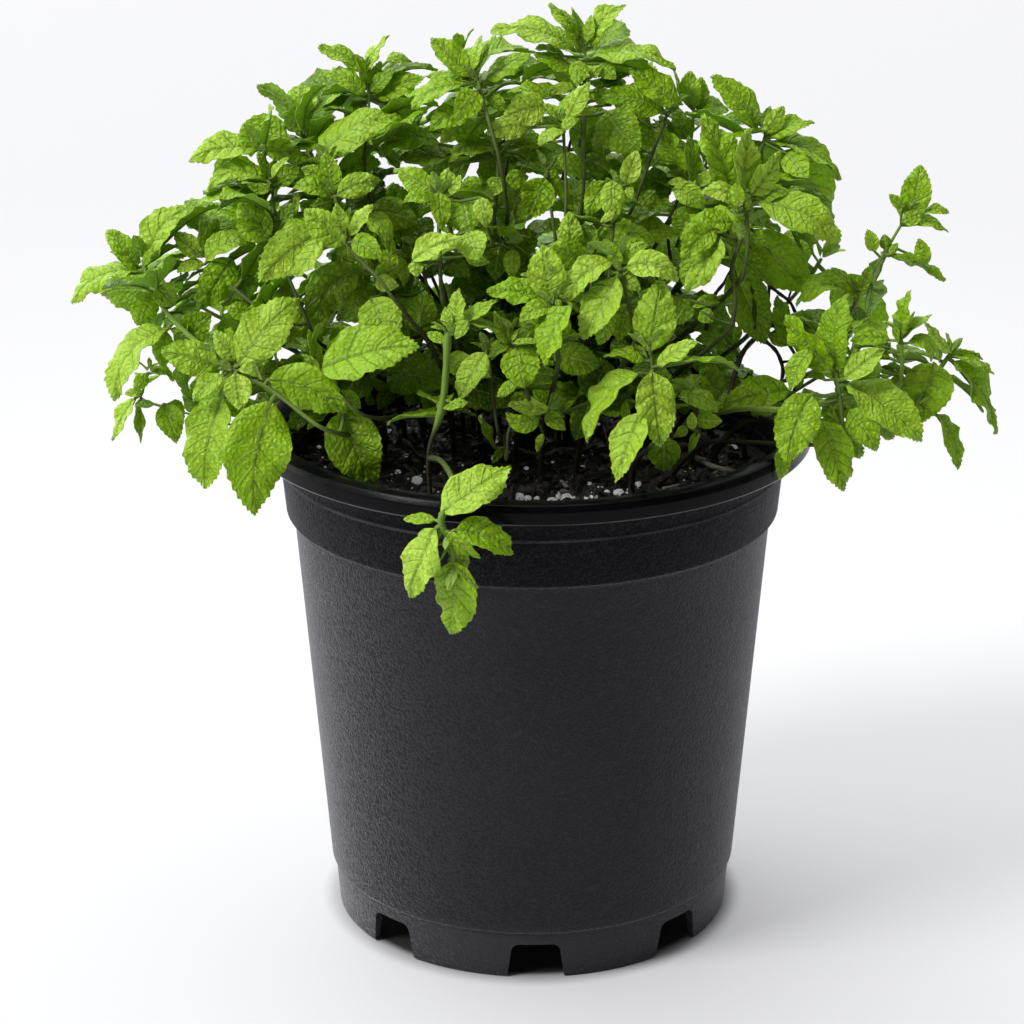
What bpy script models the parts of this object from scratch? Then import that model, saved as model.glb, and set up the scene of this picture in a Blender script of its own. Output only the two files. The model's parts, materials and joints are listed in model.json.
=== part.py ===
"""A potted mint plant: a nursery pot with a 127 mm (5 in) rim, potting mix, perlite and mint shoots.

Metres, +Z up. The origin is on the ground under the pot's axis; the front is towards -Y.
"""

import math
import random

import bmesh
import bpy
import numpy as np
from mathutils import Matrix, Vector
from mathutils.bvhtree import BVHTree

POT_SIDES = 48
# Pot, in millimetres. The rim is a 127 mm (5 in) circle.
RIM_R = 63.5
POT_H = 118.9
FOOT_R = 46.1
WALL = 1.3
FLOOR_Z = 8.7
SOIL_TOP = 107.0
GAP = 0.3
NOTCHES = 8
# Outer skin from the foot up to the lip, then the mouth: radius, height.
OUTER = [(FOOT_R, 0.0), (46.9, 11.4), (47.7, 11.6), (54.6, 97.7), (56.3, 97.9), (57.6, 114.3), (RIM_R, 114.5), (RIM_R, 117.9), (62.7, POT_H), (58.9, POT_H), (58.3, 118.3)]
INNER = [(56.4, 114.0), (55.1, 98.6), (53.3, 97.2), (46.6, 12.4), (45.6, FLOOR_Z + WALL)]


def turned(profile, sides):
    """Vertices and faces of a closed turned solid; the profile runs from the axis round to the axis."""
    verts, faces = [], []
    rings = []
    for r, z in profile:
        if r == 0:
            rings.append([len(verts)])
            verts.append(Vector((0, 0, z)))
        else:
            rings.append(list(range(len(verts), len(verts) + sides)))
            for k in range(sides):
                turn = 2 * math.pi * k / sides
                verts.append(Vector((r * math.cos(turn), r * math.sin(turn), z)))
    for low, high in zip(rings, rings[1:]):
        for k in range(sides):
            j = (k + 1) % sides
            if len(low) == 1:
                faces.append((low[0], high[j], high[k]))
            elif len(high) == 1:
                faces.append((low[k], low[j], high[0]))
            else:
                faces.append((low[k], low[j], high[j], high[k]))
    return verts, faces


def pot_profile():
    """From the middle of the underside, out and up the skin, over the lip and down to the middle of the floor."""
    under = [(0, FLOOR_Z), (44.6, FLOOR_Z), (44.8, 0.0)]
    return under + OUTER + INNER + [(0, FLOOR_Z + WALL)]


def inner_radius(z):
    """Inner radius of the pot at a height."""
    wall = sorted((h, r) for r, h in INNER)
    if z <= wall[0][0]:
        return wall[0][1]
    for (z0, r0), (z1, r1) in zip(wall, wall[1:]):
        if z <= z1:
            return r0 + (r1 - r0) * (z - z0) / (z1 - z0)
    return wall[-1][1]


def soil_profile():
    low = FLOOR_Z + WALL + GAP
    rings = [(45.6 - 0.6, low), (46.6 - GAP, 12.6), (53.3 - GAP, 97.2 - 0.2), (55.1 - GAP - 0.1, 98.8)]
    top = (inner_radius(SOIL_TOP) - GAP, SOIL_TOP - 0.6)
    return [(0, low)] + rings + [top, (40.0, SOIL_TOP), (0, SOIL_TOP)]


# Elevation sheet of the plant. Each shoot: name, root on the soil (x, y in mm), depth shift of the
# whole shoot in mm (plus is further back), stem stations from low to high, stem radius low and top in mm,
# then its leaves. A leaf: base u, v, tip u, v, seen width (minus where the underside shows), then
# arch up the sheet, depth change from base to tip in mm, depth shift in mm, tone (-1 deep, +1 pale).
D = None
SHOOTS = [
 ("shoot_right_t", (36, -5), -4, [(800,408),(850,400),(882,394),(900,378),(903,350),(901,334)], 0.9, 0.5, [
  (901,336,907,289,12,0,3,0,0), (903,335,914,311,9,0,1,-1,.3), (903,337,932,314,10,2,1,0,0), (899,345,893,322,6,0,1,0,0),
  (890,340,850,339,18,2,0,2,.1), (907,343,932,363,14,13,-1,0,.1), (902,374,893,397,18,0,-1,3,-.5), (903,376,868,368,6,0,0,3,-.5)]),
 ("shoot_far_left", (-36, -2.6), 4, [(216,358),(190,338),(170,316),(152,288),(143,260)], 1.05, 0.55, [
  (138,268,108,228,25,0,D,0,.2), (147,264,187,205,32,9,3,0,.6), (140,272,69,302,17,11,D,0,.6), (145,266,153,246,8,0,2,-2,0),
  (158,286,175,306,26,0,D,-2,.5), (150,291,137,326,30,0,D,0,-.1), (167,329,115,401,28,16,-6,0,.5), (166,330,165,368,22,3,-3,1,.4),
  (186,336,210,313,34,0,-2,4,-.5), (180,332,170,329,8,0,D,2,-.3)]),
 ("shoot_left_b", (-34, 11.6), 12, [(262,311),(251,303),(231,286),(215,270),(204,254)], 0.95, 0.5, [
  (203,256,173,232,22,0,D,0,.6), (206,253,217,217,14,0,D,0,.1), (206,262,252,241,20,8,D,-2,.5),
  (233,258,198,310,36,0,-6,0,.3), (205,264,176,272,12,3,D,0,.5), (222,304,249,300,5,0,0,4,.2), (250,312,227,309,20,0,D,0,.4)]),
 ("shoot_left_c", (-30, 17.1), 6, [(309,326),(299,292),(284,258),(275,240),(275,215),(272,190),(266,165),(262,146)], 1.1, 0.5, [
  (258,150,188,161,27,7,D,0,.6), (254,147,244,122,22,0,D,0,.5), (264,150,303,154,23,2,D,0,.1),
  (267,183,207,189,17,14,D,0,.4), (270,184,247,182,12,-6,-3,-2,.1), (272,183,299,166,22,0,D,2,.2), (272,178,289,158,7,3,D,-3,.9),
  (267,178,258,151,11,0,2,0,0), (270,178,279,155,11,0,2,0,.1),
  (268,240,237,203,37,0,D,0,.2), (275,240,291,203,22,0,D,3,-.6), (293,222,298,192,8,0,3,4,.4), (300,304,287,343,24,0,-4,2,.3)]),
 ("shoot_left_d", (-22, 34.8), 20, [(322,186),(312,166),(306,150),(301,132)], 0.9, 0.6, [
  (298,134,256,86,-17,10,D,0,0), (304,133,325,82,-15,8,D,0,.1), (301,116,301,83,34,0,4,4,.7), (301,135,296,104,-30,0,-2,-3,-.2),
  (318,117,316,104,8,0,0,6,.2)]),
 ("shoot_left_e", (-19, 18.8), 6, [(340,215),(334,197),(331,182),(329,168)], 1.0, 0.55, [
  (331,197,292,186,20,5,D,0,0), (333,195,325,151,25,0,D,0,.1), (337,196,381,181,26,4,D,-2,.6), (327,189,301,168,22,4,D,1,.5),
  (337,176,381,164,27,6,4,8,-.4), (318,160,403,118,35,13,4,6,.4), (334,200,312,206,14,0,D,4,-.4), (369,212,418,224,34,4,D,9,-.6), (368,214,391,250,22,4,-4,4,.2)]),
 ("shoot_top_left", (-15, 37.9), 14, [(365,153),(368,118),(369,97),(366,74)], 0.95, 0.5, [
  (367,72,388,34,12,2,D,0,.7), (361,70,318,47,15,4,D,0,.2), (365,95,323,71,18,5,D,-1,.4), (370,92,394,67,17,0,D,0,-.3),
  (386,62,413,62,10,5,4,6,.3), (371,94,380,61,16,0,3,2,-.4), (376,99,425,77,27,3,D,2,-.1), (365,86,357,55,11,0,D,0,.3)]),
 ("shoot_mid_left", (-18, 3.7), -2, [(378,278),(371,268),(360,260),(348,247),(345,236)], 1.0, 0.55, [
  (345,245,304,209,34,0,D,0,.5), (343,232,336,203,18,0,D,-2,.8), (349,236,373,204,16,2,D,-1,.8), (351,242,381,259,25,4,-3,-2,-.2),
  (325,232,259,282,46,6,D,2,.6), (320,236,294,277,19,-3,-3,0,.6)]),
 ("shoot_left_dark", (-16, 17.4), 16, [(392,300),(380,285),(374,277),(370,266)], 1.05, 0.6, [
  (362,270,318,331,44,16,-5,0,-.6), (372,275,340,256,20,3,D,3,-.8), (375,279,399,263,20,0,D,-2,.3), (375,281,399,286,18,0,-3,-3,.4),
  (385,268,392,247,21,0,2,3,-.3), (371,298,393,346,44,0,-8,-6,.5)]),
 ("shoot_low_left_leaf", (-24, -0.6), 2, [(345,400),(322,372),(310,352)], 0.9, 0.6, [
  (322,370,419,346,50,6,-6,-2,.4), (317,368,309,329,13,0,D,2,-.3), (320,372,301,356,8,3,D,0,.5), (330,372,340,331,16,0,3,6,-.7),
  (338,393,361,408,20,0,-2,4,-.1)]),
 ("shoot_low_left", (-36, -16), -4, [(310,420),(285,400),(262,384),(237,372),(228,360)], 1.15, 0.6, [
  (238,366,299,297,48,4,D,0,.5), (235,361,214,330,21,0,D,0,.6), (268,380,345,415,44,9,-4,0,.1), (224,396,205,489,44,6,-6,0,.5),
  (272,400,256,516,68,8,-9,0,-.1), (218,368,161,352,37,3,D,0,.3), (236,373,241,411,29,0,-5,-3,.7), (224,375,193,401,18,3,D,-2,.4),
  (238,370,263,376,10,2,D,-2,.3), (262,378,284,398,16,0,-3,3,-.3), (345,408,377,485,58,-6,-3,4,-.5)]),
 ("shoot_low_dark", (-34, 4.8), 22, [(352,418),(346,408),(338,400)], 0.9, 0.6, [
  (330,411,308,430,12,3,D,0,.2), (392,387,378,409,18,0,-2,4,-.6)]),
 ("shoot_far_left_low", (-42, -8.9), 8, [(228,424),(193,413),(162,405),(147,401),(143,388),(149,372)], 0.6, 0.35, [
  (150,373,175,381,10,6,0,0,.4), (147,373,134,391,15,0,D,0,.1), (143,392,124,393,10,0,D,0,.6), (135,398,114,441,15,2,D,0,.6),
  (137,404,142,443,13,0,D,0,.2), (164,404,178,443,28,0,-4,-2,-.2), (166,404,184,420,24,0,D,1,-.3)]),
 ("shoot_front_spill", (-23, -43), 0, [(430,495,-44),(427,474,-44.5),(428,458,-45),(431,440,-45),(438,423,-45),(443,402,-45),(446,366,-44),(448,332,-43)], 1.1, 0.95, [
  (456,330,458,288,19,0,3,0,.6), (449,328,444,306,12,0,2,0,.5), (445,328,431,326,5,0,0,0,.4), (468,320,455,339,12,0,D,-2,.5),
  (468,321,497,298,15,0,4,0,.4), (470,322,501,332,9,2,0,1,.3), (468,402,443,408,11,0,D,-3,.2), (440,414,387,417,6,0,3,2,-.5),
  (446,343,427,332,11,0,2,2,.3),
  [(429,458,-46),(441,461,-48),(451,474,-52),(452,491,-58),(447,507,-67),(440,519,-70),(446,531,-71),(452,547,-71),(453,562,-71)],
  (440,514,510,463,39,0,8,0,.6), (434,514,399,506,19,0,1,0,.1), (436,520,403,517,12,0,1,2,.4), (436,528,404,599,35,0,2,0,.6),
  (455,530,516,552,32,4,2,0,-.1), (453,560,445,636,46,-6,3,0,.2), (447,532,479,560,15,0,0,-2,.2), (449,531,465,552,18,0,1,-1,0),
  (455,548,463,575,22,0,1,1,-.6), (436,545,432,577,9,0,1,1,.5)]),
 ("shoot_mid_low", (-9, 4.8), 20, [(496,420),(491,395),(493,376),(488,352)], 0.8, 0.6, [
  (486,352,456,401,28,0,-4,-5,.6), (488,350,500,340,8,0,2,0,.2), (493,378,472,380,5,4,0,0,.2), (492,378,471,372,7,0,0,3,.1)]),
 ("shoot_front_low", (-6, -0.9), 14, [(510,440),(512,425),(535,418),(548,412)], 0.75, 0.55, [
  (549,411,508,407,16,3,D,-3,.8), (540,417,506,412,20,-9,D,-1,.3), (545,413,566,430,17,0,-2,0,-.1), (543,433,536,452,9,0,-1,3,-.1),
  (496,448,483,414,9,-3,1,0,.3), (590,402,576,440,28,0,-3,8,-.6), (550,414,566,398,16,0,2,6,-.5)]),
 ("shoot_centre", (2, -12), -3, [(556,330),(554,312),(552,299),(550,288)], 1.1, 0.6, [
  (551,299,541,243,39,0,4,0,.5), (546,298,486,290,25,2,D,2,-.1), (557,299,561,310,7,0,-1,-2,.3),
  (553,308,519,322,19,5,D,-1,0), (572,305,542,366,27,4,-5,-3,0), (557,314,535,341,24,0,-3,0,-.3), (567,298,571,290,6,0,0,0,0)]),
 ("shoot_centre_low", (-4, -4.6), 4, [(520,372),(515,358),(512,345),(511,334)], 1.0, 0.55, [
  (510,345,494,311,19,0,3,0,.4), (513,343,541,342,8,0,D,-3,.7), (512,341,518,329,5,0,1,-2,.5), (511,341,509,327,5,0,1,-1,.5),
  (517,347,524,388,40,0,-5,-1,-.1), (517,380,497,397,12,0,-2,2,.3), (509,346,487,356,10,0,0,-1,.1), (515,344,531,325,12,0,2,2,.2), (552,352,600,366,34,0,0,8,-.5), (530,372,560,376,18,0,-2,9,-.6)]),
 ("shoot_centre_right", (10, -10), -4, [(630,310),(624,288),(620,272),(618,262)], 1.05, 0.55, [
  (618,267,611,242,15,0,D,0,.3), (621,265,648,244,17,4,3,2,.1), (626,268,680,281,29,10,-2,-2,.6), (617,276,583,340,36,0,-6,-2,.6),
  (613,262,566,302,26,9,-4,-1,.5), (623,277,641,290,15,0,-2,1,.3), (612,311,598,345,19,0,-3,6,.1), (629,303,617,341,25,0,-3,10,-.3),
  (643,300,634,286,5,0,1,2,.2)]),
 ("shoot_front_right", (22, -22.9), -2, [(656,420),(654,392),(652,366),(651,352)], 1.2, 0.6, [
  (650,352,661,278,44,0,5,0,.5), (645,361,603,353,14,2,D,0,.1), (657,366,698,341,18,2,D,-2,.7), (652,371,660,447,41,0,-6,-3,.6),
  (639,373,581,441,22,8,-3,-1,.5), (641,412,615,483,36,0,-7,-2,.6), (626,400,625,423,9,0,-1,2,.4), (664,436,664,472,34,0,-2,14,-.6)]),
 ("shoot_right_low_a", (27, -8.9), 12, [(698,425),(697,405),(692,392)], 0.85, 0.55, [
  (678,396,720,411,19,6,-2,-1,.1), (695,420,722,421,17,0,-2,0,-.3), (692,430,692,412,11,0,0,-3,.4), (699,431,689,452,9,0,-2,0,.1),
  (688,427,674,437,11,0,-1,1,0), (672,388,722,392,16,4,3,8,-.5), (698,412,724,402,12,0,2,4,-.2)]),
 ("shoot_top_mid", (-8, 29.7), 4, [(489,122),(487,116),(483,97),(477,78)], 1.0, 0.55, [
  (472,77,431,37,27,0,D,0,.3), (473,70,481,35,12,0,D,-1,.6), (476,74,496,36,14,0,D,0,0), (487,80,531,54,19,2,D,1,.1),
  (462,85,410,108,20,6,-3,-2,.1), (468,79,425,75,11,3,D,2,0), (475,112,428,130,28,6,-3,2,-.1), (477,90,456,120,28,0,-4,-3,0),
  (487,92,506,111,15,0,-2,2,-.5), (485,85,500,74,12,0,2,3,-.2), (466,120,440,143,20,0,-3,5,-.2)]),
 ("shoot_upper_pale", (-6, 30.2), 16, [(498,175),(500,160),(497,148),(505,140)], 0.9, 0.6, [
  (497,148,447,161,18,9,-3,0,.6), (440,144,379,157,19,13,-2,2,0), (449,154,412,152,14,2,0,4,-.6), (449,161,396,158,16,3,D,3,-.2), (505,180,529,177,19,0,1,0,.3), (500,178,488,196,19,0,-2,-2,.5), (483,184,461,187,13,3,0,-4,.3)]),
 ("shoot_crown", (6, 30.8), 10, [(584,150),(583,115),(583,80),(583,58),(585,44)], 1.15, 0.6, [
  (578,51,549,3,18,6,D,0,.3), (591,47,625,1,21,6,D,0,.5), (581,36,572,7,10,0,3,1,.1), (587,42,590,14,12,0,2,-1,.2),
  (575,50,490,29,24,9,D,0,.5), (592,58,678,66,20,9,D,0,.4), (572,72,534,55,14,3,D,0,0), (580,60,577,86,21,0,-5,-2,.2),
  (565,56,535,47,7,2,0,-1,.3), (600,63,616,79,19,0,-3,0,.4), (577,84,552,73,11,3,D,0,.2), (590,78,602,66,9,0,1,0,.4), (560,95,507,91,17,3,2,6,-.1), (575,89,547,94,12,3,0,0,.4), (611,105,595,88,19,0,2,4,-.3), (606,111,641,150,46,-3,-4,-2,-.5), (604,158,602,125,22,0,3,6,-.8), (580,158,611,173,18,3,0,3,-.7)]),
 ("shoot_upper_mid", (4, 20.8), 6, [(566,190),(566,160),(563,134),(563,122)], 0.95, 0.5, [
  (568,119,588,80,21,0,D,-1,.7), (563,123,573,87,15,0,3,0,.1), (560,122,543,104,11,3,D,1,.4), (565,131,538,145,10,4,-3,-2,.5),
  (562,130,580,118,11,2,D,-2,.6), (561,128,541,140,16,0,-3,0,-.5), (578,112,596,108,10,0,0,3,0), (528,128,487,134,26,4,-3,2,.8), (546,107,504,118,35,3,-3,4,.8), (545,141,519,149,26,0,0,10,-.8)]),
 ("shoot_upper_right", (10, 32.2), 14, [(650,160),(656,140),(662,122),(668,112)], 1.0, 0.6, [
  (664,112,600,98,32,6,D,0,-.5), (678,107,629,71,30,3,D,-1,.1), (651,128,622,106,10,3,-1,2,.6),
  (648,124,620,112,13,0,-1,4,-.4)]),
 ("shoot_right_top", (16, 33.6), 20, [(690,150),(692,128),(694,108)], 0.9, 0.55, [
  (690,106,690,70,24,0,3,0,.2), (699,112,701,77,19,0,3,2,-.3), (681,96,675,68,7,0,2,0,.6), (702,116,713,104,8,0,0,1,0),
  (688,140,676,111,24,0,3,0,-.2)]),
 ("shoot_right_fern", (14, 25.6), 20, [(700,215),(693,198),(690,184),(688,172)], 0.95, 0.55, [
  (686,182,652,121,24,0,4,0,.2), (676,152,660,116,22,0,3,5,-.6), (690,184,692,134,17,0,4,-1,.1), (697,186,717,168,13,0,1,0,.2),
  (688,187,667,183,10,3,0,-3,.6), (668,178,640,194,34,0,-3,6,-.7), (655,192,650,211,12,0,-2,2,.2), (672,190,703,210,24,6,-3,-4,.5), (697,208,677,238,34,0,-2,-1,-.7)]),
 ("shoot_mid_drop", (-2, 21.9), 16, [(552,215),(548,196),(545,180),(546,168)], 0.9, 0.6, [
  (545,178,527,219,36,0,-5,-1,-.1), (549,168,556,199,18,0,-3,0,-.1), (557,156,581,178,21,4,-3,-2,.3)]),
 ("shoot_mid_bright", (8, 10.8), 6, [(612,240),(612,220),(616,198),(618,186)], 0.95, 0.55, [
  (606,181,586,215,25,0,-4,0,.3), (613,180,612,222,25,0,-5,-1,.3), (626,185,637,150,21,0,D,-2,.7), (628,187,632,199,10,0,-2,-2,.2),
  (615,212,600,222,9,0,-1,-3,.6), (640,205,655,190,14,0,2,8,-.8), (610,215,640,222,16,0,2,11,-.8)]),
 ("shoot_mid_arch", (6, 6.8), 10, [(592,275),(592,258),(592,246)], 0.9, 0.6, [
  (573,258,568,211,27,0,4,0,.2), (584,261,552,245,30,0,-3,-2,.3), (594,250,583,224,21,0,2,-1,.1), (593,245,648,227,14,5,3,2,.1),
  (600,246,656,239,18,7,1,0,-.3), (600,252,622,248,9,0,0,-1,.2)]),
 ("shoot_mid_rosette", (-12, 11.1), 2, [(440,262),(440,235),(440,212),(438,192)], 1.05, 0.6, [
  (432,190,397,170,27,0,3,0,.3), (446,190,449,167,17,0,3,0,.5), (434,201,403,200,14,4,D,0,.1), (439,192,442,230,22,0,-5,-2,.1),
  (450,196,461,175,9,0,1,-1,.7), (463,198,470,231,43,0,-6,0,-.4), (480,197,487,227,20,0,-4,-3,.5), (468,231,478,260,32,0,-5,-4,.5),
  (412,262,463,240,25,5,D,-4,.8), (415,261,417,277,16,0,-2,-5,.4), (465,256,490,263,15,0,-1,2,-.5)]),
 ("shoot_mid_dark", (-14, 25.9), 27.6, [(430,300),(425,275),(420,255)], 0.9, 0.6, [
  (418,334,425,290,35,0,3,-6,-.6), (395,296,411,340,24,0,-3,-4,-.6), (416,330,418,306,4,0,1,-10,.4), (420,262,405,236,22,0,2,0,-.7),
  (445,258,470,276,20,0,-2,2,-.6), (500,241,494,280,28,0,-3,2,-.7), (486,227,530,240,11,2,-1,0,.1), (513,248,511.5,279,16.4,0,-3.6,-2,0),
  (401,256,405,287,11,0,-2,-9,.3), [(426,278,-4),(450,262,-3),(478,250,-2),(505,243,-1)]]),
 ("shoot_right_n", (24, 28.2), 12, [(752,170),(758,154),(765,138),(764,128)], 1.05, 0.55, [
  (757,130,710,78,30,7,D,0,-.1), (766,134,784,106,20,0,D,-1,.6), (770,137,815,120,19,3,D,0,.1), (775,143,842,179,17,8,-2,0,0),
  (787,153,808,178,27,0,-4,-2,.1), (757,129,719,116,9,3,0,2,-.6)]),
 ("shoot_right_o", (22, 13.1), 2, [(748,235),(747,220),(745,206),(744,194)], 1.15, 0.6, [
  (739,195,748,128,23,0,5,-2,.6), (734,198,704,113,41,0,5,0,.2), (751,195,783,152,25,0,2,-1,.6), (757,203,844,239,34,8,-4,0,.4),
  (788,190,806,188,7,0,1,3,-.7), (754,200,790,190,16,2,0,1,-.3), (738,208,735,182,17,0,2,-3,-.1), (738,213,700,192,20,12,-2,-2,.8),
  (746,210,751,200,5,0,0,-3,.6), (741,210,738,201,5,0,0,-3,.6)]),
 ("shoot_right_p", (24, 7.6), 8, [(735,292),(732,266),(742,245),(747,226)], 1.0, 0.6, [
  (721,238,684,291,25,-3,-5,-2,.6), (745,222,731,258,21,0,-4,-2,.7), (734,223,679,239,27,5,-3,1,0), (716,229,682,260,28,4,-4,0,.1),
  (706,251,683,286,20,4,-3,3,-.2), (744,220,733,226,12,0,-1,-4,.6), (722,301,692,306,12,2,-1,6,.2), (700,311,713,322,17,0,-2,6,-.2), (690,300,672,325,24,0,-2,9,-.6)]),
 ("shoot_right_dark", (30, 14.2), 18, [(754,300),(748,268),(748,245),(750,230)], 1.05, 0.7, [
  (751,229,813,292,50,-3,-4,0,-.3), (734,268,765,344,44,0,-5,0,-.6), (737,251,766,281,27,0,-3,-2,-.2), (727,345,695,339,16,3,-1,0,-.1)]),
 ("shoot_right_u", (32, -12), -4, [(842,420),(839,398),(838,380),(836,366)], 1.2, 0.65, [
  (836,372,843,291,36,6,6,0,-.4), (832,370,783,317,29,0,2,0,.1), (844,379,884,347,26,0,D,-2,.7),
  (845,384,923,441,41,6,-5,0,.5), (812,350,790,391,22,3,-3,0,.3), (812,394,787,463,45,4,-7,-2,.2), (784,446,781,480,18,0,-3,0,-.1),
  (822,420,846,491,38,0,-6,-1,.1), (848,410,877,452,31,3,-4,1,-.2), (850,402,822,425,17,0,-3,1,-.3), (838,392,822,418,14,0,-2,4,-.8),
  (826,380,806,376,7,3,0,0,.2)]),
 ("shoot_right_s", (36, 8.8), 8, [(838,345),(846,323),(857,300),(870,280),(885,255),(892,237),(904,220)], 1.0, 0.6, [
  (912,219,921,164,32,0,4,0,-.1), (904,208,889,194,12,0,0,-1,0), (924,212,950,212,10,2,0,0,.1), (913,224,949,232,10,5,0,-1,.1),
  (902,222,925,212,16,0,0,-2,.3), (875,252,868,229,15,0,1,0,.3), (887,250,884,234,13,0,1,0,-.6), (889,256,943,283,8,9,0,0,.1),
  (926,266,919,238,17,0,1,-1,.1), (889,255,898,243,8,0,0,-1,.3), (856,298,794,305,24,16,-3,0,-.2), (858,298,871,266,14,0,2,0,.4),
  (848,282,831,267,11,0,1,-3,.2), (849,322,845,332,8,0,0,-2,.3), (848,332,870,315,7,0,2,0,0)]),
 ("shoot_right_edge", (42, 0.5), 0, [(912,408),(930,380),(944,362),(950,354)], 0.95, 0.6, [
  (952,353,926,321,11,-3,1,0,.7), (952,354,948,340,10,0,0,2,-.1), (953,356,995,374,11,5,D,0,.1), (953,361,996,434,18,6,-3,0,-.1),
  (934,363,920,423,53,0,-6,-2,.1), (936,414,959,470,15,5,-3,2,-.1)]),
 ("shoot_right_inner", (34, 18.5), 22, [(792,400),(797,360),(783,340),(770,320)], 1.0, 0.6, [
  (790,391,722,405,31,2,-3,-6,-.1), (779,402,757,414,14,0,-2,-4,-.3), (735,378,748,400,18,0,-2,0,-.3), (786,345,777,295,21,0,3,-3,-.4), (768,335,791,345,13,0,-1,-2,.1)]),
]
# Coarse outline of the whole plant on the sheet, and the openings through which one sees past it.
OUTLINE = [(84,300),(110,262),(112,236),(140,216),(180,208),(205,180),(196,162),(212,144),(246,128),(272,118),(264,92),(300,88),(322,92),
 (330,60),(356,58),(380,44),(412,66),(436,72),(438,44),(470,50),(492,44),(520,44),(560,40),(560,14),(584,20),(612,10),(640,46),(672,62),
 (700,84),(722,84),(752,108),(790,112),(808,124),(836,178),(836,234),(808,250),(812,292),(792,300),(810,330),(846,300),(880,256),(900,230),(924,232),
 (880,300),(866,330),(900,352),(952,352),(986,372),(990,424),(950,380),(940,410),(910,436),(872,440),(846,484),(812,452),(790,470),(776,420),
 (745,408),(700,420),(640,420),(560,420),(440,410),(380,400),(330,410),(282,470),(256,508),(232,450),(204,480),(192,430),(176,380),(122,390),(120,350),(150,330),(126,310),(130,285)]
WINDOWS = [(338,284,360,332),(428,268,452,302),(326,240,342,262),(293,262,312,280),(560,136,604,160),(644,180,668,206),(750,334,800,392),
 (700,262,732,296),(716,324,752,352),(400,196,418,220),(424,162,446,172),(450,152,500,178),(528,158,548,176),(618,112,652,142),(655,238,680,258),
 (540,200,562,236),(752,148,770,164),(764,276,800,320),(204,306,232,326),(208,342,220,352),(145,352,165,372),(276,340,304,364),(812,406,834,418),
 (885,380,905,400),(680,96,704,112),(300,330,330,346),(388,188,404,204),(575,120,586,132),(232,402,246,424),(800,364,832,396)]

# Perlite grains in view, on the sheet, with their half size, and the pale runner that lies on the mix.
GRAINS = [(567, 495, 1.5), (417, 478, 1.4), (619, 492, 1.3)]
RUNNER = [(683, 456), (695, 460), (712, 468), (735, 473)]
# How many more leaves are grown on bare lengths of stem.
FILL_LEAVES = 255


# ---------------------------------------------------------------- the elevation sheet
# The plant is laid out on an elevation sheet in one-point perspective: the station is in front of
# the pot and above it, looking down a little. u runs right and v runs down the sheet. A point on
# the sheet and a depth y give a place in space, in millimetres.
STATION_Y, STATION_Z = -656.0, 327.0
PITCH = math.radians(19.45)
COS_P, SIN_P = math.cos(PITCH), math.sin(PITCH)
SHEET_SCALE, SHEET_U, SHEET_V = 3021.0, 532.2, 512.0


def spot(u, v, y):
    """The point at depth y that lies at (u, v) on the sheet."""
    rise = (SHEET_V - v) / SHEET_SCALE
    reach = (y - STATION_Y) / (COS_P + rise * SIN_P)
    return Vector((reach * (u - SHEET_U) / SHEET_SCALE, y, STATION_Z + reach * (rise * COS_P - SIN_P)))


def on_level(u, v, z):
    """The point at height z that lies at (u, v) on the sheet."""
    rise = (SHEET_V - v) / SHEET_SCALE
    reach = (z - STATION_Z) / (rise * COS_P - SIN_P)
    return Vector((reach * (u - SHEET_U) / SHEET_SCALE, STATION_Y + reach * (COS_P + rise * SIN_P), z))


def on_sheet(p):
    """Where a point lies on the sheet, and its distance along the line of sight."""
    deep = (p.y - STATION_Y) * COS_P - (p.z - STATION_Z) * SIN_P
    rise = (p.y - STATION_Y) * SIN_P + (p.z - STATION_Z) * COS_P
    return SHEET_U + SHEET_SCALE * p.x / deep, SHEET_V - SHEET_SCALE * rise / deep, deep


def dome_depth(u, v):
    """Depth of the near side of the plant's dome at a place on the sheet."""
    return 14.0 - 78.0 * (max(v, 0.0) / 500.0) ** 0.8 * max(0.05, 1.0 - ((u - 532.0) / 470.0) ** 2) ** 0.75


def in_polygon(u, v, corners):
    inside = False
    for i, (u1, v1) in enumerate(corners):
        u0, v0 = corners[i - 1]
        if (v0 > v) != (v1 > v) and u < (u1 - u0) * (v - v0) / (v1 - v0) + u0:
            inside = not inside
    return inside


# ---------------------------------------------------------------- curves
def along(points, count_per_span=8):
    """Dense Catmull-Rom curve through the points."""
    if len(points) < 3:
        return [points[0].lerp(points[-1], k / count_per_span) for k in range(count_per_span + 1)]
    ends = [points[0] * 2 - points[1]] + list(points) + [points[-1] * 2 - points[-2]]
    dense = []
    for i in range(len(points) - 1):
        for k in range(count_per_span):
            dense.append(catmull(ends[i : i + 4], k / count_per_span))
    dense.append(points[-1].copy())
    return dense


def catmull(four, t):
    a, b, c, d = four
    return 0.5 * ((2 * b) + (c - a) * t + (2 * a - 5 * b + 4 * c - d) * t**2 + (3 * b - a - 3 * c + d) * t**3)


def thinned(points, slack):
    """The fewest of the points whose straight spans stay within slack of them all."""
    if len(points) < 3:
        return list(points)
    a, b = points[0], points[-1]
    axis = (b - a)
    worst, at = -1.0, 0
    for i in range(1, len(points) - 1):
        part = max(0.0, min(1.0, (points[i] - a).dot(axis) / max(axis.length_squared, 1e-9)))
        off = (points[i] - a - axis * part).length
        if off > worst:
            worst, at = off, i
    if worst <= slack:
        return [a, b]
    return thinned(points[: at + 1], slack)[:-1] + thinned(points[at:], slack)


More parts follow.
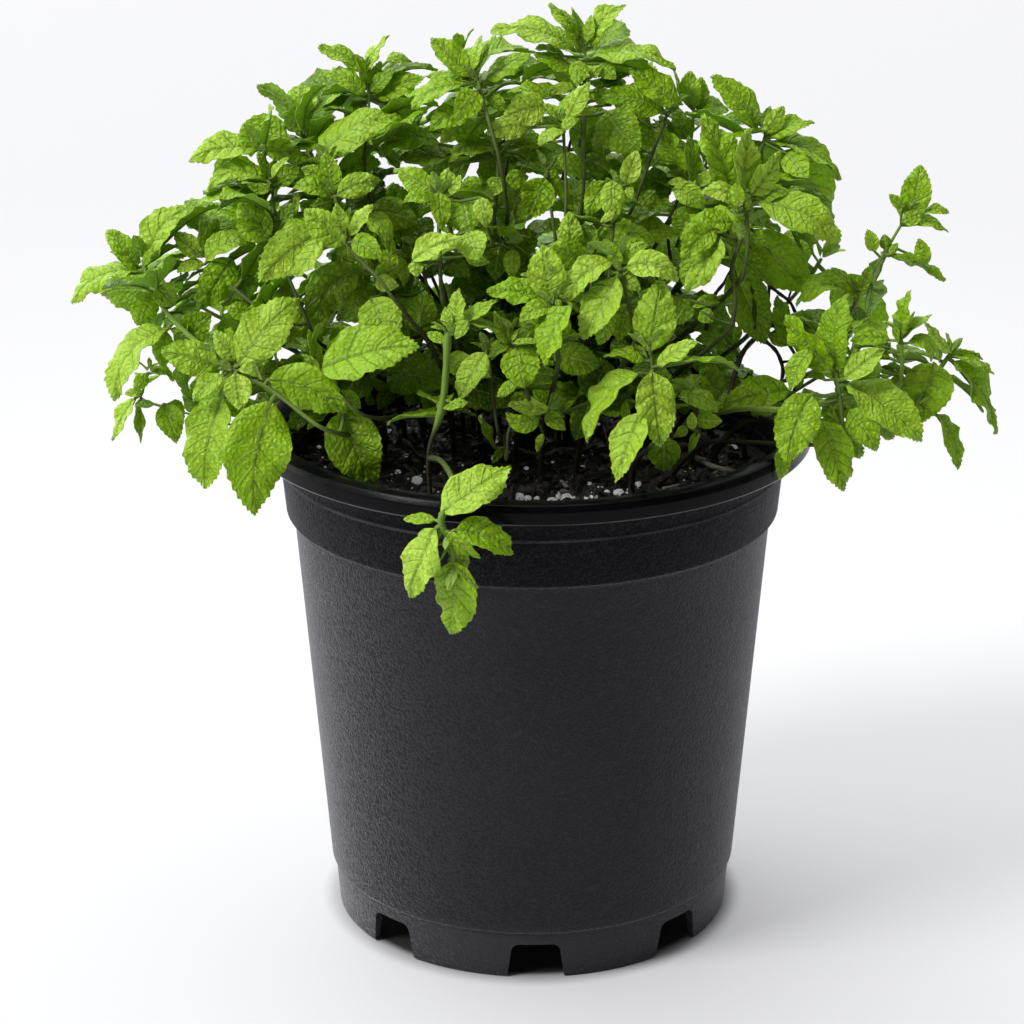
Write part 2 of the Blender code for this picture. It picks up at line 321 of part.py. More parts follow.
def tube(points, r_low, r_top, sides=4, grow=0.0):
    """Vertices and faces of a closed tube along a polyline."""
    verts, faces = [], []
    heading = (points[1] - points[0]).normalized()
    side = heading.orthogonal().normalized()
    last = len(points) - 1
    for i, p in enumerate(points):
        ahead = (points[min(i + 1, last)] - points[max(i - 1, 0)]).normalized()
        side = (side - ahead * side.dot(ahead)).normalized()
        other = ahead.cross(side)
        r = r_low + (r_top - r_low) * i / last + grow
        end = p - ahead * grow if i == 0 else p + ahead * grow if i == last else p
        for k in range(sides):
            turn = 2 * math.pi * (k + 0.5) / sides
            verts.append(end + side * (r * math.cos(turn)) + other * (r * math.sin(turn)))
    for i in range(last):
        for k in range(sides):
            a, b = i * sides + k, i * sides + (k + 1) % sides
            faces.append((a, b, b + sides, a + sides))
    faces.append(tuple(range(sides - 1, -1, -1)))
    faces.append(tuple(range(last * sides, (last + 1) * sides)))
    return verts, faces


# ---------------------------------------------------------------- leaves
def leaf_width(t):
    """Half width of a mint leaf at t along its midrib, as a share of its largest."""
    return math.sin(math.pi * min(max(t, 0.0), 1.0) ** 0.8) ** 0.9 if 0.0 < t < 1.0 else 0.0


class Leaf:
    """A blade on a short stalk: base, control point and tip of its midrib, normal, and half width."""

    def __init__(self, base, bow, tip, normal, half, start, fold, tone, size):
        self.base, self.bow, self.tip, self.normal, self.half = base, bow, tip, normal, half
        self.start, self.fold, self.tone, self.size = start, fold, tone, size

    def rib(self, t):
        return self.base * (1 - t) ** 2 + self.bow * (2 * t * (1 - t)) + self.tip * t**2

    def frame(self, t):
        """Tangent, normal and side of the blade at t."""
        ahead = ((self.bow - self.base) * (1 - t) + (self.tip - self.bow) * t).normalized()
        up = (self.normal - ahead * self.normal.dot(ahead)).normalized()
        return ahead, up, ahead.cross(up)

    def solid(self, grow=0.0, own_stalk=True):
        """Vertices and faces of the plain closed blade, with its stalk where that is long."""
        length = (self.tip - self.base).length
        stations = (0.42,) if self.size < 80.0 else (0.3, 0.68)
        thick = 0.35 + 0.15 * min(1.0, length / 20.0)
        stalk = (self.base - self.start).length
        verts = []
        sections = []
        if own_stalk:
            ahead, _, _ = self.frame(0.0)
            back = (self.start - self.base).normalized() if stalk > 1e-6 else -ahead
            verts.append(self.start + back * (0.3 + grow * 0.5))
            if stalk > 2.6 and -back.dot(ahead) > 0.25:
                sections.append((self.base, 0.55 + grow, 0.45 + grow, 0.0, 0.0))
        else:
            verts.append(self.rib(0.12))
        for t in stations:
            sections.append((self.rib(t), self.half * leaf_width(t) + grow, thick + grow, t, self.fold))
        for n, (centre, wide, deep, t, fold) in enumerate(sections):
            ahead, up, side = self.frame(t)
            way = (centre - verts[0]).normalized()
            if n == 0 and way.dot(ahead) < 0.5:
                ahead = (ahead * 0.5 + way).normalized()
                side = ahead.cross(up).normalized()
                up = side.cross(ahead)
            lift = math.sin(fold) * wide
            verts.append(centre + side * (wide * math.cos(fold)) + up * lift)
            verts.append(centre + up * deep)
            verts.append(centre - side * (wide * math.cos(fold)) + up * lift)
            verts.append(centre - up * deep)
        verts.append(self.tip + (self.tip - self.bow).normalized() * grow)
        faces = []
        for k in range(4):
            faces.append((0, 1 + k, 1 + (k + 1) % 4))
        for s in range(len(sections) - 1):
            a = 1 + 4 * s
            for k in range(4):
                j = (k + 1) % 4
                faces.append((a + k, a + 4 + j, a + j))
                faces.append((a + k, a + 4 + k, a + 4 + j))
        a = 1 + 4 * (len(sections) - 1)
        for k in range(4):
            faces.append((a + (k + 1) % 4, a + k, a + 4))
        return verts, faces


def leaf_at(row, line_y, start, shift=0.0, lean=0.0, shrink=1.0, flip=False, fold=0.0):
    """The leaf of one table row, its base at the stem's depth plus its own shift."""
    bu, bv, tu, tv, wide, bend, dy, off, tone = (tuple(row) + (0, D, 0, 0))[:9] if len(row) < 9 else row
    du, dv = tu - bu, tv - bv
    run = math.hypot(du, dv)
    y0 = line_y + off + shift
    base = spot(bu, bv, y0)
    unit = on_sheet(base)[2] / SHEET_SCALE
    if dy is None:
        dy = run * unit * (-0.28 * max(0.0, dv / run) + 0.25 * max(0.0, -dv / run) - 0.10 * abs(du / run))
    if shrink < 1.0:
        tu, tv, wide = bu + du * shrink, bv + dv * shrink, wide * shrink
        dy, bend = dy * shrink, bend * shrink
    tip = spot(tu, tv, y0 + dy + lean)
    nu, nv = dv / run, -du / run
    if nv > 0 or (nv == 0 and nu < 0):
        nu, nv = -nu, -nv
    bow = spot((bu + tu) / 2 + 2 * bend * nu, (bv + tv) / 2 + 2 * bend * nv, y0 + (dy + lean) / 2)
    axis = (tip - base).normalized()
    length = (tip - base).length
    toward = Vector((0.0, STATION_Y, STATION_Z)) - base
    toward = (toward - axis * toward.dot(axis)).normalized()
    across = axis.cross(toward)
    seen = abs(wide) * unit
    real = max(seen, 0.56 * length)
    turn = math.acos(max(-1.0, min(1.0, seen / real)))
    face = 1.0 if wide > 0 else -1.0
    first = toward * (face * math.cos(turn)) + across * math.sin(turn)
    second = toward * (face * math.cos(turn)) - across * math.sin(turn)
    normal = first if (first.z >= second.z) != flip else second
    bow = bow + toward * (0.10 * length * normal.dot(toward))
    return Leaf(base, bow, tip, normal, real / 2, start, fold, tone, length * real)


# ---------------------------------------------------------------- room for each piece
class Room:
    """What has been placed, kept as boxes and search trees, so that the next piece can stay clear."""

    def __init__(self):
        self.low = np.zeros((2000, 3))
        self.high = np.zeros((2000, 3))
        self.kept = []

    def add(self, owner, kind, verts, faces):
        n = len(self.kept)
        pts = np.array(verts)
        self.low[n], self.high[n] = pts.min(0), pts.max(0)
        self.kept.append((owner, kind, BVHTree.FromPolygons(verts, faces)))

    def hits(self, verts, faces, allow):
        """Owners and kinds of the placed pieces that the mesh meets, leaving out those that allow says."""
        pts = np.array(verts)
        low, high = pts.min(0), pts.max(0)
        n = len(self.kept)
        near = np.nonzero(((self.low[:n] <= high) & (self.high[:n] >= low)).all(axis=1))[0]
        tree = None
        found = []
        for i in near:
            owner, kind, other = self.kept[i]
            if allow(owner, kind):
                continue
            if tree is None:
                tree = BVHTree.FromPolygons(verts, faces)
            if tree.overlap(other):
                found.append((owner, kind))
        return found


def stem_lines(root, shift, stations):
    """Depth, then places, of a stem's stations, with the sweep from its root to the first."""
    points = []
    for st in stations:
        y = st[2] if len(st) > 2 else dome_depth(st[0], st[1]) + shift
        points.append(spot(st[0], st[1], y))
    foot = Vector((root[0], root[1], SOIL_TOP + 0.36))
    gap = (points[0] - foot).length
    heading = (points[1] - points[0]).normalized()
    rise = foot + Vector((0, 0, 0.42 * gap))
    reach = points[0] - heading * (0.3 * gap)
    sweep = []
    for k in range(8):
        t = k / 8
        sweep.append(foot * (1 - t) ** 3 + rise * (3 * t * (1 - t) ** 2) + reach * (3 * t * t * (1 - t)) + points[0] * t**3)
    dense = sweep + along(points, 6)
    return [foot] + thinned([foot + Vector((0, 0, 2.5))] + dense[2:], 0.8)


def nearest_on(lines, u, v):
    """The place on the stem lines that is nearest to (u, v) on the sheet: line, span, share, point."""
    best = None
    for li, (pts, _, _) in enumerate(lines):
        flat = [on_sheet(p) for p in pts]
        for i in range(len(pts) - 1):
            (u0, v0, _), (u1, v1, _) = flat[i], flat[i + 1]
            du, dv = u1 - u0, v1 - v0
            t = max(0.04, min(0.94 if i == len(pts) - 2 else 1.0, ((u - u0) * du + (v - v0) * dv) / max(du * du + dv * dv, 1e-9)))
            off = math.hypot(u0 + du * t - u, v0 + dv * t - v)
            if best is None or off < best[0] - 1e-6:
                best = (off, li, i, t, pts[i].lerp(pts[i + 1], t))
    return best[1:]


TRIES = [(s, l, k, f) for k in (1.0, 0.86, 0.72) for s, l in (
    (0, 0), (0, 2.5), (0, -2.5), (-2, 0), (2, 0), (-3.5, 0), (3.5, 0), (-2, 3), (2, -3), (-5, 0), (5, 0), (-3.5, 4), (3.5, -4),
    (-7, 0), (7, 0), (-5, 5), (5, -5), (-9, 0), (9, 0), (-12, 0), (12, 0)) for f in (False, True)]


def place_leaf(room, owner, lines, row, rng, floor_room=True):
    """The first pose of a leaf that is clear of the other shoots, best also of its own shoot's leaves."""
    li, i, t, start = nearest_on(lines, row[0], row[1])
    fold = math.radians(rng.uniform(4.0, 22.0))
    spare = None
    for n, (shift, lean, shrink, flip) in enumerate(TRIES):
        if n > 26 and spare:
            break
        leaf = leaf_at(row, start.y, start, shift, lean, shrink, flip, fold)
        verts, faces = leaf.solid(grow=0.32)
        own = []

        def allow(o, kind):
            return o == owner

        if room.hits(verts, faces, allow):
            continue
        core = leaf.solid(grow=0.1, own_stalk=False)
        if room.hits(core[0], core[1], lambda o, kind: o != owner or kind == "stem"):
            if spare is None:
                spare = leaf
            continue
        spare = leaf
        break
    if spare is None:
        return None
    spare.hold = (li, i, t)
    return spare


def back_plan():
    """Shoots on the far side, which follow the habit of the near ones: opposite pairs, each pair turned a right angle from the last."""
    plan = []
    feet = [(-26, 31), (-11, 37), (8, 39), (25, 34), (42, 20), (-41, 18), (-21, 45), (14, 49), (-1, 27), (38, 32), (-37, 33), (49, 6), (-4, 50)]
    tops = [(-62, 38, 154), (-32, 48, 180), (10, 46, 192), (44, 40, 170), (64, 30, 150), (-84, 22, 142), (-48, 54, 148), (24, 56, 152), (-12, 30, 200),
            (52, 50, 136), (-70, 44, 130), (76, 14, 132), (-14, 58, 148)]
    for n, (foot, top) in enumerate(zip(feet, tops)):
        plan.append(("shoot_back_" + "abcdefghijklm"[n], Vector((foot[0], foot[1], SOIL_TOP + 0.36)), Vector(top)))
    return plan


def seen_clear(points):
    """True where the points lie inside the plant's outline on the sheet and out of its openings."""
    for p in points:
        u, v, _ = on_sheet(p)
        if not in_polygon(u, v, OUTLINE):
            return False
        for u0, v0, u1, v1 in WINDOWS:
            if u0 < u < u1 and v0 < v < v1:
                return False
    return True


def free_leaf(base, heading, up, length, wide, start, fold, tone, droop):
    tip = base + heading * length - Vector((0, 0, droop * length))
    bow = (base + tip) / 2 + Vector((0, 0, 1)) * (0.14 * length)
    axis = (tip - base).normalized()
    normal = (up - axis * up.dot(axis)).normalized()
    return Leaf(base, bow, tip, normal, wide / 2, start, fold, tone, length * wide)


def grow_back(room, name, foot, top, rng):
    """One far-side shoot, or None where it finds no room."""
    middle = foot.copy()
    for tries in range(120):
        aim = top + Vector((rng.uniform(-5, 5), rng.uniform(-4, 4), rng.uniform(-4, 3)))
        foot = middle + Vector((rng.uniform(-5, 5), rng.uniform(-4, 3), 0)) * min(1.6, tries / 16)
        if foot.xy.length > 51.0:
            foot.xy *= 51.0 / foot.xy.length
        rise = (aim - foot).length
        c1 = foot + Vector((0, 0, 0.45 * rise))
        c2 = aim - Vector(((aim.x - foot.x) * 0.30, (aim.y - foot.y) * 0.30, 0.35 * (aim.z - foot.z)))
        dense = []
        for k in range(25):
            t = k / 24
            dense.append(foot * (1 - t) ** 3 + c1 * (3 * t * (1 - t) ** 2) + c2 * (3 * t * t * (1 - t)) + aim * t**3)
        line = [foot] + thinned([foot + Vector((0, 0, 2.5))] + dense[3:], 0.7)
        verts, faces = tube(line, 1.15, 0.65, grow=0.32)
        if not room.hits(verts, faces, lambda o, kind: False):
            break
    else:
        print(name, "stem has no room")
        return None
    lines = [(line, 1.1, 0.6)]
    room.add(name, "stem", *tube(line, 1.1, 0.6))
    total = sum((line[i + 1] - line[i]).length for i in range(len(line) - 1))
    leaves = []
    turn = rng.uniform(0, math.pi)
    gone = total * 0.30
    pair = 0
    while gone < total + 1.0:
        share = min(gone / total, 0.995)
        run, i = share * total, 0
        while run > (line[i + 1] - line[i]).length and i < len(line) - 2:
            run -= (line[i + 1] - line[i]).length
            i += 1
        t = min(0.96, run / (line[i + 1] - line[i]).length)
        start = line[i].lerp(line[i + 1], t)
        ahead = (line[i + 1] - line[i]).normalized()
        side = Vector((math.cos(turn), math.sin(turn), 0.0))
        side = (side - ahead * side.dot(ahead)).normalized()
        size = (14.0 + 8.0 * math.sin(math.pi * min(1.0, 0.2 + share * 0.72))) * (1.0 - 0.5 * max(0.0, share - 0.6))
        for sign in (1.0, -1.0):
            for length in (size, size * 0.82, size * 0.64, size * 0.5):
                made = None
                for swing in (0.0, 0.35, -0.35, 0.7, -0.7):
                    out = Matrix.Rotation(swing, 3, ahead) @ (side * sign)
                    heading = (out + ahead * rng.uniform(0.15, 0.5)).normalized()
                    up = (ahead + out * 0.2).normalized()
                    droop = rng.uniform(0.05, 0.45)
                    leaf = free_leaf(start + heading * 2.2, heading, up, length, length * rng.uniform(0.56, 0.68), start, math.radians(rng.uniform(4, 22)), rng.uniform(-0.5, 0.4), droop)
                    _, _, s = leaf.frame(0.4)
                    mid = leaf.rib(0.4)
                    if not seen_clear((leaf.base, leaf.tip, mid, mid + s * leaf.half, mid - s * leaf.half)):
                        continue
                    verts, faces = leaf.solid(grow=0.32)
                    if room.hits(verts, faces, lambda o, kind: o == name):
                        continue
                    core = leaf.solid(grow=0.1, own_stalk=False)
                    if room.hits(core[0], core[1], lambda o, kind: o != name or kind == "stem"):
                        continue
                    made = leaf
                    break
                if made:
                    break
            if made:
                made.hold = (0, i, t)
                leaves.append(made)
                room.add(name, "leaf", *made.solid())
        turn += math.pi / 2
        pair += 1
        gone += max(6.0, 12.5 - 1.3 * pair)
    return {"name": name, "lines": lines, "leaves": leaves}


class Cover:
    """Which cells of the sheet the near leaves cover, and how far away the nearest of them is."""

    def __init__(self):
        self.near = np.full((220, 220), 1e9)

    def spots(self, leaf, along_count=14, across_count=9):
        found = []
        for i in range(along_count):
            t = 0.04 + 0.92 * i / (along_count - 1)
            _, _, side = leaf.frame(t)
            middle = leaf.rib(t)
            wide = leaf.half * leaf_width(t) * 0.94
            for j in range(across_count):
                p = middle + side * (wide * (2.0 * j / (across_count - 1) - 1.0))
                u, v, deep = on_sheet(p)
                found.append((min(219, max(0, int(v / 5.0))), min(219, max(0, int(u / 5.0))), deep))
        return found

    def mark(self, leaf):
        for row, column, deep in self.spots(leaf, 26, 17):
            self.near[row, column] = min(self.near[row, column], deep)

    def weigh(self, leaf):
        """Shares of the leaf that would hide a near leaf, and that would fill an empty cell."""
        spots = self.spots(leaf)
        hides = sum(1 for row, column, deep in spots if deep + 0.4 < self.near[row, column] < 1e8)
        fills = sum(1 for row, column, deep in spots if self.near[row, column] > 1e8)
        return hides / len(spots), fills / len(spots)


def fill_in(room, shoots, cover, most):
    """More leaves on bare lengths of stem: first those that close empty places in the near side, then any."""
    count = 0
    for least, sizes in ((0.45, (17.0, 14.0, 11.5, 9.0)), (0.25, (15.0, 12.0, 9.5, 7.5)), (0.0, (13.0, 10.5, 8.5))):
        for shoot in shoots:
            name = shoot["name"]
            rng = random.Random("fill " + name + str(least))
            for n, (points, r_low, r_top) in enumerate(shoot["lines"]):
                spans = [(b - a).length for a, b in zip(points, points[1:])]
                total = sum(spans)
                gone = total * (0.22 if n == 0 else 0.1) + rng.uniform(0, 4)
                turn = rng.uniform(0, math.pi)
                while gone < total - 3.0 and count < most:
                    run, i = gone, 0
                    while run > spans[i] and i < len(spans) - 1:
                        run -= spans[i]
                        i += 1
                    t = min(0.96, run / spans[i])
                    start = points[i].lerp(points[i + 1], t)
                    ahead = (points[i + 1] - points[i]).normalized()
                    side = Vector((math.cos(turn), math.sin(turn), 0.15))
                    side = (side - ahead * side.dot(ahead)).normalized()
                    if start.z < SOIL_TOP + 9.0:
                        gone += 5.0
                        continue
                    for sign in (1.0, -1.0):
                        made = None
                        for size in sizes:
                            for swing in (0.0, 0.4, -0.4, 0.8, -0.8, 1.2, -1.2):
                                out = Matrix.Rotation(swing, 3, ahead) @ (side * sign)
                                heading = (out + ahead * rng.uniform(0.1, 0.6)).normalized()
                                up = (ahead + out * 0.2 + Vector((0, -0.25, 0.3))).normalized()
                                leaf = free_leaf(start + heading * 2.4, heading, up, size, size * rng.uniform(0.56, 0.70), start, math.radians(rng.uniform(4, 22)), rng.uniform(-0.8, 0.1), rng.uniform(0.0, 0.5))
                                _, _, s = leaf.frame(0.4)
                                mid = leaf.rib(0.4)
                                if not seen_clear((leaf.base, leaf.tip, mid, mid + s * leaf.half, mid - s * leaf.half)):
                                    continue
                                hides, fills = cover.weigh(leaf)
                                if hides > 0.06 or fills < least:
                                    continue
                                if room.hits(*leaf.solid(grow=0.32), lambda o, kind: o == name):
                                    continue
                                if room.hits(*leaf.solid(grow=0.1, own_stalk=False), lambda o, kind: o != name):
                                    continue
                                made = leaf
                                break
                            if made:
                                break
                        if made and count < most:
                            made.hold = (n, i, t)
                            made.order = 1000 + count
                            shoot["leaves"].append(made)
                            room.add(name, "leaf", *made.solid())
                            cover.mark(made)
                            count += 1
                    turn += math.pi / 2 + rng.uniform(-0.2, 0.2)
                    gone += rng.uniform(5.0, 7.5)
        print("filled to", least, count)
    return count


def grow(fixed):
    """Every shoot: name, stem lines and leaves, in millimetres. fixed holds the meshes to stay clear of."""
    room = Room()
    for verts, faces in fixed:
        room.add("fixed", "fixed", verts, faces)
    shoots = []
    lost = []
    for name, root, shift, stations, r_low, r_top, rows in SHOOTS:
        done = None
        for move in (0, -2, 2, -4, 4, -6, 6, -8, 8, -11, 11):
            for sway, slide in ((0, 0), (2.5, 0), (-2.5, 0), (5, 0), (-5, 0), (0, 5), (0, -5), (4, 4), (-4, 4), (4, -4), (-4, -4), (8, 0), (-8, 0), (0, 9), (0, -9)):
                line = stem_lines((root[0] + sway, root[1] + slide + move * 0.5), shift + move, stations)
                if not room.hits(*tube(line, r_low, r_top, grow=0.32), lambda o, kind: False):
                    done = line
                    break
            if done:
                break
        if done is None:
            lost.append(name)
            continue
        lines = [(done, r_low, r_top)]
        room.add(name, "stem", *tube(done, r_low, r_top))
        for branch in rows:
            if isinstance(branch, list):
                _, _, _, start = nearest_on(lines[:1], branch[0][0], branch[0][1])
                for move in (0, -2, 2, -4, 4, -6, 6, -8, 8):
                    points = [start] + [spot(u, v, y + move) for u, v, y in branch[1:]]
                    points = thinned(along(points, 5), 0.6)
                    made = tube(points, r_top * 0.95, r_top * 0.6, grow=0.32)
                    if not room.hits(*made, lambda o, kind: o == name):
                        break
                else:
                    lost.append(name + " branch")
                    continue
                lines.append((points, r_top * 0.95, r_top * 0.6))
                room.add(name, "stem", *tube(points, r_top * 0.95, r_top * 0.6))
        shoots.append({"name": name, "lines": lines, "leaves": [], "rows": [r for r in rows if not isinstance(r, list)]})
    tasks = []
    for shoot in shoots:
        for n, row in enumerate(shoot.pop("rows")):
            area = abs(row[4]) * math.hypot(row[2] - row[0], row[3] - row[1])
            tasks.append((-area, len(tasks), shoot, n, row))
    for _, _, shoot, n, row in sorted(tasks, key=lambda task: task[:2]):
        rng = random.Random(shoot["name"] + str(n))
        leaf = place_leaf(room, shoot["name"], shoot["lines"], row, rng)
        if leaf is None:
            lost.append(f"{shoot['name']} {row[:4]}")
            continue
        leaf.order = n
        shoot["leaves"].append(leaf)
        room.add(shoot["name"], "leaf", *leaf.solid())
    for shoot in shoots:
        shoot["leaves"].sort(key=lambda leaf: leaf.order)
    cover = Cover()
    for shoot in shoots:
        for leaf in shoot["leaves"]:
            cover.mark(leaf)
    for name, foot, top in back_plan():
        shoot = grow_back(room, name, foot, top, random.Random(name))
        if shoot and len(shoot["leaves"]) > 3:
            shoots.append(shoot)
        else:
            lost.append(name)
    lost.append(fill_in(room, shoots, cover, FILL_LEAVES))
    return shoots, lost


# ---------------------------------------------------------------- building in Blender
MM = 0.001


def clear_scene():
    for obj in list(bpy.data.objects):
        bpy.data.objects.remove(obj, do_unlink=True)


def paint(name, colour, rough, metal=0.0):
    """A Principled material."""
    mat = bpy.data.materials.new(name)
    mat.use_nodes = True
    shader = mat.node_tree.nodes["Principled BSDF"]
    shader.inputs["Base Color"].default_value = (*colour, 1.0)
    shader.inputs["Roughness"].default_value = rough
    shader.inputs["Metallic"].default_value = metal
    mat.diffuse_color = (*colour, 1.0)
    return mat


def volume(verts, faces):
    """Signed volume of a closed mesh, positive where its faces point out."""
    total = 0.0
    for f in faces:
        for i in range(1, len(f) - 1):
            total += verts[f[0]].dot(verts[f[i]].cross(verts[f[i + 1]])) / 6
    return total


def mesh_of(name, verts, faces):
    verts = [Vector(v) for v in verts]
    if volume(verts, faces) < 0:
        faces = [tuple(reversed(f)) for f in faces]
    mesh = bpy.data.meshes.new(name)
    mesh.from_pydata([tuple(v * MM) for v in verts], [], faces)
    return mesh


def add(name, verts, faces, mat, home=None, parent=None):
    """An object for the mesh, with its own material, in the scene's collection or another."""
    obj = bpy.data.objects.new(name, mesh_of(name, verts, faces))
    (home or bpy.context.scene.collection).objects.link(obj)
    if mat:
        obj.data.materials.append(mat)
    if parent:
        obj.parent = parent
    return obj


def combine(obj, cutters, operation):
    """The exact Boolean of obj with each of the helpers, applied, and the helpers removed."""
    group = bpy.data.collections.new(obj.name + "_helpers")
    bpy.context.scene.collection.children.link(group)
    for helper in cutters:
        group.objects.link(helper)
        bpy.context.scene.collection.objects.unlink(helper)
        helper.hide_render = True
    step = obj.modifiers.new("shape", "BOOLEAN")
    step.operation = operation
    step.solver = "EXACT"
    step.use_self = operation == "UNION"
    step.operand_type = "COLLECTION"
    step.collection = group
    bpy.context.view_layer.update()
    graph = bpy.context.evaluated_depsgraph_get()
    made = bpy.data.meshes.new_from_object(obj.evaluated_get(graph), depsgraph=graph)
    obj.modifiers.clear()
    old = obj.data
    obj.data = made
    made.name = obj.name
    bpy.data.meshes.remove(old)
    for helper in cutters:
        bpy.data.objects.remove(helper, do_unlink=True)
    bpy.data.collections.remove(group)


def keep_main_body(obj):
    """Drops the splinters that a Boolean leaves beside the body."""
    bm = bmesh.new()
    bm.from_mesh(obj.data)
    bm.faces.ensure_lookup_table()
    seen = set()
    bodies = []
    for face in bm.faces:
        if face.index in seen:
            continue
        body, front = [], [face]
        seen.add(face.index)
        while front:
            at = front.pop()
            body.append(at)
            for edge in at.edges:
                for other in edge.link_faces if len(edge.link_faces) == 2 else ():
                    if other.index not in seen:
                        seen.add(other.index)
                        front.append(other)
        bodies.append(body)
    bodies.sort(key=lambda body: sum(f.calc_area() for f in body))
    for body in bodies[:-1]:
        bmesh.ops.delete(bm, geom=body, context="FACES")
    loose = [v for v in bm.verts if not v.link_faces]
    bmesh.ops.delete(bm, geom=loose, context="VERTS")
    bm.to_mesh(obj.data)
    bm.free()


def tidy(obj, within=0.00002):
    bm = bmesh.new()
    bm.from_mesh(obj.data)
    bmesh.ops.remove_doubles(bm, verts=bm.verts, dist=within)
    bmesh.ops.dissolve_degenerate(bm, edges=bm.edges, dist=within)
    bm.to_mesh(obj.data)
    bm.free()


def smooth(obj, angle=35.0):
    obj.data.shade_smooth()
    obj.data.set_sharp_from_angle(angle=math.radians(angle))


def notch_cutter(turn):
    """A wedge through the foot ring: wide at the bottom, narrow at the top."""
    verts = []
    for r in (40.0, 50.0):
        for half, z in ((6.6, -1.0), (6.3, 2.0), (5.0, 7.6), (4.2, 8.3), (-4.2, 8.3), (-5.0, 7.6), (-6.3, 2.0), (-6.6, -1.0)):
            verts.append(Vector((r * math.cos(turn) - half * math.sin(turn), r * math.sin(turn) + half * math.cos(turn), z)))
    faces = [tuple(range(8)), tuple(range(15, 7, -1))]
    for k in range(8):
        j = (k + 1) % 8
        faces.append((k, 8 + k, 8 + j, j))
    return verts, faces


def drain_cutter(x, y, rx, ry, sides=12):
    """A round or long hole through the bottom plate."""
    verts = []
    heading = math.atan2(y, x)
    for z in (FLOOR_Z - 1.0, FLOOR_Z + WALL + 1.0):
        for k in range(sides):
            turn = 2 * math.pi * k / sides
            a, b = rx * math.cos(turn), ry * math.sin(turn)
            verts.append(Vector((x + a * math.cos(heading) - b * math.sin(heading), y + a * math.sin(heading) + b * math.cos(heading), z)))
    faces = [tuple(range(sides - 1, -1, -1)), tuple(range(sides, 2 * sides))]
    for k in range(sides):
        j = (k + 1) % sides
        faces.append((k, j, sides + j, sides + k))
    return verts, faces


def grain(name, centre, size, rng, mat, parent):
    """One perlite grain: an uneven ball that lies on the potting mix."""
    bm = bmesh.new()
    bmesh.ops.create_icosphere(bm, subdivisions=1, radius=size)
    for v in bm.verts:
        v.co *= rng.uniform(0.82, 1.15)
        v.co.z *= 0.8
    low = min(v.co.z for v in bm.verts)
    verts = [v.co + centre + Vector((0, 0, -low)) for v in bm.verts]
    faces = [tuple(v.index for v in f.verts) for f in bm.faces]
    bm.free()
    return add(name, verts, faces, mat, parent=parent)


def main():
    clear_scene()
    root = bpy.data.objects.new("potted_mint", None)
    bpy.context.scene.collection.objects.link(root)
    charcoal = paint("charcoal_plastic", (0.033, 0.034, 0.037), 0.55)
    dark_mix = paint("potting_mix", (0.030, 0.022, 0.016), 0.95)
    white = paint("perlite", (0.80, 0.79, 0.76), 0.9)
    pale = paint("runner", (0.50, 0.52, 0.30), 0.7)

    pot = add("pot", *turned(pot_profile(), POT_SIDES), charcoal, parent=root)
    cutters = []
    for k in range(NOTCHES):
        cutters.append(add("notch", *notch_cutter(math.radians(-89.0 + 45.0 * k)), None))
    cutters.append(add("hole", *drain_cutter(0.001, 0.0, 5.0, 5.0), None))
    for k in range(4):
        turn = math.radians(45.0 + 90.0 * k)
        cutters.append(add("hole", *drain_cutter(33.0 * math.cos(turn), 33.0 * math.sin(turn), 3.0, 8.0), None))
    combine(pot, cutters, "DIFFERENCE")
    tidy(pot)
    smooth(pot)

    soil_mesh = turned(soil_profile(), POT_SIDES)
    soil = add("soil", *soil_mesh, dark_mix, parent=root)
    smooth(soil)

    rng = random.Random(7)
    lying = []
    for n, (u, v, size) in enumerate(GRAINS):
        at = on_level(u, v, SOIL_TOP + GAP)
        at.z = SOIL_TOP + GAP
        lying.append(grain("perlite_" + "abcdef"[n], at, size, rng, white, root))
    strand = [on_level(u, v, SOIL_TOP + 0.9) for u, v in RUNNER]
    for p in strand:
        p.z = SOIL_TOP + 1.25
    runner_mesh = tube(thinned(along(strand), 0.3), 0.8, 0.6, sides=6)
    smooth(add("runner", *runner_mesh, pale, parent=root))

    fixed = [turned(pot_profile(), POT_SIDES), soil_mesh, runner_mesh]
    for obj in lying:
        fixed.append(([v.co / MM for v in obj.data.vertices], [tuple(p.vertices) for p in obj.data.polygons]))
    shoots, lost = grow(fixed)
    for n, shoot in enumerate(shoots):
        green = paint("mint_" + shoot["name"], (0.10 + 0.02 * (n % 4), 0.23 + 0.02 * (n % 3), 0.035), 0.6)
        line, r_low, r_top = shoot["lines"][0]
        stem = add(shoot["name"], *tube(line, r_low, r_top), green, parent=root)
        parts = []
        for line, r_low, r_top in shoot["lines"][1:]:
            parts.append(add("branch", *tube(line, r_low, r_top), green))
        for leaf in shoot["leaves"]:
            parts.append(add("leaf", *leaf.solid(), green))
        combine(stem, parts, "UNION")
        keep_main_body(stem)
        smooth(stem, 50.0)
    print("shoots", len(shoots), "leaves", sum(len(s["leaves"]) for s in shoots), "left out", lost)


main()
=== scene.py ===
"""A potted mint plant: the looks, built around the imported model.

The near shoots follow an elevation table, the far ones grow by a rule, and both keep clear of each other in
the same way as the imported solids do, so that each blade and stem stands where its solid stands."""

import json
import math
import random

import bmesh
import bpy
import numpy as np
from mathutils import Matrix, Vector, noise
from mathutils.bvhtree import BVHTree

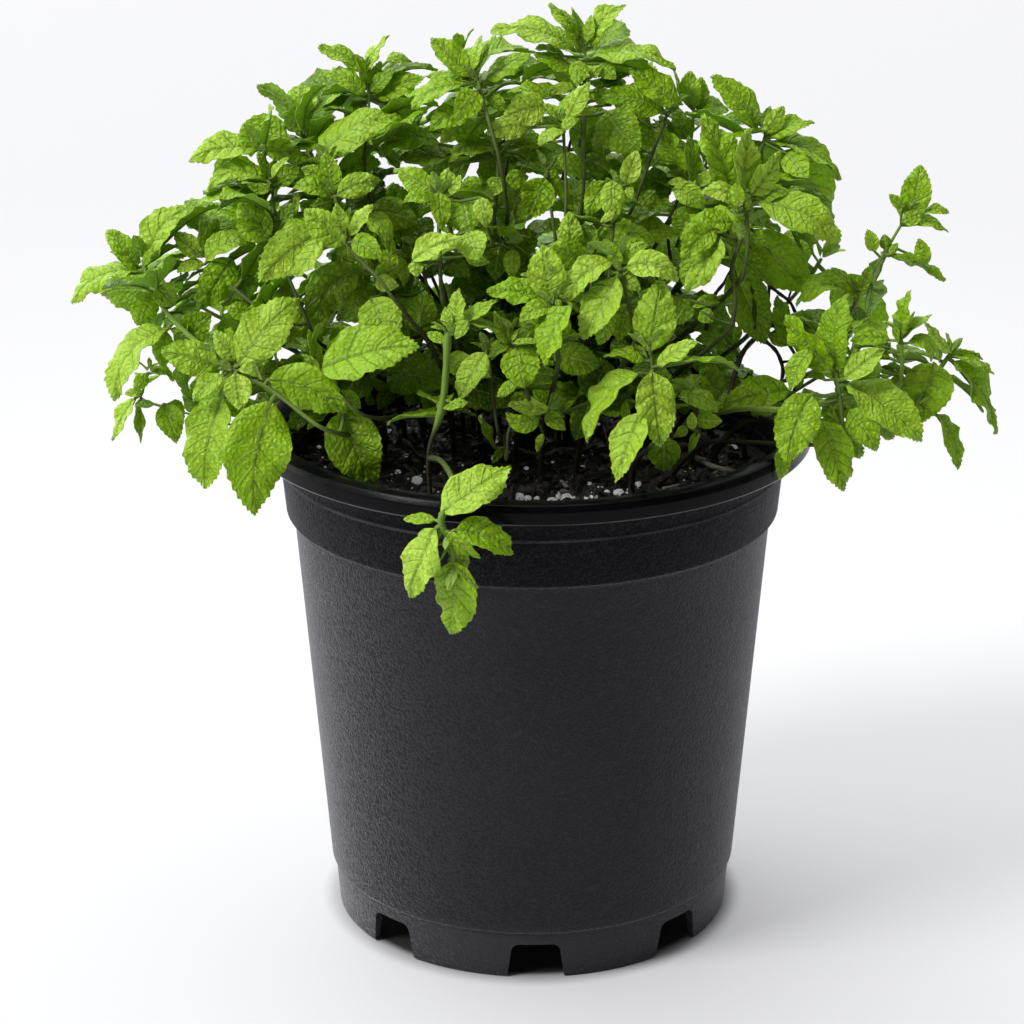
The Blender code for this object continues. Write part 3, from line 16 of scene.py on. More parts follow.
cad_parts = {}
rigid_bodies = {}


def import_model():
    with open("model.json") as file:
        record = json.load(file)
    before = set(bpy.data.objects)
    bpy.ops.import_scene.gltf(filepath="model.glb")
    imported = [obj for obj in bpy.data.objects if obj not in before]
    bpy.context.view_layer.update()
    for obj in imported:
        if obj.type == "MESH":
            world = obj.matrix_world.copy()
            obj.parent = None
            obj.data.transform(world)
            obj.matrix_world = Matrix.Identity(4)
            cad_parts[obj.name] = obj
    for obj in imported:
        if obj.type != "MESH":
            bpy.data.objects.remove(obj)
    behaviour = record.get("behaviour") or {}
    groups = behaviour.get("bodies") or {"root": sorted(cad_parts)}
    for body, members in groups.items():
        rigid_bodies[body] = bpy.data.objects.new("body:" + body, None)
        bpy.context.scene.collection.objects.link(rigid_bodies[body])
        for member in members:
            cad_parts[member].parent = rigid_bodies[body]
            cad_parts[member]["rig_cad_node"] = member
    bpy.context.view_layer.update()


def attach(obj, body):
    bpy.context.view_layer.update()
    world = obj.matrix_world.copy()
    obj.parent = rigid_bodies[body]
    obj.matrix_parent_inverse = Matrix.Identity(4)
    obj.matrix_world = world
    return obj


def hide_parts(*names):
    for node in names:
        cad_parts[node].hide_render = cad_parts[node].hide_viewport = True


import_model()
MM = 0.001
POT_SIDES = 48


# ---------------------------------------------------------------- camera first
def make_camera():
    data = bpy.data.cameras.new("camera")
    data.lens = 106.2
    data.sensor_width = 36.0
    data.shift_x = -0.0197
    data.clip_start, data.clip_end = 0.01, 30.0
    cam = bpy.data.objects.new("camera", data)
    bpy.context.scene.collection.objects.link(cam)
    cam.location = (0.0, -0.656, 0.327)
    cam.rotation_euler = (math.radians(90.0 - 19.45), 0.0, 0.0)
    bpy.context.scene.camera = cam


make_camera()


# Pot, in millimetres. The rim is a 127 mm (5 in) circle.
RIM_R = 63.5
POT_H = 118.9
FOOT_R = 46.1
WALL = 1.3
FLOOR_Z = 8.7
SOIL_TOP = 107.0
GAP = 0.3
NOTCHES = 8
# Outer skin from the foot up to the lip, then the mouth: radius, height.
OUTER = [(FOOT_R, 0.0), (46.9, 11.4), (47.7, 11.6), (54.6, 97.7), (56.3, 97.9), (57.6, 114.3), (RIM_R, 114.5), (RIM_R, 117.9), (62.7, POT_H), (58.9, POT_H), (58.3, 118.3)]
INNER = [(56.4, 114.0), (55.1, 98.6), (53.3, 97.2), (46.6, 12.4), (45.6, FLOOR_Z + WALL)]


def turned(profile, sides):
    """Vertices and faces of a closed turned solid; the profile runs from the axis round to the axis."""
    verts, faces = [], []
    rings = []
    for r, z in profile:
        if r == 0:
            rings.append([len(verts)])
            verts.append(Vector((0, 0, z)))
        else:
            rings.append(list(range(len(verts), len(verts) + sides)))
            for k in range(sides):
                turn = 2 * math.pi * k / sides
                verts.append(Vector((r * math.cos(turn), r * math.sin(turn), z)))
    for low, high in zip(rings, rings[1:]):
        for k in range(sides):
            j = (k + 1) % sides
            if len(low) == 1:
                faces.append((low[0], high[j], high[k]))
            elif len(high) == 1:
                faces.append((low[k], low[j], high[0]))
            else:
                faces.append((low[k], low[j], high[j], high[k]))
    return verts, faces


def pot_profile():
    """From the middle of the underside, out and up the skin, over the lip and down to the middle of the floor."""
    under = [(0, FLOOR_Z), (44.6, FLOOR_Z), (44.8, 0.0)]
    return under + OUTER + INNER + [(0, FLOOR_Z + WALL)]


def inner_radius(z):
    """Inner radius of the pot at a height."""
    wall = sorted((h, r) for r, h in INNER)
    if z <= wall[0][0]:
        return wall[0][1]
    for (z0, r0), (z1, r1) in zip(wall, wall[1:]):
        if z <= z1:
            return r0 + (r1 - r0) * (z - z0) / (z1 - z0)
    return wall[-1][1]


def soil_profile():
    low = FLOOR_Z + WALL + GAP
    rings = [(45.6 - 0.6, low), (46.6 - GAP, 12.6), (53.3 - GAP, 97.2 - 0.2), (55.1 - GAP - 0.1, 98.8)]
    top = (inner_radius(SOIL_TOP) - GAP, SOIL_TOP - 0.6)
    return [(0, low)] + rings + [top, (40.0, SOIL_TOP), (0, SOIL_TOP)]


# Elevation sheet of the plant. Each shoot: name, root on the soil (x, y in mm), depth shift of the
# whole shoot in mm (plus is further back), stem stations from low to high, stem radius low and top in mm,
# then its leaves. A leaf: base u, v, tip u, v, seen width (minus where the underside shows), then
# arch up the sheet, depth change from base to tip in mm, depth shift in mm, tone (-1 deep, +1 pale).
# A leaf's tone is partly its own colour and partly painted light and shade.
D = None
SHOOTS = [
 ("shoot_right_t", (36, -5), -4, [(800,408),(850,400),(882,394),(900,378),(903,350),(901,334)], 0.9, 0.5, [
  (901,336,907,289,12,0,3,0,0), (903,335,914,311,9,0,1,-1,.3), (903,337,932,314,10,2,1,0,0), (899,345,893,322,6,0,1,0,0),
  (890,340,850,339,18,2,0,2,.1), (907,343,932,363,14,13,-1,0,.1), (902,374,893,397,18,0,-1,3,-.5), (903,376,868,368,6,0,0,3,-.5)]),
 ("shoot_far_left", (-36, -2.6), 4, [(216,358),(190,338),(170,316),(152,288),(143,260)], 1.05, 0.55, [
  (138,268,108,228,25,0,D,0,.2), (147,264,187,205,32,9,3,0,.6), (140,272,69,302,17,11,D,0,.6), (145,266,153,246,8,0,2,-2,0),
  (158,286,175,306,26,0,D,-2,.5), (150,291,137,326,30,0,D,0,-.1), (167,329,115,401,28,16,-6,0,.5), (166,330,165,368,22,3,-3,1,.4),
  (186,336,210,313,34,0,-2,4,-.5), (180,332,170,329,8,0,D,2,-.3)]),
 ("shoot_left_b", (-34, 11.6), 12, [(262,311),(251,303),(231,286),(215,270),(204,254)], 0.95, 0.5, [
  (203,256,173,232,22,0,D,0,.6), (206,253,217,217,14,0,D,0,.1), (206,262,252,241,20,8,D,-2,.5),
  (233,258,198,310,36,0,-6,0,.3), (205,264,176,272,12,3,D,0,.5), (222,304,249,300,5,0,0,4,.2), (250,312,227,309,20,0,D,0,.4)]),
 ("shoot_left_c", (-30, 17.1), 6, [(309,326),(299,292),(284,258),(275,240),(275,215),(272,190),(266,165),(262,146)], 1.1, 0.5, [
  (258,150,188,161,27,7,D,0,.6), (254,147,244,122,22,0,D,0,.5), (264,150,303,154,23,2,D,0,.1),
  (267,183,207,189,17,14,D,0,.4), (270,184,247,182,12,-6,-3,-2,.1), (272,183,299,166,22,0,D,2,.2), (272,178,289,158,7,3,D,-3,.9),
  (267,178,258,151,11,0,2,0,0), (270,178,279,155,11,0,2,0,.1),
  (268,240,237,203,37,0,D,0,.2), (275,240,291,203,22,0,D,3,-.6), (293,222,298,192,8,0,3,4,.4), (300,304,287,343,24,0,-4,2,.3)]),
 ("shoot_left_d", (-22, 34.8), 20, [(322,186),(312,166),(306,150),(301,132)], 0.9, 0.6, [
  (298,134,256,86,-17,10,D,0,0), (304,133,325,82,-15,8,D,0,.1), (301,116,301,83,34,0,4,4,.7), (301,135,296,104,-30,0,-2,-3,-.2),
  (318,117,316,104,8,0,0,6,.2)]),
 ("shoot_left_e", (-19, 18.8), 6, [(340,215),(334,197),(331,182),(329,168)], 1.0, 0.55, [
  (331,197,292,186,20,5,D,0,0), (333,195,325,151,25,0,D,0,.1), (337,196,381,181,26,4,D,-2,.6), (327,189,301,168,22,4,D,1,.5),
  (337,176,381,164,27,6,4,8,-.4), (318,160,403,118,35,13,4,6,.4), (334,200,312,206,14,0,D,4,-.4), (369,212,418,224,34,4,D,9,-.6), (368,214,391,250,22,4,-4,4,.2)]),
 ("shoot_top_left", (-15, 37.9), 14, [(365,153),(368,118),(369,97),(366,74)], 0.95, 0.5, [
  (367,72,388,34,12,2,D,0,.7), (361,70,318,47,15,4,D,0,.2), (365,95,323,71,18,5,D,-1,.4), (370,92,394,67,17,0,D,0,-.3),
  (386,62,413,62,10,5,4,6,.3), (371,94,380,61,16,0,3,2,-.4), (376,99,425,77,27,3,D,2,-.1), (365,86,357,55,11,0,D,0,.3)]),
 ("shoot_mid_left", (-18, 3.7), -2, [(378,278),(371,268),(360,260),(348,247),(345,236)], 1.0, 0.55, [
  (345,245,304,209,34,0,D,0,.5), (343,232,336,203,18,0,D,-2,.8), (349,236,373,204,16,2,D,-1,.8), (351,242,381,259,25,4,-3,-2,-.2),
  (325,232,259,282,46,6,D,2,.6), (320,236,294,277,19,-3,-3,0,.6)]),
 ("shoot_left_dark", (-16, 17.4), 16, [(392,300),(380,285),(374,277),(370,266)], 1.05, 0.6, [
  (362,270,318,331,44,16,-5,0,-.6), (372,275,340,256,20,3,D,3,-.8), (375,279,399,263,20,0,D,-2,.3), (375,281,399,286,18,0,-3,-3,.4),
  (385,268,392,247,21,0,2,3,-.3), (371,298,393,346,44,0,-8,-6,.5)]),
 ("shoot_low_left_leaf", (-24, -0.6), 2, [(345,400),(322,372),(310,352)], 0.9, 0.6, [
  (322,370,419,346,50,6,-6,-2,.4), (317,368,309,329,13,0,D,2,-.3), (320,372,301,356,8,3,D,0,.5), (330,372,340,331,16,0,3,6,-.7),
  (338,393,361,408,20,0,-2,4,-.1)]),
 ("shoot_low_left", (-36, -16), -4, [(310,420),(285,400),(262,384),(237,372),(228,360)], 1.15, 0.6, [
  (238,366,299,297,48,4,D,0,.5), (235,361,214,330,21,0,D,0,.6), (268,380,345,415,44,9,-4,0,.1), (224,396,205,489,44,6,-6,0,.5),
  (272,400,256,516,68,8,-9,0,-.1), (218,368,161,352,37,3,D,0,.3), (236,373,241,411,29,0,-5,-3,.7), (224,375,193,401,18,3,D,-2,.4),
  (238,370,263,376,10,2,D,-2,.3), (262,378,284,398,16,0,-3,3,-.3), (345,408,377,485,58,-6,-3,4,-.5)]),
 ("shoot_low_dark", (-34, 4.8), 22, [(352,418),(346,408),(338,400)], 0.9, 0.6, [
  (330,411,308,430,12,3,D,0,.2), (392,387,378,409,18,0,-2,4,-.6)]),
 ("shoot_far_left_low", (-42, -8.9), 8, [(228,424),(193,413),(162,405),(147,401),(143,388),(149,372)], 0.6, 0.35, [
  (150,373,175,381,10,6,0,0,.4), (147,373,134,391,15,0,D,0,.1), (143,392,124,393,10,0,D,0,.6), (135,398,114,441,15,2,D,0,.6),
  (137,404,142,443,13,0,D,0,.2), (164,404,178,443,28,0,-4,-2,-.2), (166,404,184,420,24,0,D,1,-.3)]),
 ("shoot_front_spill", (-23, -43), 0, [(430,495,-44),(427,474,-44.5),(428,458,-45),(431,440,-45),(438,423,-45),(443,402,-45),(446,366,-44),(448,332,-43)], 1.1, 0.95, [
  (456,330,458,288,19,0,3,0,.6), (449,328,444,306,12,0,2,0,.5), (445,328,431,326,5,0,0,0,.4), (468,320,455,339,12,0,D,-2,.5),
  (468,321,497,298,15,0,4,0,.4), (470,322,501,332,9,2,0,1,.3), (468,402,443,408,11,0,D,-3,.2), (440,414,387,417,6,0,3,2,-.5),
  (446,343,427,332,11,0,2,2,.3),
  [(429,458,-46),(441,461,-48),(451,474,-52),(452,491,-58),(447,507,-67),(440,519,-70),(446,531,-71),(452,547,-71),(453,562,-71)],
  (440,514,510,463,39,0,8,0,.6), (434,514,399,506,19,0,1,0,.1), (436,520,403,517,12,0,1,2,.4), (436,528,404,599,35,0,2,0,.6),
  (455,530,516,552,32,4,2,0,-.1), (453,560,445,636,46,-6,3,0,.2), (447,532,479,560,15,0,0,-2,.2), (449,531,465,552,18,0,1,-1,0),
  (455,548,463,575,22,0,1,1,-.6), (436,545,432,577,9,0,1,1,.5)]),
 ("shoot_mid_low", (-9, 4.8), 20, [(496,420),(491,395),(493,376),(488,352)], 0.8, 0.6, [
  (486,352,456,401,28,0,-4,-5,.6), (488,350,500,340,8,0,2,0,.2), (493,378,472,380,5,4,0,0,.2), (492,378,471,372,7,0,0,3,.1)]),
 ("shoot_front_low", (-6, -0.9), 14, [(510,440),(512,425),(535,418),(548,412)], 0.75, 0.55, [
  (549,411,508,407,16,3,D,-3,.8), (540,417,506,412,20,-9,D,-1,.3), (545,413,566,430,17,0,-2,0,-.1), (543,433,536,452,9,0,-1,3,-.1),
  (496,448,483,414,9,-3,1,0,.3), (590,402,576,440,28,0,-3,8,-.6), (550,414,566,398,16,0,2,6,-.5)]),
 ("shoot_centre", (2, -12), -3, [(556,330),(554,312),(552,299),(550,288)], 1.1, 0.6, [
  (551,299,541,243,39,0,4,0,.5), (546,298,486,290,25,2,D,2,-.1), (557,299,561,310,7,0,-1,-2,.3),
  (553,308,519,322,19,5,D,-1,0), (572,305,542,366,27,4,-5,-3,0), (557,314,535,341,24,0,-3,0,-.3), (567,298,571,290,6,0,0,0,0)]),
 ("shoot_centre_low", (-4, -4.6), 4, [(520,372),(515,358),(512,345),(511,334)], 1.0, 0.55, [
  (510,345,494,311,19,0,3,0,.4), (513,343,541,342,8,0,D,-3,.7), (512,341,518,329,5,0,1,-2,.5), (511,341,509,327,5,0,1,-1,.5),
  (517,347,524,388,40,0,-5,-1,-.1), (517,380,497,397,12,0,-2,2,.3), (509,346,487,356,10,0,0,-1,.1), (515,344,531,325,12,0,2,2,.2), (552,352,600,366,34,0,0,8,-.5), (530,372,560,376,18,0,-2,9,-.6)]),
 ("shoot_centre_right", (10, -10), -4, [(630,310),(624,288),(620,272),(618,262)], 1.05, 0.55, [
  (618,267,611,242,15,0,D,0,.3), (621,265,648,244,17,4,3,2,.1), (626,268,680,281,29,10,-2,-2,.6), (617,276,583,340,36,0,-6,-2,.6),
  (613,262,566,302,26,9,-4,-1,.5), (623,277,641,290,15,0,-2,1,.3), (612,311,598,345,19,0,-3,6,.1), (629,303,617,341,25,0,-3,10,-.3),
  (643,300,634,286,5,0,1,2,.2)]),
 ("shoot_front_right", (22, -22.9), -2, [(656,420),(654,392),(652,366),(651,352)], 1.2, 0.6, [
  (650,352,661,278,44,0,5,0,.5), (645,361,603,353,14,2,D,0,.1), (657,366,698,341,18,2,D,-2,.7), (652,371,660,447,41,0,-6,-3,.6),
  (639,373,581,441,22,8,-3,-1,.5), (641,412,615,483,36,0,-7,-2,.6), (626,400,625,423,9,0,-1,2,.4), (664,436,664,472,34,0,-2,14,-.6)]),
 ("shoot_right_low_a", (27, -8.9), 12, [(698,425),(697,405),(692,392)], 0.85, 0.55, [
  (678,396,720,411,19,6,-2,-1,.1), (695,420,722,421,17,0,-2,0,-.3), (692,430,692,412,11,0,0,-3,.4), (699,431,689,452,9,0,-2,0,.1),
  (688,427,674,437,11,0,-1,1,0), (672,388,722,392,16,4,3,8,-.5), (698,412,724,402,12,0,2,4,-.2)]),
 ("shoot_top_mid", (-8, 29.7), 4, [(489,122),(487,116),(483,97),(477,78)], 1.0, 0.55, [
  (472,77,431,37,27,0,D,0,.3), (473,70,481,35,12,0,D,-1,.6), (476,74,496,36,14,0,D,0,0), (487,80,531,54,19,2,D,1,.1),
  (462,85,410,108,20,6,-3,-2,.1), (468,79,425,75,11,3,D,2,0), (475,112,428,130,28,6,-3,2,-.1), (477,90,456,120,28,0,-4,-3,0),
  (487,92,506,111,15,0,-2,2,-.5), (485,85,500,74,12,0,2,3,-.2), (466,120,440,143,20,0,-3,5,-.2)]),
 ("shoot_upper_pale", (-6, 30.2), 16, [(498,175),(500,160),(497,148),(505,140)], 0.9, 0.6, [
  (497,148,447,161,18,9,-3,0,.6), (440,144,379,157,19,13,-2,2,0), (449,154,412,152,14,2,0,4,-.6), (449,161,396,158,16,3,D,3,-.2), (505,180,529,177,19,0,1,0,.3), (500,178,488,196,19,0,-2,-2,.5), (483,184,461,187,13,3,0,-4,.3)]),
 ("shoot_crown", (6, 30.8), 10, [(584,150),(583,115),(583,80),(583,58),(585,44)], 1.15, 0.6, [
  (578,51,549,3,18,6,D,0,.3), (591,47,625,1,21,6,D,0,.5), (581,36,572,7,10,0,3,1,.1), (587,42,590,14,12,0,2,-1,.2),
  (575,50,490,29,24,9,D,0,.5), (592,58,678,66,20,9,D,0,.4), (572,72,534,55,14,3,D,0,0), (580,60,577,86,21,0,-5,-2,.2),
  (565,56,535,47,7,2,0,-1,.3), (600,63,616,79,19,0,-3,0,.4), (577,84,552,73,11,3,D,0,.2), (590,78,602,66,9,0,1,0,.4), (560,95,507,91,17,3,2,6,-.1), (575,89,547,94,12,3,0,0,.4), (611,105,595,88,19,0,2,4,-.3), (606,111,641,150,46,-3,-4,-2,-.5), (604,158,602,125,22,0,3,6,-.8), (580,158,611,173,18,3,0,3,-.7)]),
 ("shoot_upper_mid", (4, 20.8), 6, [(566,190),(566,160),(563,134),(563,122)], 0.95, 0.5, [
  (568,119,588,80,21,0,D,-1,.7), (563,123,573,87,15,0,3,0,.1), (560,122,543,104,11,3,D,1,.4), (565,131,538,145,10,4,-3,-2,.5),
  (562,130,580,118,11,2,D,-2,.6), (561,128,541,140,16,0,-3,0,-.5), (578,112,596,108,10,0,0,3,0), (528,128,487,134,26,4,-3,2,.8), (546,107,504,118,35,3,-3,4,.8), (545,141,519,149,26,0,0,10,-.8)]),
 ("shoot_upper_right", (10, 32.2), 14, [(650,160),(656,140),(662,122),(668,112)], 1.0, 0.6, [
  (664,112,600,98,32,6,D,0,-.5), (678,107,629,71,30,3,D,-1,.1), (651,128,622,106,10,3,-1,2,.6),
  (648,124,620,112,13,0,-1,4,-.4)]),
 ("shoot_right_top", (16, 33.6), 20, [(690,150),(692,128),(694,108)], 0.9, 0.55, [
  (690,106,690,70,24,0,3,0,.2), (699,112,701,77,19,0,3,2,-.3), (681,96,675,68,7,0,2,0,.6), (702,116,713,104,8,0,0,1,0),
  (688,140,676,111,24,0,3,0,-.2)]),
 ("shoot_right_fern", (14, 25.6), 20, [(700,215),(693,198),(690,184),(688,172)], 0.95, 0.55, [
  (686,182,652,121,24,0,4,0,.2), (676,152,660,116,22,0,3,5,-.6), (690,184,692,134,17,0,4,-1,.1), (697,186,717,168,13,0,1,0,.2),
  (688,187,667,183,10,3,0,-3,.6), (668,178,640,194,34,0,-3,6,-.7), (655,192,650,211,12,0,-2,2,.2), (672,190,703,210,24,6,-3,-4,.5), (697,208,677,238,34,0,-2,-1,-.7)]),
 ("shoot_mid_drop", (-2, 21.9), 16, [(552,215),(548,196),(545,180),(546,168)], 0.9, 0.6, [
  (545,178,527,219,36,0,-5,-1,-.1), (549,168,556,199,18,0,-3,0,-.1), (557,156,581,178,21,4,-3,-2,.3)]),
 ("shoot_mid_bright", (8, 10.8), 6, [(612,240),(612,220),(616,198),(618,186)], 0.95, 0.55, [
  (606,181,586,215,25,0,-4,0,.3), (613,180,612,222,25,0,-5,-1,.3), (626,185,637,150,21,0,D,-2,.7), (628,187,632,199,10,0,-2,-2,.2),
  (615,212,600,222,9,0,-1,-3,.6), (640,205,655,190,14,0,2,8,-.8), (610,215,640,222,16,0,2,11,-.8)]),
 ("shoot_mid_arch", (6, 6.8), 10, [(592,275),(592,258),(592,246)], 0.9, 0.6, [
  (573,258,568,211,27,0,4,0,.2), (584,261,552,245,30,0,-3,-2,.3), (594,250,583,224,21,0,2,-1,.1), (593,245,648,227,14,5,3,2,.1),
  (600,246,656,239,18,7,1,0,-.3), (600,252,622,248,9,0,0,-1,.2)]),
 ("shoot_mid_rosette", (-12, 11.1), 2, [(440,262),(440,235),(440,212),(438,192)], 1.05, 0.6, [
  (432,190,397,170,27,0,3,0,.3), (446,190,449,167,17,0,3,0,.5), (434,201,403,200,14,4,D,0,.1), (439,192,442,230,22,0,-5,-2,.1),
  (450,196,461,175,9,0,1,-1,.7), (463,198,470,231,43,0,-6,0,-.4), (480,197,487,227,20,0,-4,-3,.5), (468,231,478,260,32,0,-5,-4,.5),
  (412,262,463,240,25,5,D,-4,.8), (415,261,417,277,16,0,-2,-5,.4), (465,256,490,263,15,0,-1,2,-.5)]),
 ("shoot_mid_dark", (-14, 25.9), 27.6, [(430,300),(425,275),(420,255)], 0.9, 0.6, [
  (418,334,425,290,35,0,3,-6,-.6), (395,296,411,340,24,0,-3,-4,-.6), (416,330,418,306,4,0,1,-10,.4), (420,262,405,236,22,0,2,0,-.7),
  (445,258,470,276,20,0,-2,2,-.6), (500,241,494,280,28,0,-3,2,-.7), (486,227,530,240,11,2,-1,0,.1), (513,248,511.5,279,16.4,0,-3.6,-2,0),
  (401,256,405,287,11,0,-2,-9,.3), [(426,278,-4),(450,262,-3),(478,250,-2),(505,243,-1)]]),
 ("shoot_right_n", (24, 28.2), 12, [(752,170),(758,154),(765,138),(764,128)], 1.05, 0.55, [
  (757,130,710,78,30,7,D,0,-.1), (766,134,784,106,20,0,D,-1,.6), (770,137,815,120,19,3,D,0,.1), (775,143,842,179,17,8,-2,0,0),
  (787,153,808,178,27,0,-4,-2,.1), (757,129,719,116,9,3,0,2,-.6)]),
 ("shoot_right_o", (22, 13.1), 2, [(748,235),(747,220),(745,206),(744,194)], 1.15, 0.6, [
  (739,195,748,128,23,0,5,-2,.6), (734,198,704,113,41,0,5,0,.2), (751,195,783,152,25,0,2,-1,.6), (757,203,844,239,34,8,-4,0,.4),
  (788,190,806,188,7,0,1,3,-.7), (754,200,790,190,16,2,0,1,-.3), (738,208,735,182,17,0,2,-3,-.1), (738,213,700,192,20,12,-2,-2,.8),
  (746,210,751,200,5,0,0,-3,.6), (741,210,738,201,5,0,0,-3,.6)]),
 ("shoot_right_p", (24, 7.6), 8, [(735,292),(732,266),(742,245),(747,226)], 1.0, 0.6, [
  (721,238,684,291,25,-3,-5,-2,.6), (745,222,731,258,21,0,-4,-2,.7), (734,223,679,239,27,5,-3,1,0), (716,229,682,260,28,4,-4,0,.1),
  (706,251,683,286,20,4,-3,3,-.2), (744,220,733,226,12,0,-1,-4,.6), (722,301,692,306,12,2,-1,6,.2), (700,311,713,322,17,0,-2,6,-.2), (690,300,672,325,24,0,-2,9,-.6)]),
 ("shoot_right_dark", (30, 14.2), 18, [(754,300),(748,268),(748,245),(750,230)], 1.05, 0.7, [
  (751,229,813,292,50,-3,-4,0,-.3), (734,268,765,344,44,0,-5,0,-.6), (737,251,766,281,27,0,-3,-2,-.2), (727,345,695,339,16,3,-1,0,-.1)]),
 ("shoot_right_u", (32, -12), -4, [(842,420),(839,398),(838,380),(836,366)], 1.2, 0.65, [
  (836,372,843,291,36,6,6,0,-.4), (832,370,783,317,29,0,2,0,.1), (844,379,884,347,26,0,D,-2,.7),
  (845,384,923,441,41,6,-5,0,.5), (812,350,790,391,22,3,-3,0,.3), (812,394,787,463,45,4,-7,-2,.2), (784,446,781,480,18,0,-3,0,-.1),
  (822,420,846,491,38,0,-6,-1,.1), (848,410,877,452,31,3,-4,1,-.2), (850,402,822,425,17,0,-3,1,-.3), (838,392,822,418,14,0,-2,4,-.8),
  (826,380,806,376,7,3,0,0,.2)]),
 ("shoot_right_s", (36, 8.8), 8, [(838,345),(846,323),(857,300),(870,280),(885,255),(892,237),(904,220)], 1.0, 0.6, [
  (912,219,921,164,32,0,4,0,-.1), (904,208,889,194,12,0,0,-1,0), (924,212,950,212,10,2,0,0,.1), (913,224,949,232,10,5,0,-1,.1),
  (902,222,925,212,16,0,0,-2,.3), (875,252,868,229,15,0,1,0,.3), (887,250,884,234,13,0,1,0,-.6), (889,256,943,283,8,9,0,0,.1),
  (926,266,919,238,17,0,1,-1,.1), (889,255,898,243,8,0,0,-1,.3), (856,298,794,305,24,16,-3,0,-.2), (858,298,871,266,14,0,2,0,.4),
  (848,282,831,267,11,0,1,-3,.2), (849,322,845,332,8,0,0,-2,.3), (848,332,870,315,7,0,2,0,0)]),
 ("shoot_right_edge", (42, 0.5), 0, [(912,408),(930,380),(944,362),(950,354)], 0.95, 0.6, [
  (952,353,926,321,11,-3,1,0,.7), (952,354,948,340,10,0,0,2,-.1), (953,356,995,374,11,5,D,0,.1), (953,361,996,434,18,6,-3,0,-.1),
  (934,363,920,423,53,0,-6,-2,.1), (936,414,959,470,15,5,-3,2,-.1)]),
 ("shoot_right_inner", (34, 18.5), 22, [(792,400),(797,360),(783,340),(770,320)], 1.0, 0.6, [
  (790,391,722,405,31,2,-3,-6,-.1), (779,402,757,414,14,0,-2,-4,-.3), (735,378,748,400,18,0,-2,0,-.3), (786,345,777,295,21,0,3,-3,-.4), (768,335,791,345,13,0,-1,-2,.1)]),
]
# Coarse outline of the whole plant on the sheet, and the openings through which one sees past it.
OUTLINE = [(84,300),(110,262),(112,236),(140,216),(180,208),(205,180),(196,162),(212,144),(246,128),(272,118),(264,92),(300,88),(322,92),
 (330,60),(356,58),(380,44),(412,66),(436,72),(438,44),(470,50),(492,44),(520,44),(560,40),(560,14),(584,20),(612,10),(640,46),(672,62),
 (700,84),(722,84),(752,108),(790,112),(808,124),(836,178),(836,234),(808,250),(812,292),(792,300),(810,330),(846,300),(880,256),(900,230),(924,232),
 (880,300),(866,330),(900,352),(952,352),(986,372),(990,424),(950,380),(940,410),(910,436),(872,440),(846,484),(812,452),(790,470),(776,420),
 (745,408),(700,420),(640,420),(560,420),(440,410),(380,400),(330,410),(282,470),(256,508),(232,450),(204,480),(192,430),(176,380),(122,390),(120,350),(150,330),(126,310),(130,285)]
WINDOWS = [(338,284,360,332),(428,268,452,302),(326,240,342,262),(293,262,312,280),(560,136,604,160),(644,180,668,206),(750,334,800,392),
 (700,262,732,296),(716,324,752,352),(400,196,418,220),(424,162,446,172),(450,152,500,178),(528,158,548,176),(618,112,652,142),(655,238,680,258),
 (540,200,562,236),(752,148,770,164),(764,276,800,320),(204,306,232,326),(208,342,220,352),(145,352,165,372),(276,340,304,364),(812,406,834,418),
 (885,380,905,400),(680,96,704,112),(300,330,330,346),(388,188,404,204),(575,120,586,132),(232,402,246,424),(800,364,832,396)]


# Perlite grains in view, on the sheet, with their half size, and the pale runner that lies on the mix.
GRAINS = [(567, 495, 1.5), (417, 478, 1.4), (619, 492, 1.3)]
RUNNER = [(683, 456), (695, 460), (712, 468), (735, 473)]
# How many more leaves are grown on bare lengths of stem.
FILL_LEAVES = 255


# ---------------------------------------------------------------- the elevation sheet
# The plant is laid out on an elevation sheet in one-point perspective: the station is in front of
# the pot and above it, looking down a little. u runs right and v runs down the sheet. A point on
# the sheet and a depth y give a place in space, in millimetres.
STATION_Y, STATION_Z = -656.0, 327.0
PITCH = math.radians(19.45)
COS_P, SIN_P = math.cos(PITCH), math.sin(PITCH)
SHEET_SCALE, SHEET_U, SHEET_V = 3021.0, 532.2, 512.0


def spot(u, v, y):
    """The point at depth y that lies at (u, v) on the sheet."""
    rise = (SHEET_V - v) / SHEET_SCALE
    reach = (y - STATION_Y) / (COS_P + rise * SIN_P)
    return Vector((reach * (u - SHEET_U) / SHEET_SCALE, y, STATION_Z + reach * (rise * COS_P - SIN_P)))


def on_level(u, v, z):
    """The point at height z that lies at (u, v) on the sheet."""
    rise = (SHEET_V - v) / SHEET_SCALE
    reach = (z - STATION_Z) / (rise * COS_P - SIN_P)
    return Vector((reach * (u - SHEET_U) / SHEET_SCALE, STATION_Y + reach * (COS_P + rise * SIN_P), z))


def on_sheet(p):
    """Where a point lies on the sheet, and its distance along the line of sight."""
    deep = (p.y - STATION_Y) * COS_P - (p.z - STATION_Z) * SIN_P
    rise = (p.y - STATION_Y) * SIN_P + (p.z - STATION_Z) * COS_P
    return SHEET_U + SHEET_SCALE * p.x / deep, SHEET_V - SHEET_SCALE * rise / deep, deep


def dome_depth(u, v):
    """Depth of the near side of the plant's dome at a place on the sheet."""
    return 14.0 - 78.0 * (max(v, 0.0) / 500.0) ** 0.8 * max(0.05, 1.0 - ((u - 532.0) / 470.0) ** 2) ** 0.75


def in_polygon(u, v, corners):
    inside = False
    for i, (u1, v1) in enumerate(corners):
        u0, v0 = corners[i - 1]
        if (v0 > v) != (v1 > v) and u < (u1 - u0) * (v - v0) / (v1 - v0) + u0:
            inside = not inside
    return inside


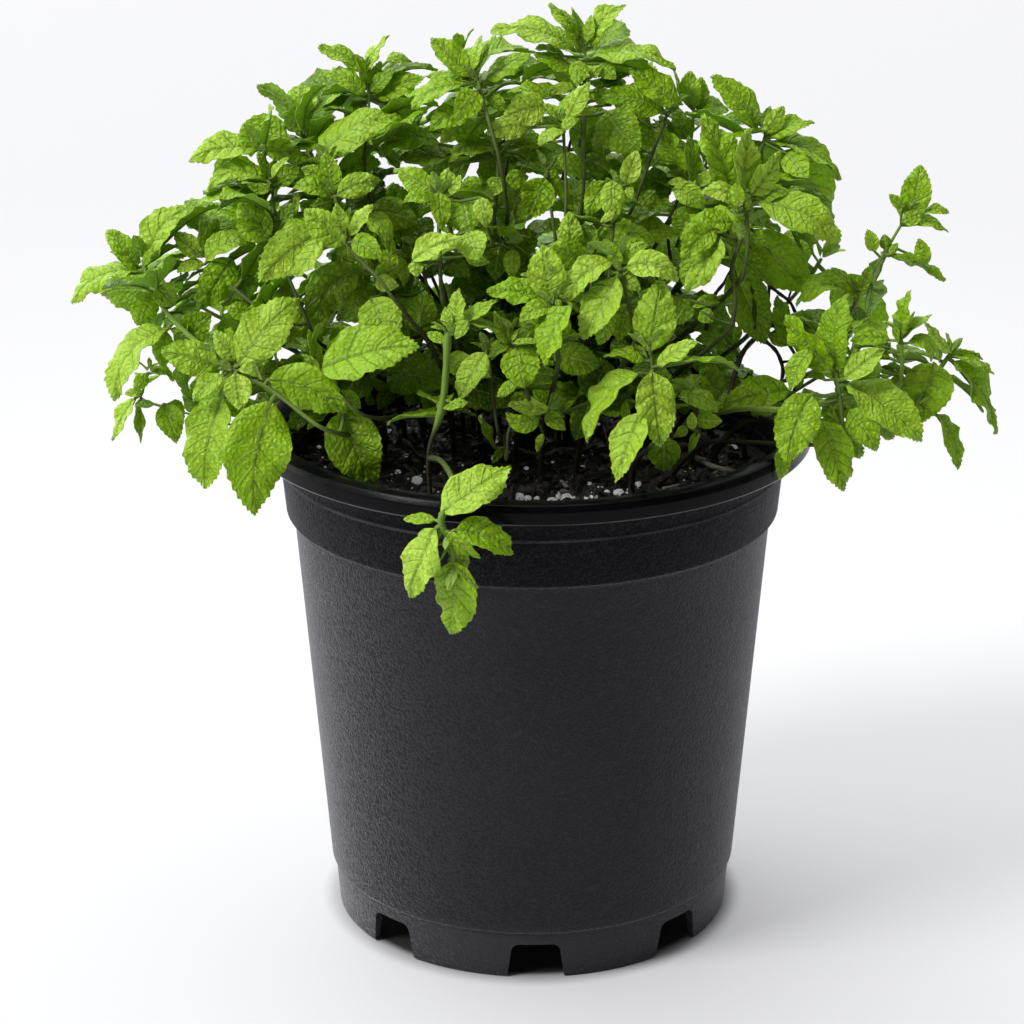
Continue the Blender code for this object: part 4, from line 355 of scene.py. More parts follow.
# ---------------------------------------------------------------- curves
def along(points, count_per_span=8):
    """Dense Catmull-Rom curve through the points."""
    if len(points) < 3:
        return [points[0].lerp(points[-1], k / count_per_span) for k in range(count_per_span + 1)]
    ends = [points[0] * 2 - points[1]] + list(points) + [points[-1] * 2 - points[-2]]
    dense = []
    for i in range(len(points) - 1):
        for k in range(count_per_span):
            dense.append(catmull(ends[i : i + 4], k / count_per_span))
    dense.append(points[-1].copy())
    return dense


def catmull(four, t):
    a, b, c, d = four
    return 0.5 * ((2 * b) + (c - a) * t + (2 * a - 5 * b + 4 * c - d) * t**2 + (3 * b - a - 3 * c + d) * t**3)


def thinned(points, slack):
    """The fewest of the points whose straight spans stay within slack of them all."""
    if len(points) < 3:
        return list(points)
    a, b = points[0], points[-1]
    axis = (b - a)
    worst, at = -1.0, 0
    for i in range(1, len(points) - 1):
        part = max(0.0, min(1.0, (points[i] - a).dot(axis) / max(axis.length_squared, 1e-9)))
        off = (points[i] - a - axis * part).length
        if off > worst:
            worst, at = off, i
    if worst <= slack:
        return [a, b]
    return thinned(points[: at + 1], slack)[:-1] + thinned(points[at:], slack)


def tube(points, r_low, r_top, sides=4, grow=0.0):
    """Vertices and faces of a closed tube along a polyline."""
    verts, faces = [], []
    heading = (points[1] - points[0]).normalized()
    side = heading.orthogonal().normalized()
    last = len(points) - 1
    for i, p in enumerate(points):
        ahead = (points[min(i + 1, last)] - points[max(i - 1, 0)]).normalized()
        side = (side - ahead * side.dot(ahead)).normalized()
        other = ahead.cross(side)
        r = r_low + (r_top - r_low) * i / last + grow
        end = p - ahead * grow if i == 0 else p + ahead * grow if i == last else p
        for k in range(sides):
            turn = 2 * math.pi * (k + 0.5) / sides
            verts.append(end + side * (r * math.cos(turn)) + other * (r * math.sin(turn)))
    for i in range(last):
        for k in range(sides):
            a, b = i * sides + k, i * sides + (k + 1) % sides
            faces.append((a, b, b + sides, a + sides))
    faces.append(tuple(range(sides - 1, -1, -1)))
    faces.append(tuple(range(last * sides, (last + 1) * sides)))
    return verts, faces


# ---------------------------------------------------------------- leaves
def leaf_width(t):
    """Half width of a mint leaf at t along its midrib, as a share of its largest."""
    return math.sin(math.pi * min(max(t, 0.0), 1.0) ** 0.8) ** 0.9 if 0.0 < t < 1.0 else 0.0


class Leaf:
    """A blade on a short stalk: base, control point and tip of its midrib, normal, and half width."""

    def __init__(self, base, bow, tip, normal, half, start, fold, tone, size):
        self.base, self.bow, self.tip, self.normal, self.half = base, bow, tip, normal, half
        self.start, self.fold, self.tone, self.size = start, fold, tone, size

    def rib(self, t):
        return self.base * (1 - t) ** 2 + self.bow * (2 * t * (1 - t)) + self.tip * t**2

    def frame(self, t):
        """Tangent, normal and side of the blade at t."""
        ahead = ((self.bow - self.base) * (1 - t) + (self.tip - self.bow) * t).normalized()
        up = (self.normal - ahead * self.normal.dot(ahead)).normalized()
        return ahead, up, ahead.cross(up)

    def solid(self, grow=0.0, own_stalk=True):
        """Vertices and faces of the plain closed blade, with its stalk where that is long."""
        length = (self.tip - self.base).length
        stations = (0.42,) if self.size < 80.0 else (0.3, 0.68)
        thick = 0.35 + 0.15 * min(1.0, length / 20.0)
        stalk = (self.base - self.start).length
        verts = []
        sections = []
        if own_stalk:
            ahead, _, _ = self.frame(0.0)
            back = (self.start - self.base).normalized() if stalk > 1e-6 else -ahead
            verts.append(self.start + back * (0.3 + grow * 0.5))
            if stalk > 2.6 and -back.dot(ahead) > 0.25:
                sections.append((self.base, 0.55 + grow, 0.45 + grow, 0.0, 0.0))
        else:
            verts.append(self.rib(0.12))
        for t in stations:
            sections.append((self.rib(t), self.half * leaf_width(t) + grow, thick + grow, t, self.fold))
        for n, (centre, wide, deep, t, fold) in enumerate(sections):
            ahead, up, side = self.frame(t)
            way = (centre - verts[0]).normalized()
            if n == 0 and way.dot(ahead) < 0.5:
                ahead = (ahead * 0.5 + way).normalized()
                side = ahead.cross(up).normalized()
                up = side.cross(ahead)
            lift = math.sin(fold) * wide
            verts.append(centre + side * (wide * math.cos(fold)) + up * lift)
            verts.append(centre + up * deep)
            verts.append(centre - side * (wide * math.cos(fold)) + up * lift)
            verts.append(centre - up * deep)
        verts.append(self.tip + (self.tip - self.bow).normalized() * grow)
        faces = []
        for k in range(4):
            faces.append((0, 1 + k, 1 + (k + 1) % 4))
        for s in range(len(sections) - 1):
            a = 1 + 4 * s
            for k in range(4):
                j = (k + 1) % 4
                faces.append((a + k, a + 4 + j, a + j))
                faces.append((a + k, a + 4 + k, a + 4 + j))
        a = 1 + 4 * (len(sections) - 1)
        for k in range(4):
            faces.append((a + (k + 1) % 4, a + k, a + 4))
        return verts, faces


def leaf_at(row, line_y, start, shift=0.0, lean=0.0, shrink=1.0, flip=False, fold=0.0):
    """The leaf of one table row, its base at the stem's depth plus its own shift."""
    bu, bv, tu, tv, wide, bend, dy, off, tone = (tuple(row) + (0, D, 0, 0))[:9] if len(row) < 9 else row
    du, dv = tu - bu, tv - bv
    run = math.hypot(du, dv)
    y0 = line_y + off + shift
    base = spot(bu, bv, y0)
    unit = on_sheet(base)[2] / SHEET_SCALE
    if dy is None:
        dy = run * unit * (-0.28 * max(0.0, dv / run) + 0.25 * max(0.0, -dv / run) - 0.10 * abs(du / run))
    if shrink < 1.0:
        tu, tv, wide = bu + du * shrink, bv + dv * shrink, wide * shrink
        dy, bend = dy * shrink, bend * shrink
    tip = spot(tu, tv, y0 + dy + lean)
    nu, nv = dv / run, -du / run
    if nv > 0 or (nv == 0 and nu < 0):
        nu, nv = -nu, -nv
    bow = spot((bu + tu) / 2 + 2 * bend * nu, (bv + tv) / 2 + 2 * bend * nv, y0 + (dy + lean) / 2)
    axis = (tip - base).normalized()
    length = (tip - base).length
    toward = Vector((0.0, STATION_Y, STATION_Z)) - base
    toward = (toward - axis * toward.dot(axis)).normalized()
    across = axis.cross(toward)
    seen = abs(wide) * unit
    real = max(seen, 0.56 * length)
    turn = math.acos(max(-1.0, min(1.0, seen / real)))
    face = 1.0 if wide > 0 else -1.0
    first = toward * (face * math.cos(turn)) + across * math.sin(turn)
    second = toward * (face * math.cos(turn)) - across * math.sin(turn)
    normal = first if (first.z >= second.z) != flip else second
    bow = bow + toward * (0.10 * length * normal.dot(toward))
    return Leaf(base, bow, tip, normal, real / 2, start, fold, tone, length * real)


# ---------------------------------------------------------------- room for each piece
class Room:
    """What has been placed, kept as boxes and search trees, so that the next piece can stay clear."""

    def __init__(self):
        self.low = np.zeros((2000, 3))
        self.high = np.zeros((2000, 3))
        self.kept = []

    def add(self, owner, kind, verts, faces):
        n = len(self.kept)
        pts = np.array(verts)
        self.low[n], self.high[n] = pts.min(0), pts.max(0)
        self.kept.append((owner, kind, BVHTree.FromPolygons(verts, faces)))

    def hits(self, verts, faces, allow):
        """Owners and kinds of the placed pieces that the mesh meets, leaving out those that allow says."""
        pts = np.array(verts)
        low, high = pts.min(0), pts.max(0)
        n = len(self.kept)
        near = np.nonzero(((self.low[:n] <= high) & (self.high[:n] >= low)).all(axis=1))[0]
        tree = None
        found = []
        for i in near:
            owner, kind, other = self.kept[i]
            if allow(owner, kind):
                continue
            if tree is None:
                tree = BVHTree.FromPolygons(verts, faces)
            if tree.overlap(other):
                found.append((owner, kind))
        return found


def stem_lines(root, shift, stations):
    """Depth, then places, of a stem's stations, with the sweep from its root to the first."""
    points = []
    for st in stations:
        y = st[2] if len(st) > 2 else dome_depth(st[0], st[1]) + shift
        points.append(spot(st[0], st[1], y))
    foot = Vector((root[0], root[1], SOIL_TOP + 0.36))
    gap = (points[0] - foot).length
    heading = (points[1] - points[0]).normalized()
    rise = foot + Vector((0, 0, 0.42 * gap))
    reach = points[0] - heading * (0.3 * gap)
    sweep = []
    for k in range(8):
        t = k / 8
        sweep.append(foot * (1 - t) ** 3 + rise * (3 * t * (1 - t) ** 2) + reach * (3 * t * t * (1 - t)) + points[0] * t**3)
    dense = sweep + along(points, 6)
    return [foot] + thinned([foot + Vector((0, 0, 2.5))] + dense[2:], 0.8)


def nearest_on(lines, u, v):
    """The place on the stem lines that is nearest to (u, v) on the sheet: line, span, share, point."""
    best = None
    for li, (pts, _, _) in enumerate(lines):
        flat = [on_sheet(p) for p in pts]
        for i in range(len(pts) - 1):
            (u0, v0, _), (u1, v1, _) = flat[i], flat[i + 1]
            du, dv = u1 - u0, v1 - v0
            t = max(0.04, min(0.94 if i == len(pts) - 2 else 1.0, ((u - u0) * du + (v - v0) * dv) / max(du * du + dv * dv, 1e-9)))
            off = math.hypot(u0 + du * t - u, v0 + dv * t - v)
            if best is None or off < best[0] - 1e-6:
                best = (off, li, i, t, pts[i].lerp(pts[i + 1], t))
    return best[1:]




TRIES = [(s, l, k, f) for k in (1.0, 0.86, 0.72) for s, l in (
    (0, 0), (0, 2.5), (0, -2.5), (-2, 0), (2, 0), (-3.5, 0), (3.5, 0), (-2, 3), (2, -3), (-5, 0), (5, 0), (-3.5, 4), (3.5, -4),
    (-7, 0), (7, 0), (-5, 5), (5, -5), (-9, 0), (9, 0), (-12, 0), (12, 0)) for f in (False, True)]


def place_leaf(room, owner, lines, row, rng, floor_room=True):
    """The first pose of a leaf that is clear of the other shoots, best also of its own shoot's leaves."""
    li, i, t, start = nearest_on(lines, row[0], row[1])
    fold = math.radians(rng.uniform(4.0, 22.0))
    spare = None
    for n, (shift, lean, shrink, flip) in enumerate(TRIES):
        if n > 26 and spare:
            break
        leaf = leaf_at(row, start.y, start, shift, lean, shrink, flip, fold)
        verts, faces = leaf.solid(grow=0.32)
        own = []

        def allow(o, kind):
            return o == owner

        if room.hits(verts, faces, allow):
            continue
        core = leaf.solid(grow=0.1, own_stalk=False)
        if room.hits(core[0], core[1], lambda o, kind: o != owner or kind == "stem"):
            if spare is None:
                spare = leaf
            continue
        spare = leaf
        break
    if spare is None:
        return None
    spare.hold = (li, i, t)
    return spare


def back_plan():
    """Shoots on the far side, which follow the habit of the near ones: opposite pairs, each pair turned a right angle from the last."""
    plan = []
    feet = [(-26, 31), (-11, 37), (8, 39), (25, 34), (42, 20), (-41, 18), (-21, 45), (14, 49), (-1, 27), (38, 32), (-37, 33), (49, 6), (-4, 50)]
    tops = [(-62, 38, 154), (-32, 48, 180), (10, 46, 192), (44, 40, 170), (64, 30, 150), (-84, 22, 142), (-48, 54, 148), (24, 56, 152), (-12, 30, 200),
            (52, 50, 136), (-70, 44, 130), (76, 14, 132), (-14, 58, 148)]
    for n, (foot, top) in enumerate(zip(feet, tops)):
        plan.append(("shoot_back_" + "abcdefghijklm"[n], Vector((foot[0], foot[1], SOIL_TOP + 0.36)), Vector(top)))
    return plan


def seen_clear(points):
    """True where the points lie inside the plant's outline on the sheet and out of its openings."""
    for p in points:
        u, v, _ = on_sheet(p)
        if not in_polygon(u, v, OUTLINE):
            return False
        for u0, v0, u1, v1 in WINDOWS:
            if u0 < u < u1 and v0 < v < v1:
                return False
    return True


def free_leaf(base, heading, up, length, wide, start, fold, tone, droop):
    tip = base + heading * length - Vector((0, 0, droop * length))
    bow = (base + tip) / 2 + Vector((0, 0, 1)) * (0.14 * length)
    axis = (tip - base).normalized()
    normal = (up - axis * up.dot(axis)).normalized()
    return Leaf(base, bow, tip, normal, wide / 2, start, fold, tone, length * wide)


def grow_back(room, name, foot, top, rng):
    """One far-side shoot, or None where it finds no room."""
    middle = foot.copy()
    for tries in range(120):
        aim = top + Vector((rng.uniform(-5, 5), rng.uniform(-4, 4), rng.uniform(-4, 3)))
        foot = middle + Vector((rng.uniform(-5, 5), rng.uniform(-4, 3), 0)) * min(1.6, tries / 16)
        if foot.xy.length > 51.0:
            foot.xy *= 51.0 / foot.xy.length
        rise = (aim - foot).length
        c1 = foot + Vector((0, 0, 0.45 * rise))
        c2 = aim - Vector(((aim.x - foot.x) * 0.30, (aim.y - foot.y) * 0.30, 0.35 * (aim.z - foot.z)))
        dense = []
        for k in range(25):
            t = k / 24
            dense.append(foot * (1 - t) ** 3 + c1 * (3 * t * (1 - t) ** 2) + c2 * (3 * t * t * (1 - t)) + aim * t**3)
        line = [foot] + thinned([foot + Vector((0, 0, 2.5))] + dense[3:], 0.7)
        verts, faces = tube(line, 1.15, 0.65, grow=0.32)
        if not room.hits(verts, faces, lambda o, kind: False):
            break
    else:
        print(name, "stem has no room")
        return None
    lines = [(line, 1.1, 0.6)]
    room.add(name, "stem", *tube(line, 1.1, 0.6))
    total = sum((line[i + 1] - line[i]).length for i in range(len(line) - 1))
    leaves = []
    turn = rng.uniform(0, math.pi)
    gone = total * 0.30
    pair = 0
    while gone < total + 1.0:
        share = min(gone / total, 0.995)
        run, i = share * total, 0
        while run > (line[i + 1] - line[i]).length and i < len(line) - 2:
            run -= (line[i + 1] - line[i]).length
            i += 1
        t = min(0.96, run / (line[i + 1] - line[i]).length)
        start = line[i].lerp(line[i + 1], t)
        ahead = (line[i + 1] - line[i]).normalized()
        side = Vector((math.cos(turn), math.sin(turn), 0.0))
        side = (side - ahead * side.dot(ahead)).normalized()
        size = (14.0 + 8.0 * math.sin(math.pi * min(1.0, 0.2 + share * 0.72))) * (1.0 - 0.5 * max(0.0, share - 0.6))
        for sign in (1.0, -1.0):
            for length in (size, size * 0.82, size * 0.64, size * 0.5):
                made = None
                for swing in (0.0, 0.35, -0.35, 0.7, -0.7):
                    out = Matrix.Rotation(swing, 3, ahead) @ (side * sign)
                    heading = (out + ahead * rng.uniform(0.15, 0.5)).normalized()
                    up = (ahead + out * 0.2).normalized()
                    droop = rng.uniform(0.05, 0.45)
                    leaf = free_leaf(start + heading * 2.2, heading, up, length, length * rng.uniform(0.56, 0.68), start, math.radians(rng.uniform(4, 22)), rng.uniform(-0.5, 0.4), droop)
                    _, _, s = leaf.frame(0.4)
                    mid = leaf.rib(0.4)
                    if not seen_clear((leaf.base, leaf.tip, mid, mid + s * leaf.half, mid - s * leaf.half)):
                        continue
                    verts, faces = leaf.solid(grow=0.32)
                    if room.hits(verts, faces, lambda o, kind: o == name):
                        continue
                    core = leaf.solid(grow=0.1, own_stalk=False)
                    if room.hits(core[0], core[1], lambda o, kind: o != name or kind == "stem"):
                        continue
                    made = leaf
                    break
                if made:
                    break
            if made:
                made.hold = (0, i, t)
                leaves.append(made)
                room.add(name, "leaf", *made.solid())
        turn += math.pi / 2
        pair += 1
        gone += max(6.0, 12.5 - 1.3 * pair)
    return {"name": name, "lines": lines, "leaves": leaves}


class Cover:
    """Which cells of the sheet the near leaves cover, and how far away the nearest of them is."""

    def __init__(self):
        self.near = np.full((220, 220), 1e9)

    def spots(self, leaf, along_count=14, across_count=9):
        found = []
        for i in range(along_count):
            t = 0.04 + 0.92 * i / (along_count - 1)
            _, _, side = leaf.frame(t)
            middle = leaf.rib(t)
            wide = leaf.half * leaf_width(t) * 0.94
            for j in range(across_count):
                p = middle + side * (wide * (2.0 * j / (across_count - 1) - 1.0))
                u, v, deep = on_sheet(p)
                found.append((min(219, max(0, int(v / 5.0))), min(219, max(0, int(u / 5.0))), deep))
        return found

    def mark(self, leaf):
        for row, column, deep in self.spots(leaf, 26, 17):
            self.near[row, column] = min(self.near[row, column], deep)

    def weigh(self, leaf):
        """Shares of the leaf that would hide a near leaf, and that would fill an empty cell."""
        spots = self.spots(leaf)
        hides = sum(1 for row, column, deep in spots if deep + 0.4 < self.near[row, column] < 1e8)
        fills = sum(1 for row, column, deep in spots if self.near[row, column] > 1e8)
        return hides / len(spots), fills / len(spots)


def fill_in(room, shoots, cover, most):
    """More leaves on bare lengths of stem: first those that close empty places in the near side, then any."""
    count = 0
    for least, sizes in ((0.45, (17.0, 14.0, 11.5, 9.0)), (0.25, (15.0, 12.0, 9.5, 7.5)), (0.0, (13.0, 10.5, 8.5))):
        for shoot in shoots:
            name = shoot["name"]
            rng = random.Random("fill " + name + str(least))
            for n, (points, r_low, r_top) in enumerate(shoot["lines"]):
                spans = [(b - a).length for a, b in zip(points, points[1:])]
                total = sum(spans)
                gone = total * (0.22 if n == 0 else 0.1) + rng.uniform(0, 4)
                turn = rng.uniform(0, math.pi)
                while gone < total - 3.0 and count < most:
                    run, i = gone, 0
                    while run > spans[i] and i < len(spans) - 1:
                        run -= spans[i]
                        i += 1
                    t = min(0.96, run / spans[i])
                    start = points[i].lerp(points[i + 1], t)
                    ahead = (points[i + 1] - points[i]).normalized()
                    side = Vector((math.cos(turn), math.sin(turn), 0.15))
                    side = (side - ahead * side.dot(ahead)).normalized()
                    if start.z < SOIL_TOP + 9.0:
                        gone += 5.0
                        continue
                    for sign in (1.0, -1.0):
                        made = None
                        for size in sizes:
                            for swing in (0.0, 0.4, -0.4, 0.8, -0.8, 1.2, -1.2):
                                out = Matrix.Rotation(swing, 3, ahead) @ (side * sign)
                                heading = (out + ahead * rng.uniform(0.1, 0.6)).normalized()
                                up = (ahead + out * 0.2 + Vector((0, -0.25, 0.3))).normalized()
                                leaf = free_leaf(start + heading * 2.4, heading, up, size, size * rng.uniform(0.56, 0.70), start, math.radians(rng.uniform(4, 22)), rng.uniform(-0.8, 0.1), rng.uniform(0.0, 0.5))
                                _, _, s = leaf.frame(0.4)
                                mid = leaf.rib(0.4)
                                if not seen_clear((leaf.base, leaf.tip, mid, mid + s * leaf.half, mid - s * leaf.half)):
                                    continue
                                hides, fills = cover.weigh(leaf)
                                if hides > 0.06 or fills < least:
                                    continue
                                if room.hits(*leaf.solid(grow=0.32), lambda o, kind: o == name):
                                    continue
                                if room.hits(*leaf.solid(grow=0.1, own_stalk=False), lambda o, kind: o != name):
                                    continue
                                made = leaf
                                break
                            if made:
                                break
                        if made and count < most:
                            made.hold = (n, i, t)
                            made.order = 1000 + count
                            shoot["leaves"].append(made)
                            room.add(name, "leaf", *made.solid())
                            cover.mark(made)
                            count += 1
                    turn += math.pi / 2 + rng.uniform(-0.2, 0.2)
                    gone += rng.uniform(5.0, 7.5)
        print("filled to", least, count)
    return count


def grow(fixed):
    """Every shoot: name, stem lines and leaves, in millimetres. fixed holds the meshes to stay clear of."""
    room = Room()
    for verts, faces in fixed:
        room.add("fixed", "fixed", verts, faces)
    shoots = []
    lost = []
    for name, root, shift, stations, r_low, r_top, rows in SHOOTS:
        done = None
        for move in (0, -2, 2, -4, 4, -6, 6, -8, 8, -11, 11):
            for sway, slide in ((0, 0), (2.5, 0), (-2.5, 0), (5, 0), (-5, 0), (0, 5), (0, -5), (4, 4), (-4, 4), (4, -4), (-4, -4), (8, 0), (-8, 0), (0, 9), (0, -9)):
                line = stem_lines((root[0] + sway, root[1] + slide + move * 0.5), shift + move, stations)
                if not room.hits(*tube(line, r_low, r_top, grow=0.32), lambda o, kind: False):
                    done = line
                    break
            if done:
                break
        if done is None:
            lost.append(name)
            continue
        lines = [(done, r_low, r_top)]
        room.add(name, "stem", *tube(done, r_low, r_top))
        for branch in rows:
            if isinstance(branch, list):
                _, _, _, start = nearest_on(lines[:1], branch[0][0], branch[0][1])
                for move in (0, -2, 2, -4, 4, -6, 6, -8, 8):
                    points = [start] + [spot(u, v, y + move) for u, v, y in branch[1:]]
                    points = thinned(along(points, 5), 0.6)
                    made = tube(points, r_top * 0.95, r_top * 0.6, grow=0.32)
                    if not room.hits(*made, lambda o, kind: o == name):
                        break
                else:
                    lost.append(name + " branch")
                    continue
                lines.append((points, r_top * 0.95, r_top * 0.6))
                room.add(name, "stem", *tube(points, r_top * 0.95, r_top * 0.6))
        shoots.append({"name": name, "lines": lines, "leaves": [], "rows": [r for r in rows if not isinstance(r, list)]})
    tasks = []
    for shoot in shoots:
        for n, row in enumerate(shoot.pop("rows")):
            area = abs(row[4]) * math.hypot(row[2] - row[0], row[3] - row[1])
            tasks.append((-area, len(tasks), shoot, n, row))
    for _, _, shoot, n, row in sorted(tasks, key=lambda task: task[:2]):
        rng = random.Random(shoot["name"] + str(n))
        leaf = place_leaf(room, shoot["name"], shoot["lines"], row, rng)
        if leaf is None:
            lost.append(f"{shoot['name']} {row[:4]}")
            continue
        leaf.order = n
        shoot["leaves"].append(leaf)
        room.add(shoot["name"], "leaf", *leaf.solid())
    for shoot in shoots:
        shoot["leaves"].sort(key=lambda leaf: leaf.order)
    cover = Cover()
    for shoot in shoots:
        for leaf in shoot["leaves"]:
            cover.mark(leaf)
    for name, foot, top in back_plan():
        shoot = grow_back(room, name, foot, top, random.Random(name))
        if shoot and len(shoot["leaves"]) > 3:
            shoots.append(shoot)
        else:
            lost.append(name)
    lost.append(fill_in(room, shoots, cover, FILL_LEAVES))
    return shoots, lost


# ---------------------------------------------------------------- materials
class Nodes:
    """A short way to write a node tree."""

    def __init__(self, name):
        self.mat = bpy.data.materials.new(name)
        self.mat.use_nodes = True
        self.tree = self.mat.node_tree
        self.tree.nodes.clear()
        self.out = self.tree.nodes.new("ShaderNodeOutputMaterial")

    def put(self, kind, **values):
        node = self.tree.nodes.new("ShaderNode" + kind)
        for key, value in values.items():
            if hasattr(node, key) and not key.startswith("in_"):
                setattr(node, key, value)
            else:
                key = key[3:] if key.startswith("in_") else key
                socket = node.inputs[int(key)] if key.isdigit() else node.inputs[key.replace("_", " ")]
                if hasattr(value, "is_output"):
                    self.tree.links.new(value, socket)
                else:
                    socket.default_value = value
        return node

    def link(self, a, b):
        self.tree.links.new(a, b)

    def math(self, operation, *values, clamp=False):
        node = self.tree.nodes.new("ShaderNodeMath")
        node.operation = operation
        node.use_clamp = clamp
        for socket, value in zip(node.inputs, values):
            if hasattr(value, "is_output"):
                self.link(value, socket)
            else:
                socket.default_value = value
        return node.outputs[0]

    def smooth(self, value, low, high, first=0.0, last=1.0):
        node = self.tree.nodes.new("ShaderNodeMapRange")
        node.interpolation_type = "SMOOTHSTEP"
        self.link(value, node.inputs["Value"])
        for key, number in (("From Min", low), ("From Max", high), ("To Min", first), ("To Max", last)):
            node.inputs[key].default_value = number
        return node.outputs["Result"]

    def mix(self, share, a, b, mode="MIX"):
        node = self.tree.nodes.new("ShaderNodeMix")
        node.data_type = "RGBA"
        node.blend_type = mode
        node.clamp_factor = True
        for key, value in (("Factor", share), ("A", a), ("B", b)):
            socket = [s for s in node.inputs if s.name == key and (s.type == "RGBA" or key == "Factor" and s.type == "VALUE")][0]
            if hasattr(value, "is_output"):
                self.link(value, socket)
            else:
                socket.default_value = value if key == "Factor" else (*value, 1.0)
        return [s for s in node.outputs if s.type == "RGBA"][0]

    def noise(self, vector, scale, detail=3.0, roughness=0.55, distortion=0.0, flat=False):
        node = self.put("TexNoise", noise_dimensions="2D" if flat else "3D", in_Scale=scale, in_Detail=detail, in_Roughness=roughness, in_Distortion=distortion)
        self.link(vector, node.inputs["Vector"])
        return node.outputs[0]

    def bump(self, height, strength, distance, normal=None):
        node = self.put("Bump", in_Strength=strength, in_Distance=distance)
        self.link(height, node.inputs["Height"])
        if normal is not None:
            self.link(normal, node.inputs["Normal"])
        return node.outputs[0]


def leaf_material():
    """Mint blade: pale midrib and side veins sunk in a quilted upper side, greyer and ribbed below. Painted shade
    darkens the side-vein grooves, the vein net and the furrow by the midrib, a painted highlight lightens the middles
    of the bulges, and the tone holds painted light and shade besides the blade's own colour.
    """
    m = Nodes("mint_blade")
    data = m.put("Attribute", attribute_name="leaf")
    parts = m.put("SeparateColor")
    m.link(data.outputs["Color"], parts.inputs[0])
    tone, kin, under = parts.outputs[0], parts.outputs[1], parts.outputs[2]
    vein = m.put("UVMap", uv_map="vein")
    span = m.put("UVMap", uv_map="span")
    vx = m.put("SeparateXYZ")
    m.link(vein.outputs[0], vx.inputs[0])
    sx = m.put("SeparateXYZ")
    m.link(span.outputs[0], sx.inputs[0])
    row, across = vx.outputs[0], vx.outputs[1]
    length, side = sx.outputs[0], sx.outputs[1]
    # Each blade reads its own part of the patterns.
    own = m.put("CombineXYZ")
    m.link(m.math("ADD", length, m.math("MULTIPLY", kin, 613.0)), own.inputs[0])
    m.link(m.math("ADD", side, m.math("MULTIPLY", kin, 397.0)), own.inputs[1])
    flat = own.outputs[0]

    off_rib = m.math("ABSOLUTE", side)
    rib = m.smooth(off_rib, 0.08, 0.34, 1.0, 0.0)
    rib_wide = m.smooth(off_rib, 0.2, 1.1, 1.0, 0.0)
    phase = m.math("FRACT", row)
    off_vein = m.math("MINIMUM", phase, m.math("SUBTRACT", 1.0, phase))
    out = m.math("ABSOLUTE", across)
    wander = m.math("MULTIPLY", m.math("SUBTRACT", m.noise(flat, 0.45, 1.0, 0.5, flat=True), 0.5), 0.16)
    bent = m.math("FRACT", m.math("ADD", row, wander))
    off_vein = m.math("MINIMUM", bent, m.math("SUBTRACT", 1.0, bent))
    side_vein = m.math("MULTIPLY", m.smooth(off_vein, 0.012, 0.060, 1.0, 0.0), m.smooth(out, 0.55, 1.0, 1.0, 0.10))
    side_groove = m.math("MULTIPLY", m.smooth(off_vein, 0.01, 0.125, 1.0, 0.0), m.smooth(out, 0.7, 1.0, 1.0, 0.15))
    side_groove_shade_mask = m.math("MULTIPLY", m.smooth(off_vein, 0.006, 0.075, 1.0, 0.0), m.smooth(out, 0.7, 1.0, 1.0, 0.10))
    light_veins = m.smooth(kin, 0.62, 0.78)
    net = m.put("TexVoronoi", voronoi_dimensions="2D", feature="DISTANCE_TO_EDGE", in_Scale=0.80, in_Randomness=1.0)
    m.link(flat, net.inputs["Vector"])
    net_line = m.smooth(net.outputs["Distance"], 0.02, 0.16, 1.0, 0.0)
    cell = m.smooth(net.outputs["Distance"], 0.0, 0.45, 0.0, 1.0)
    broad = m.noise(flat, 0.16, 1.0, 0.5, flat=True)
    spots = m.noise(flat, 0.9, 3.0, 0.62, flat=True)

    deep, middle, pale = (0.065, 0.178, 0.001), (0.335, 0.612, 0.003), (0.630, 0.900, 0.100)
    # Deep to pale by the per-leaf tone, which is partly the blade's own colour and partly painted light and shade.
    low = m.mix(m.smooth(tone, 0.0, 0.5), deep, middle)
    body = m.mix(m.smooth(tone, 0.45, 1.0), low, pale)
    body = m.mix(m.smooth(broad, 0.35, 0.7, 0.0, 0.38), body, (0.46, 0.68, 0.020))
    body = m.mix(m.smooth(spots, 0.45, 0.75, 0.0, 0.42), body, (0.070, 0.180, 0.002))
    # Painted highlight: the middles of the quilted bulges are lighter.
    body = m.mix(m.math("MULTIPLY", cell, 0.34), body, (0.54, 0.78, 0.035))
    # Painted shade along the sunk vein net.
    body = m.mix(m.math("MULTIPLY", net_line, 0.15), body, (0.085, 0.210, 0.004))
    habit = m.math("FRACT", m.math("MULTIPLY", kin, 7.3))
    # Painted shade in the sunk side-vein grooves, stronger on some blades than others.
    painted_groove_shade = m.math("MULTIPLY", side_groove_shade_mask, m.smooth(habit, 0.0, 1.0, 0.03, 0.52))
    body = m.mix(painted_groove_shade, body, (0.038, 0.125, 0.002))
    body = m.mix(m.math("MULTIPLY", m.math("MULTIPLY", side_vein, light_veins), 0.50), body, (0.48, 0.72, 0.08))
    # Painted shade in the furrow either side of the midrib.
    body = m.mix(m.math("MULTIPLY", m.smooth(off_rib, 0.30, 0.62, 1.0, 0.0), 0.34), body, (0.070, 0.185, 0.003))
    body = m.mix(m.math("MULTIPLY", rib, 0.66), body, (0.52, 0.76, 0.10))
    below = m.mix(0.62, body, (0.28, 0.44, 0.095))
    below = m.mix(m.math("MULTIPLY", m.math("MAXIMUM", side_vein, rib), 0.5), below, (0.48, 0.60, 0.20))
    colour = m.mix(m.smooth(under, 0.4, 0.6), body, below)

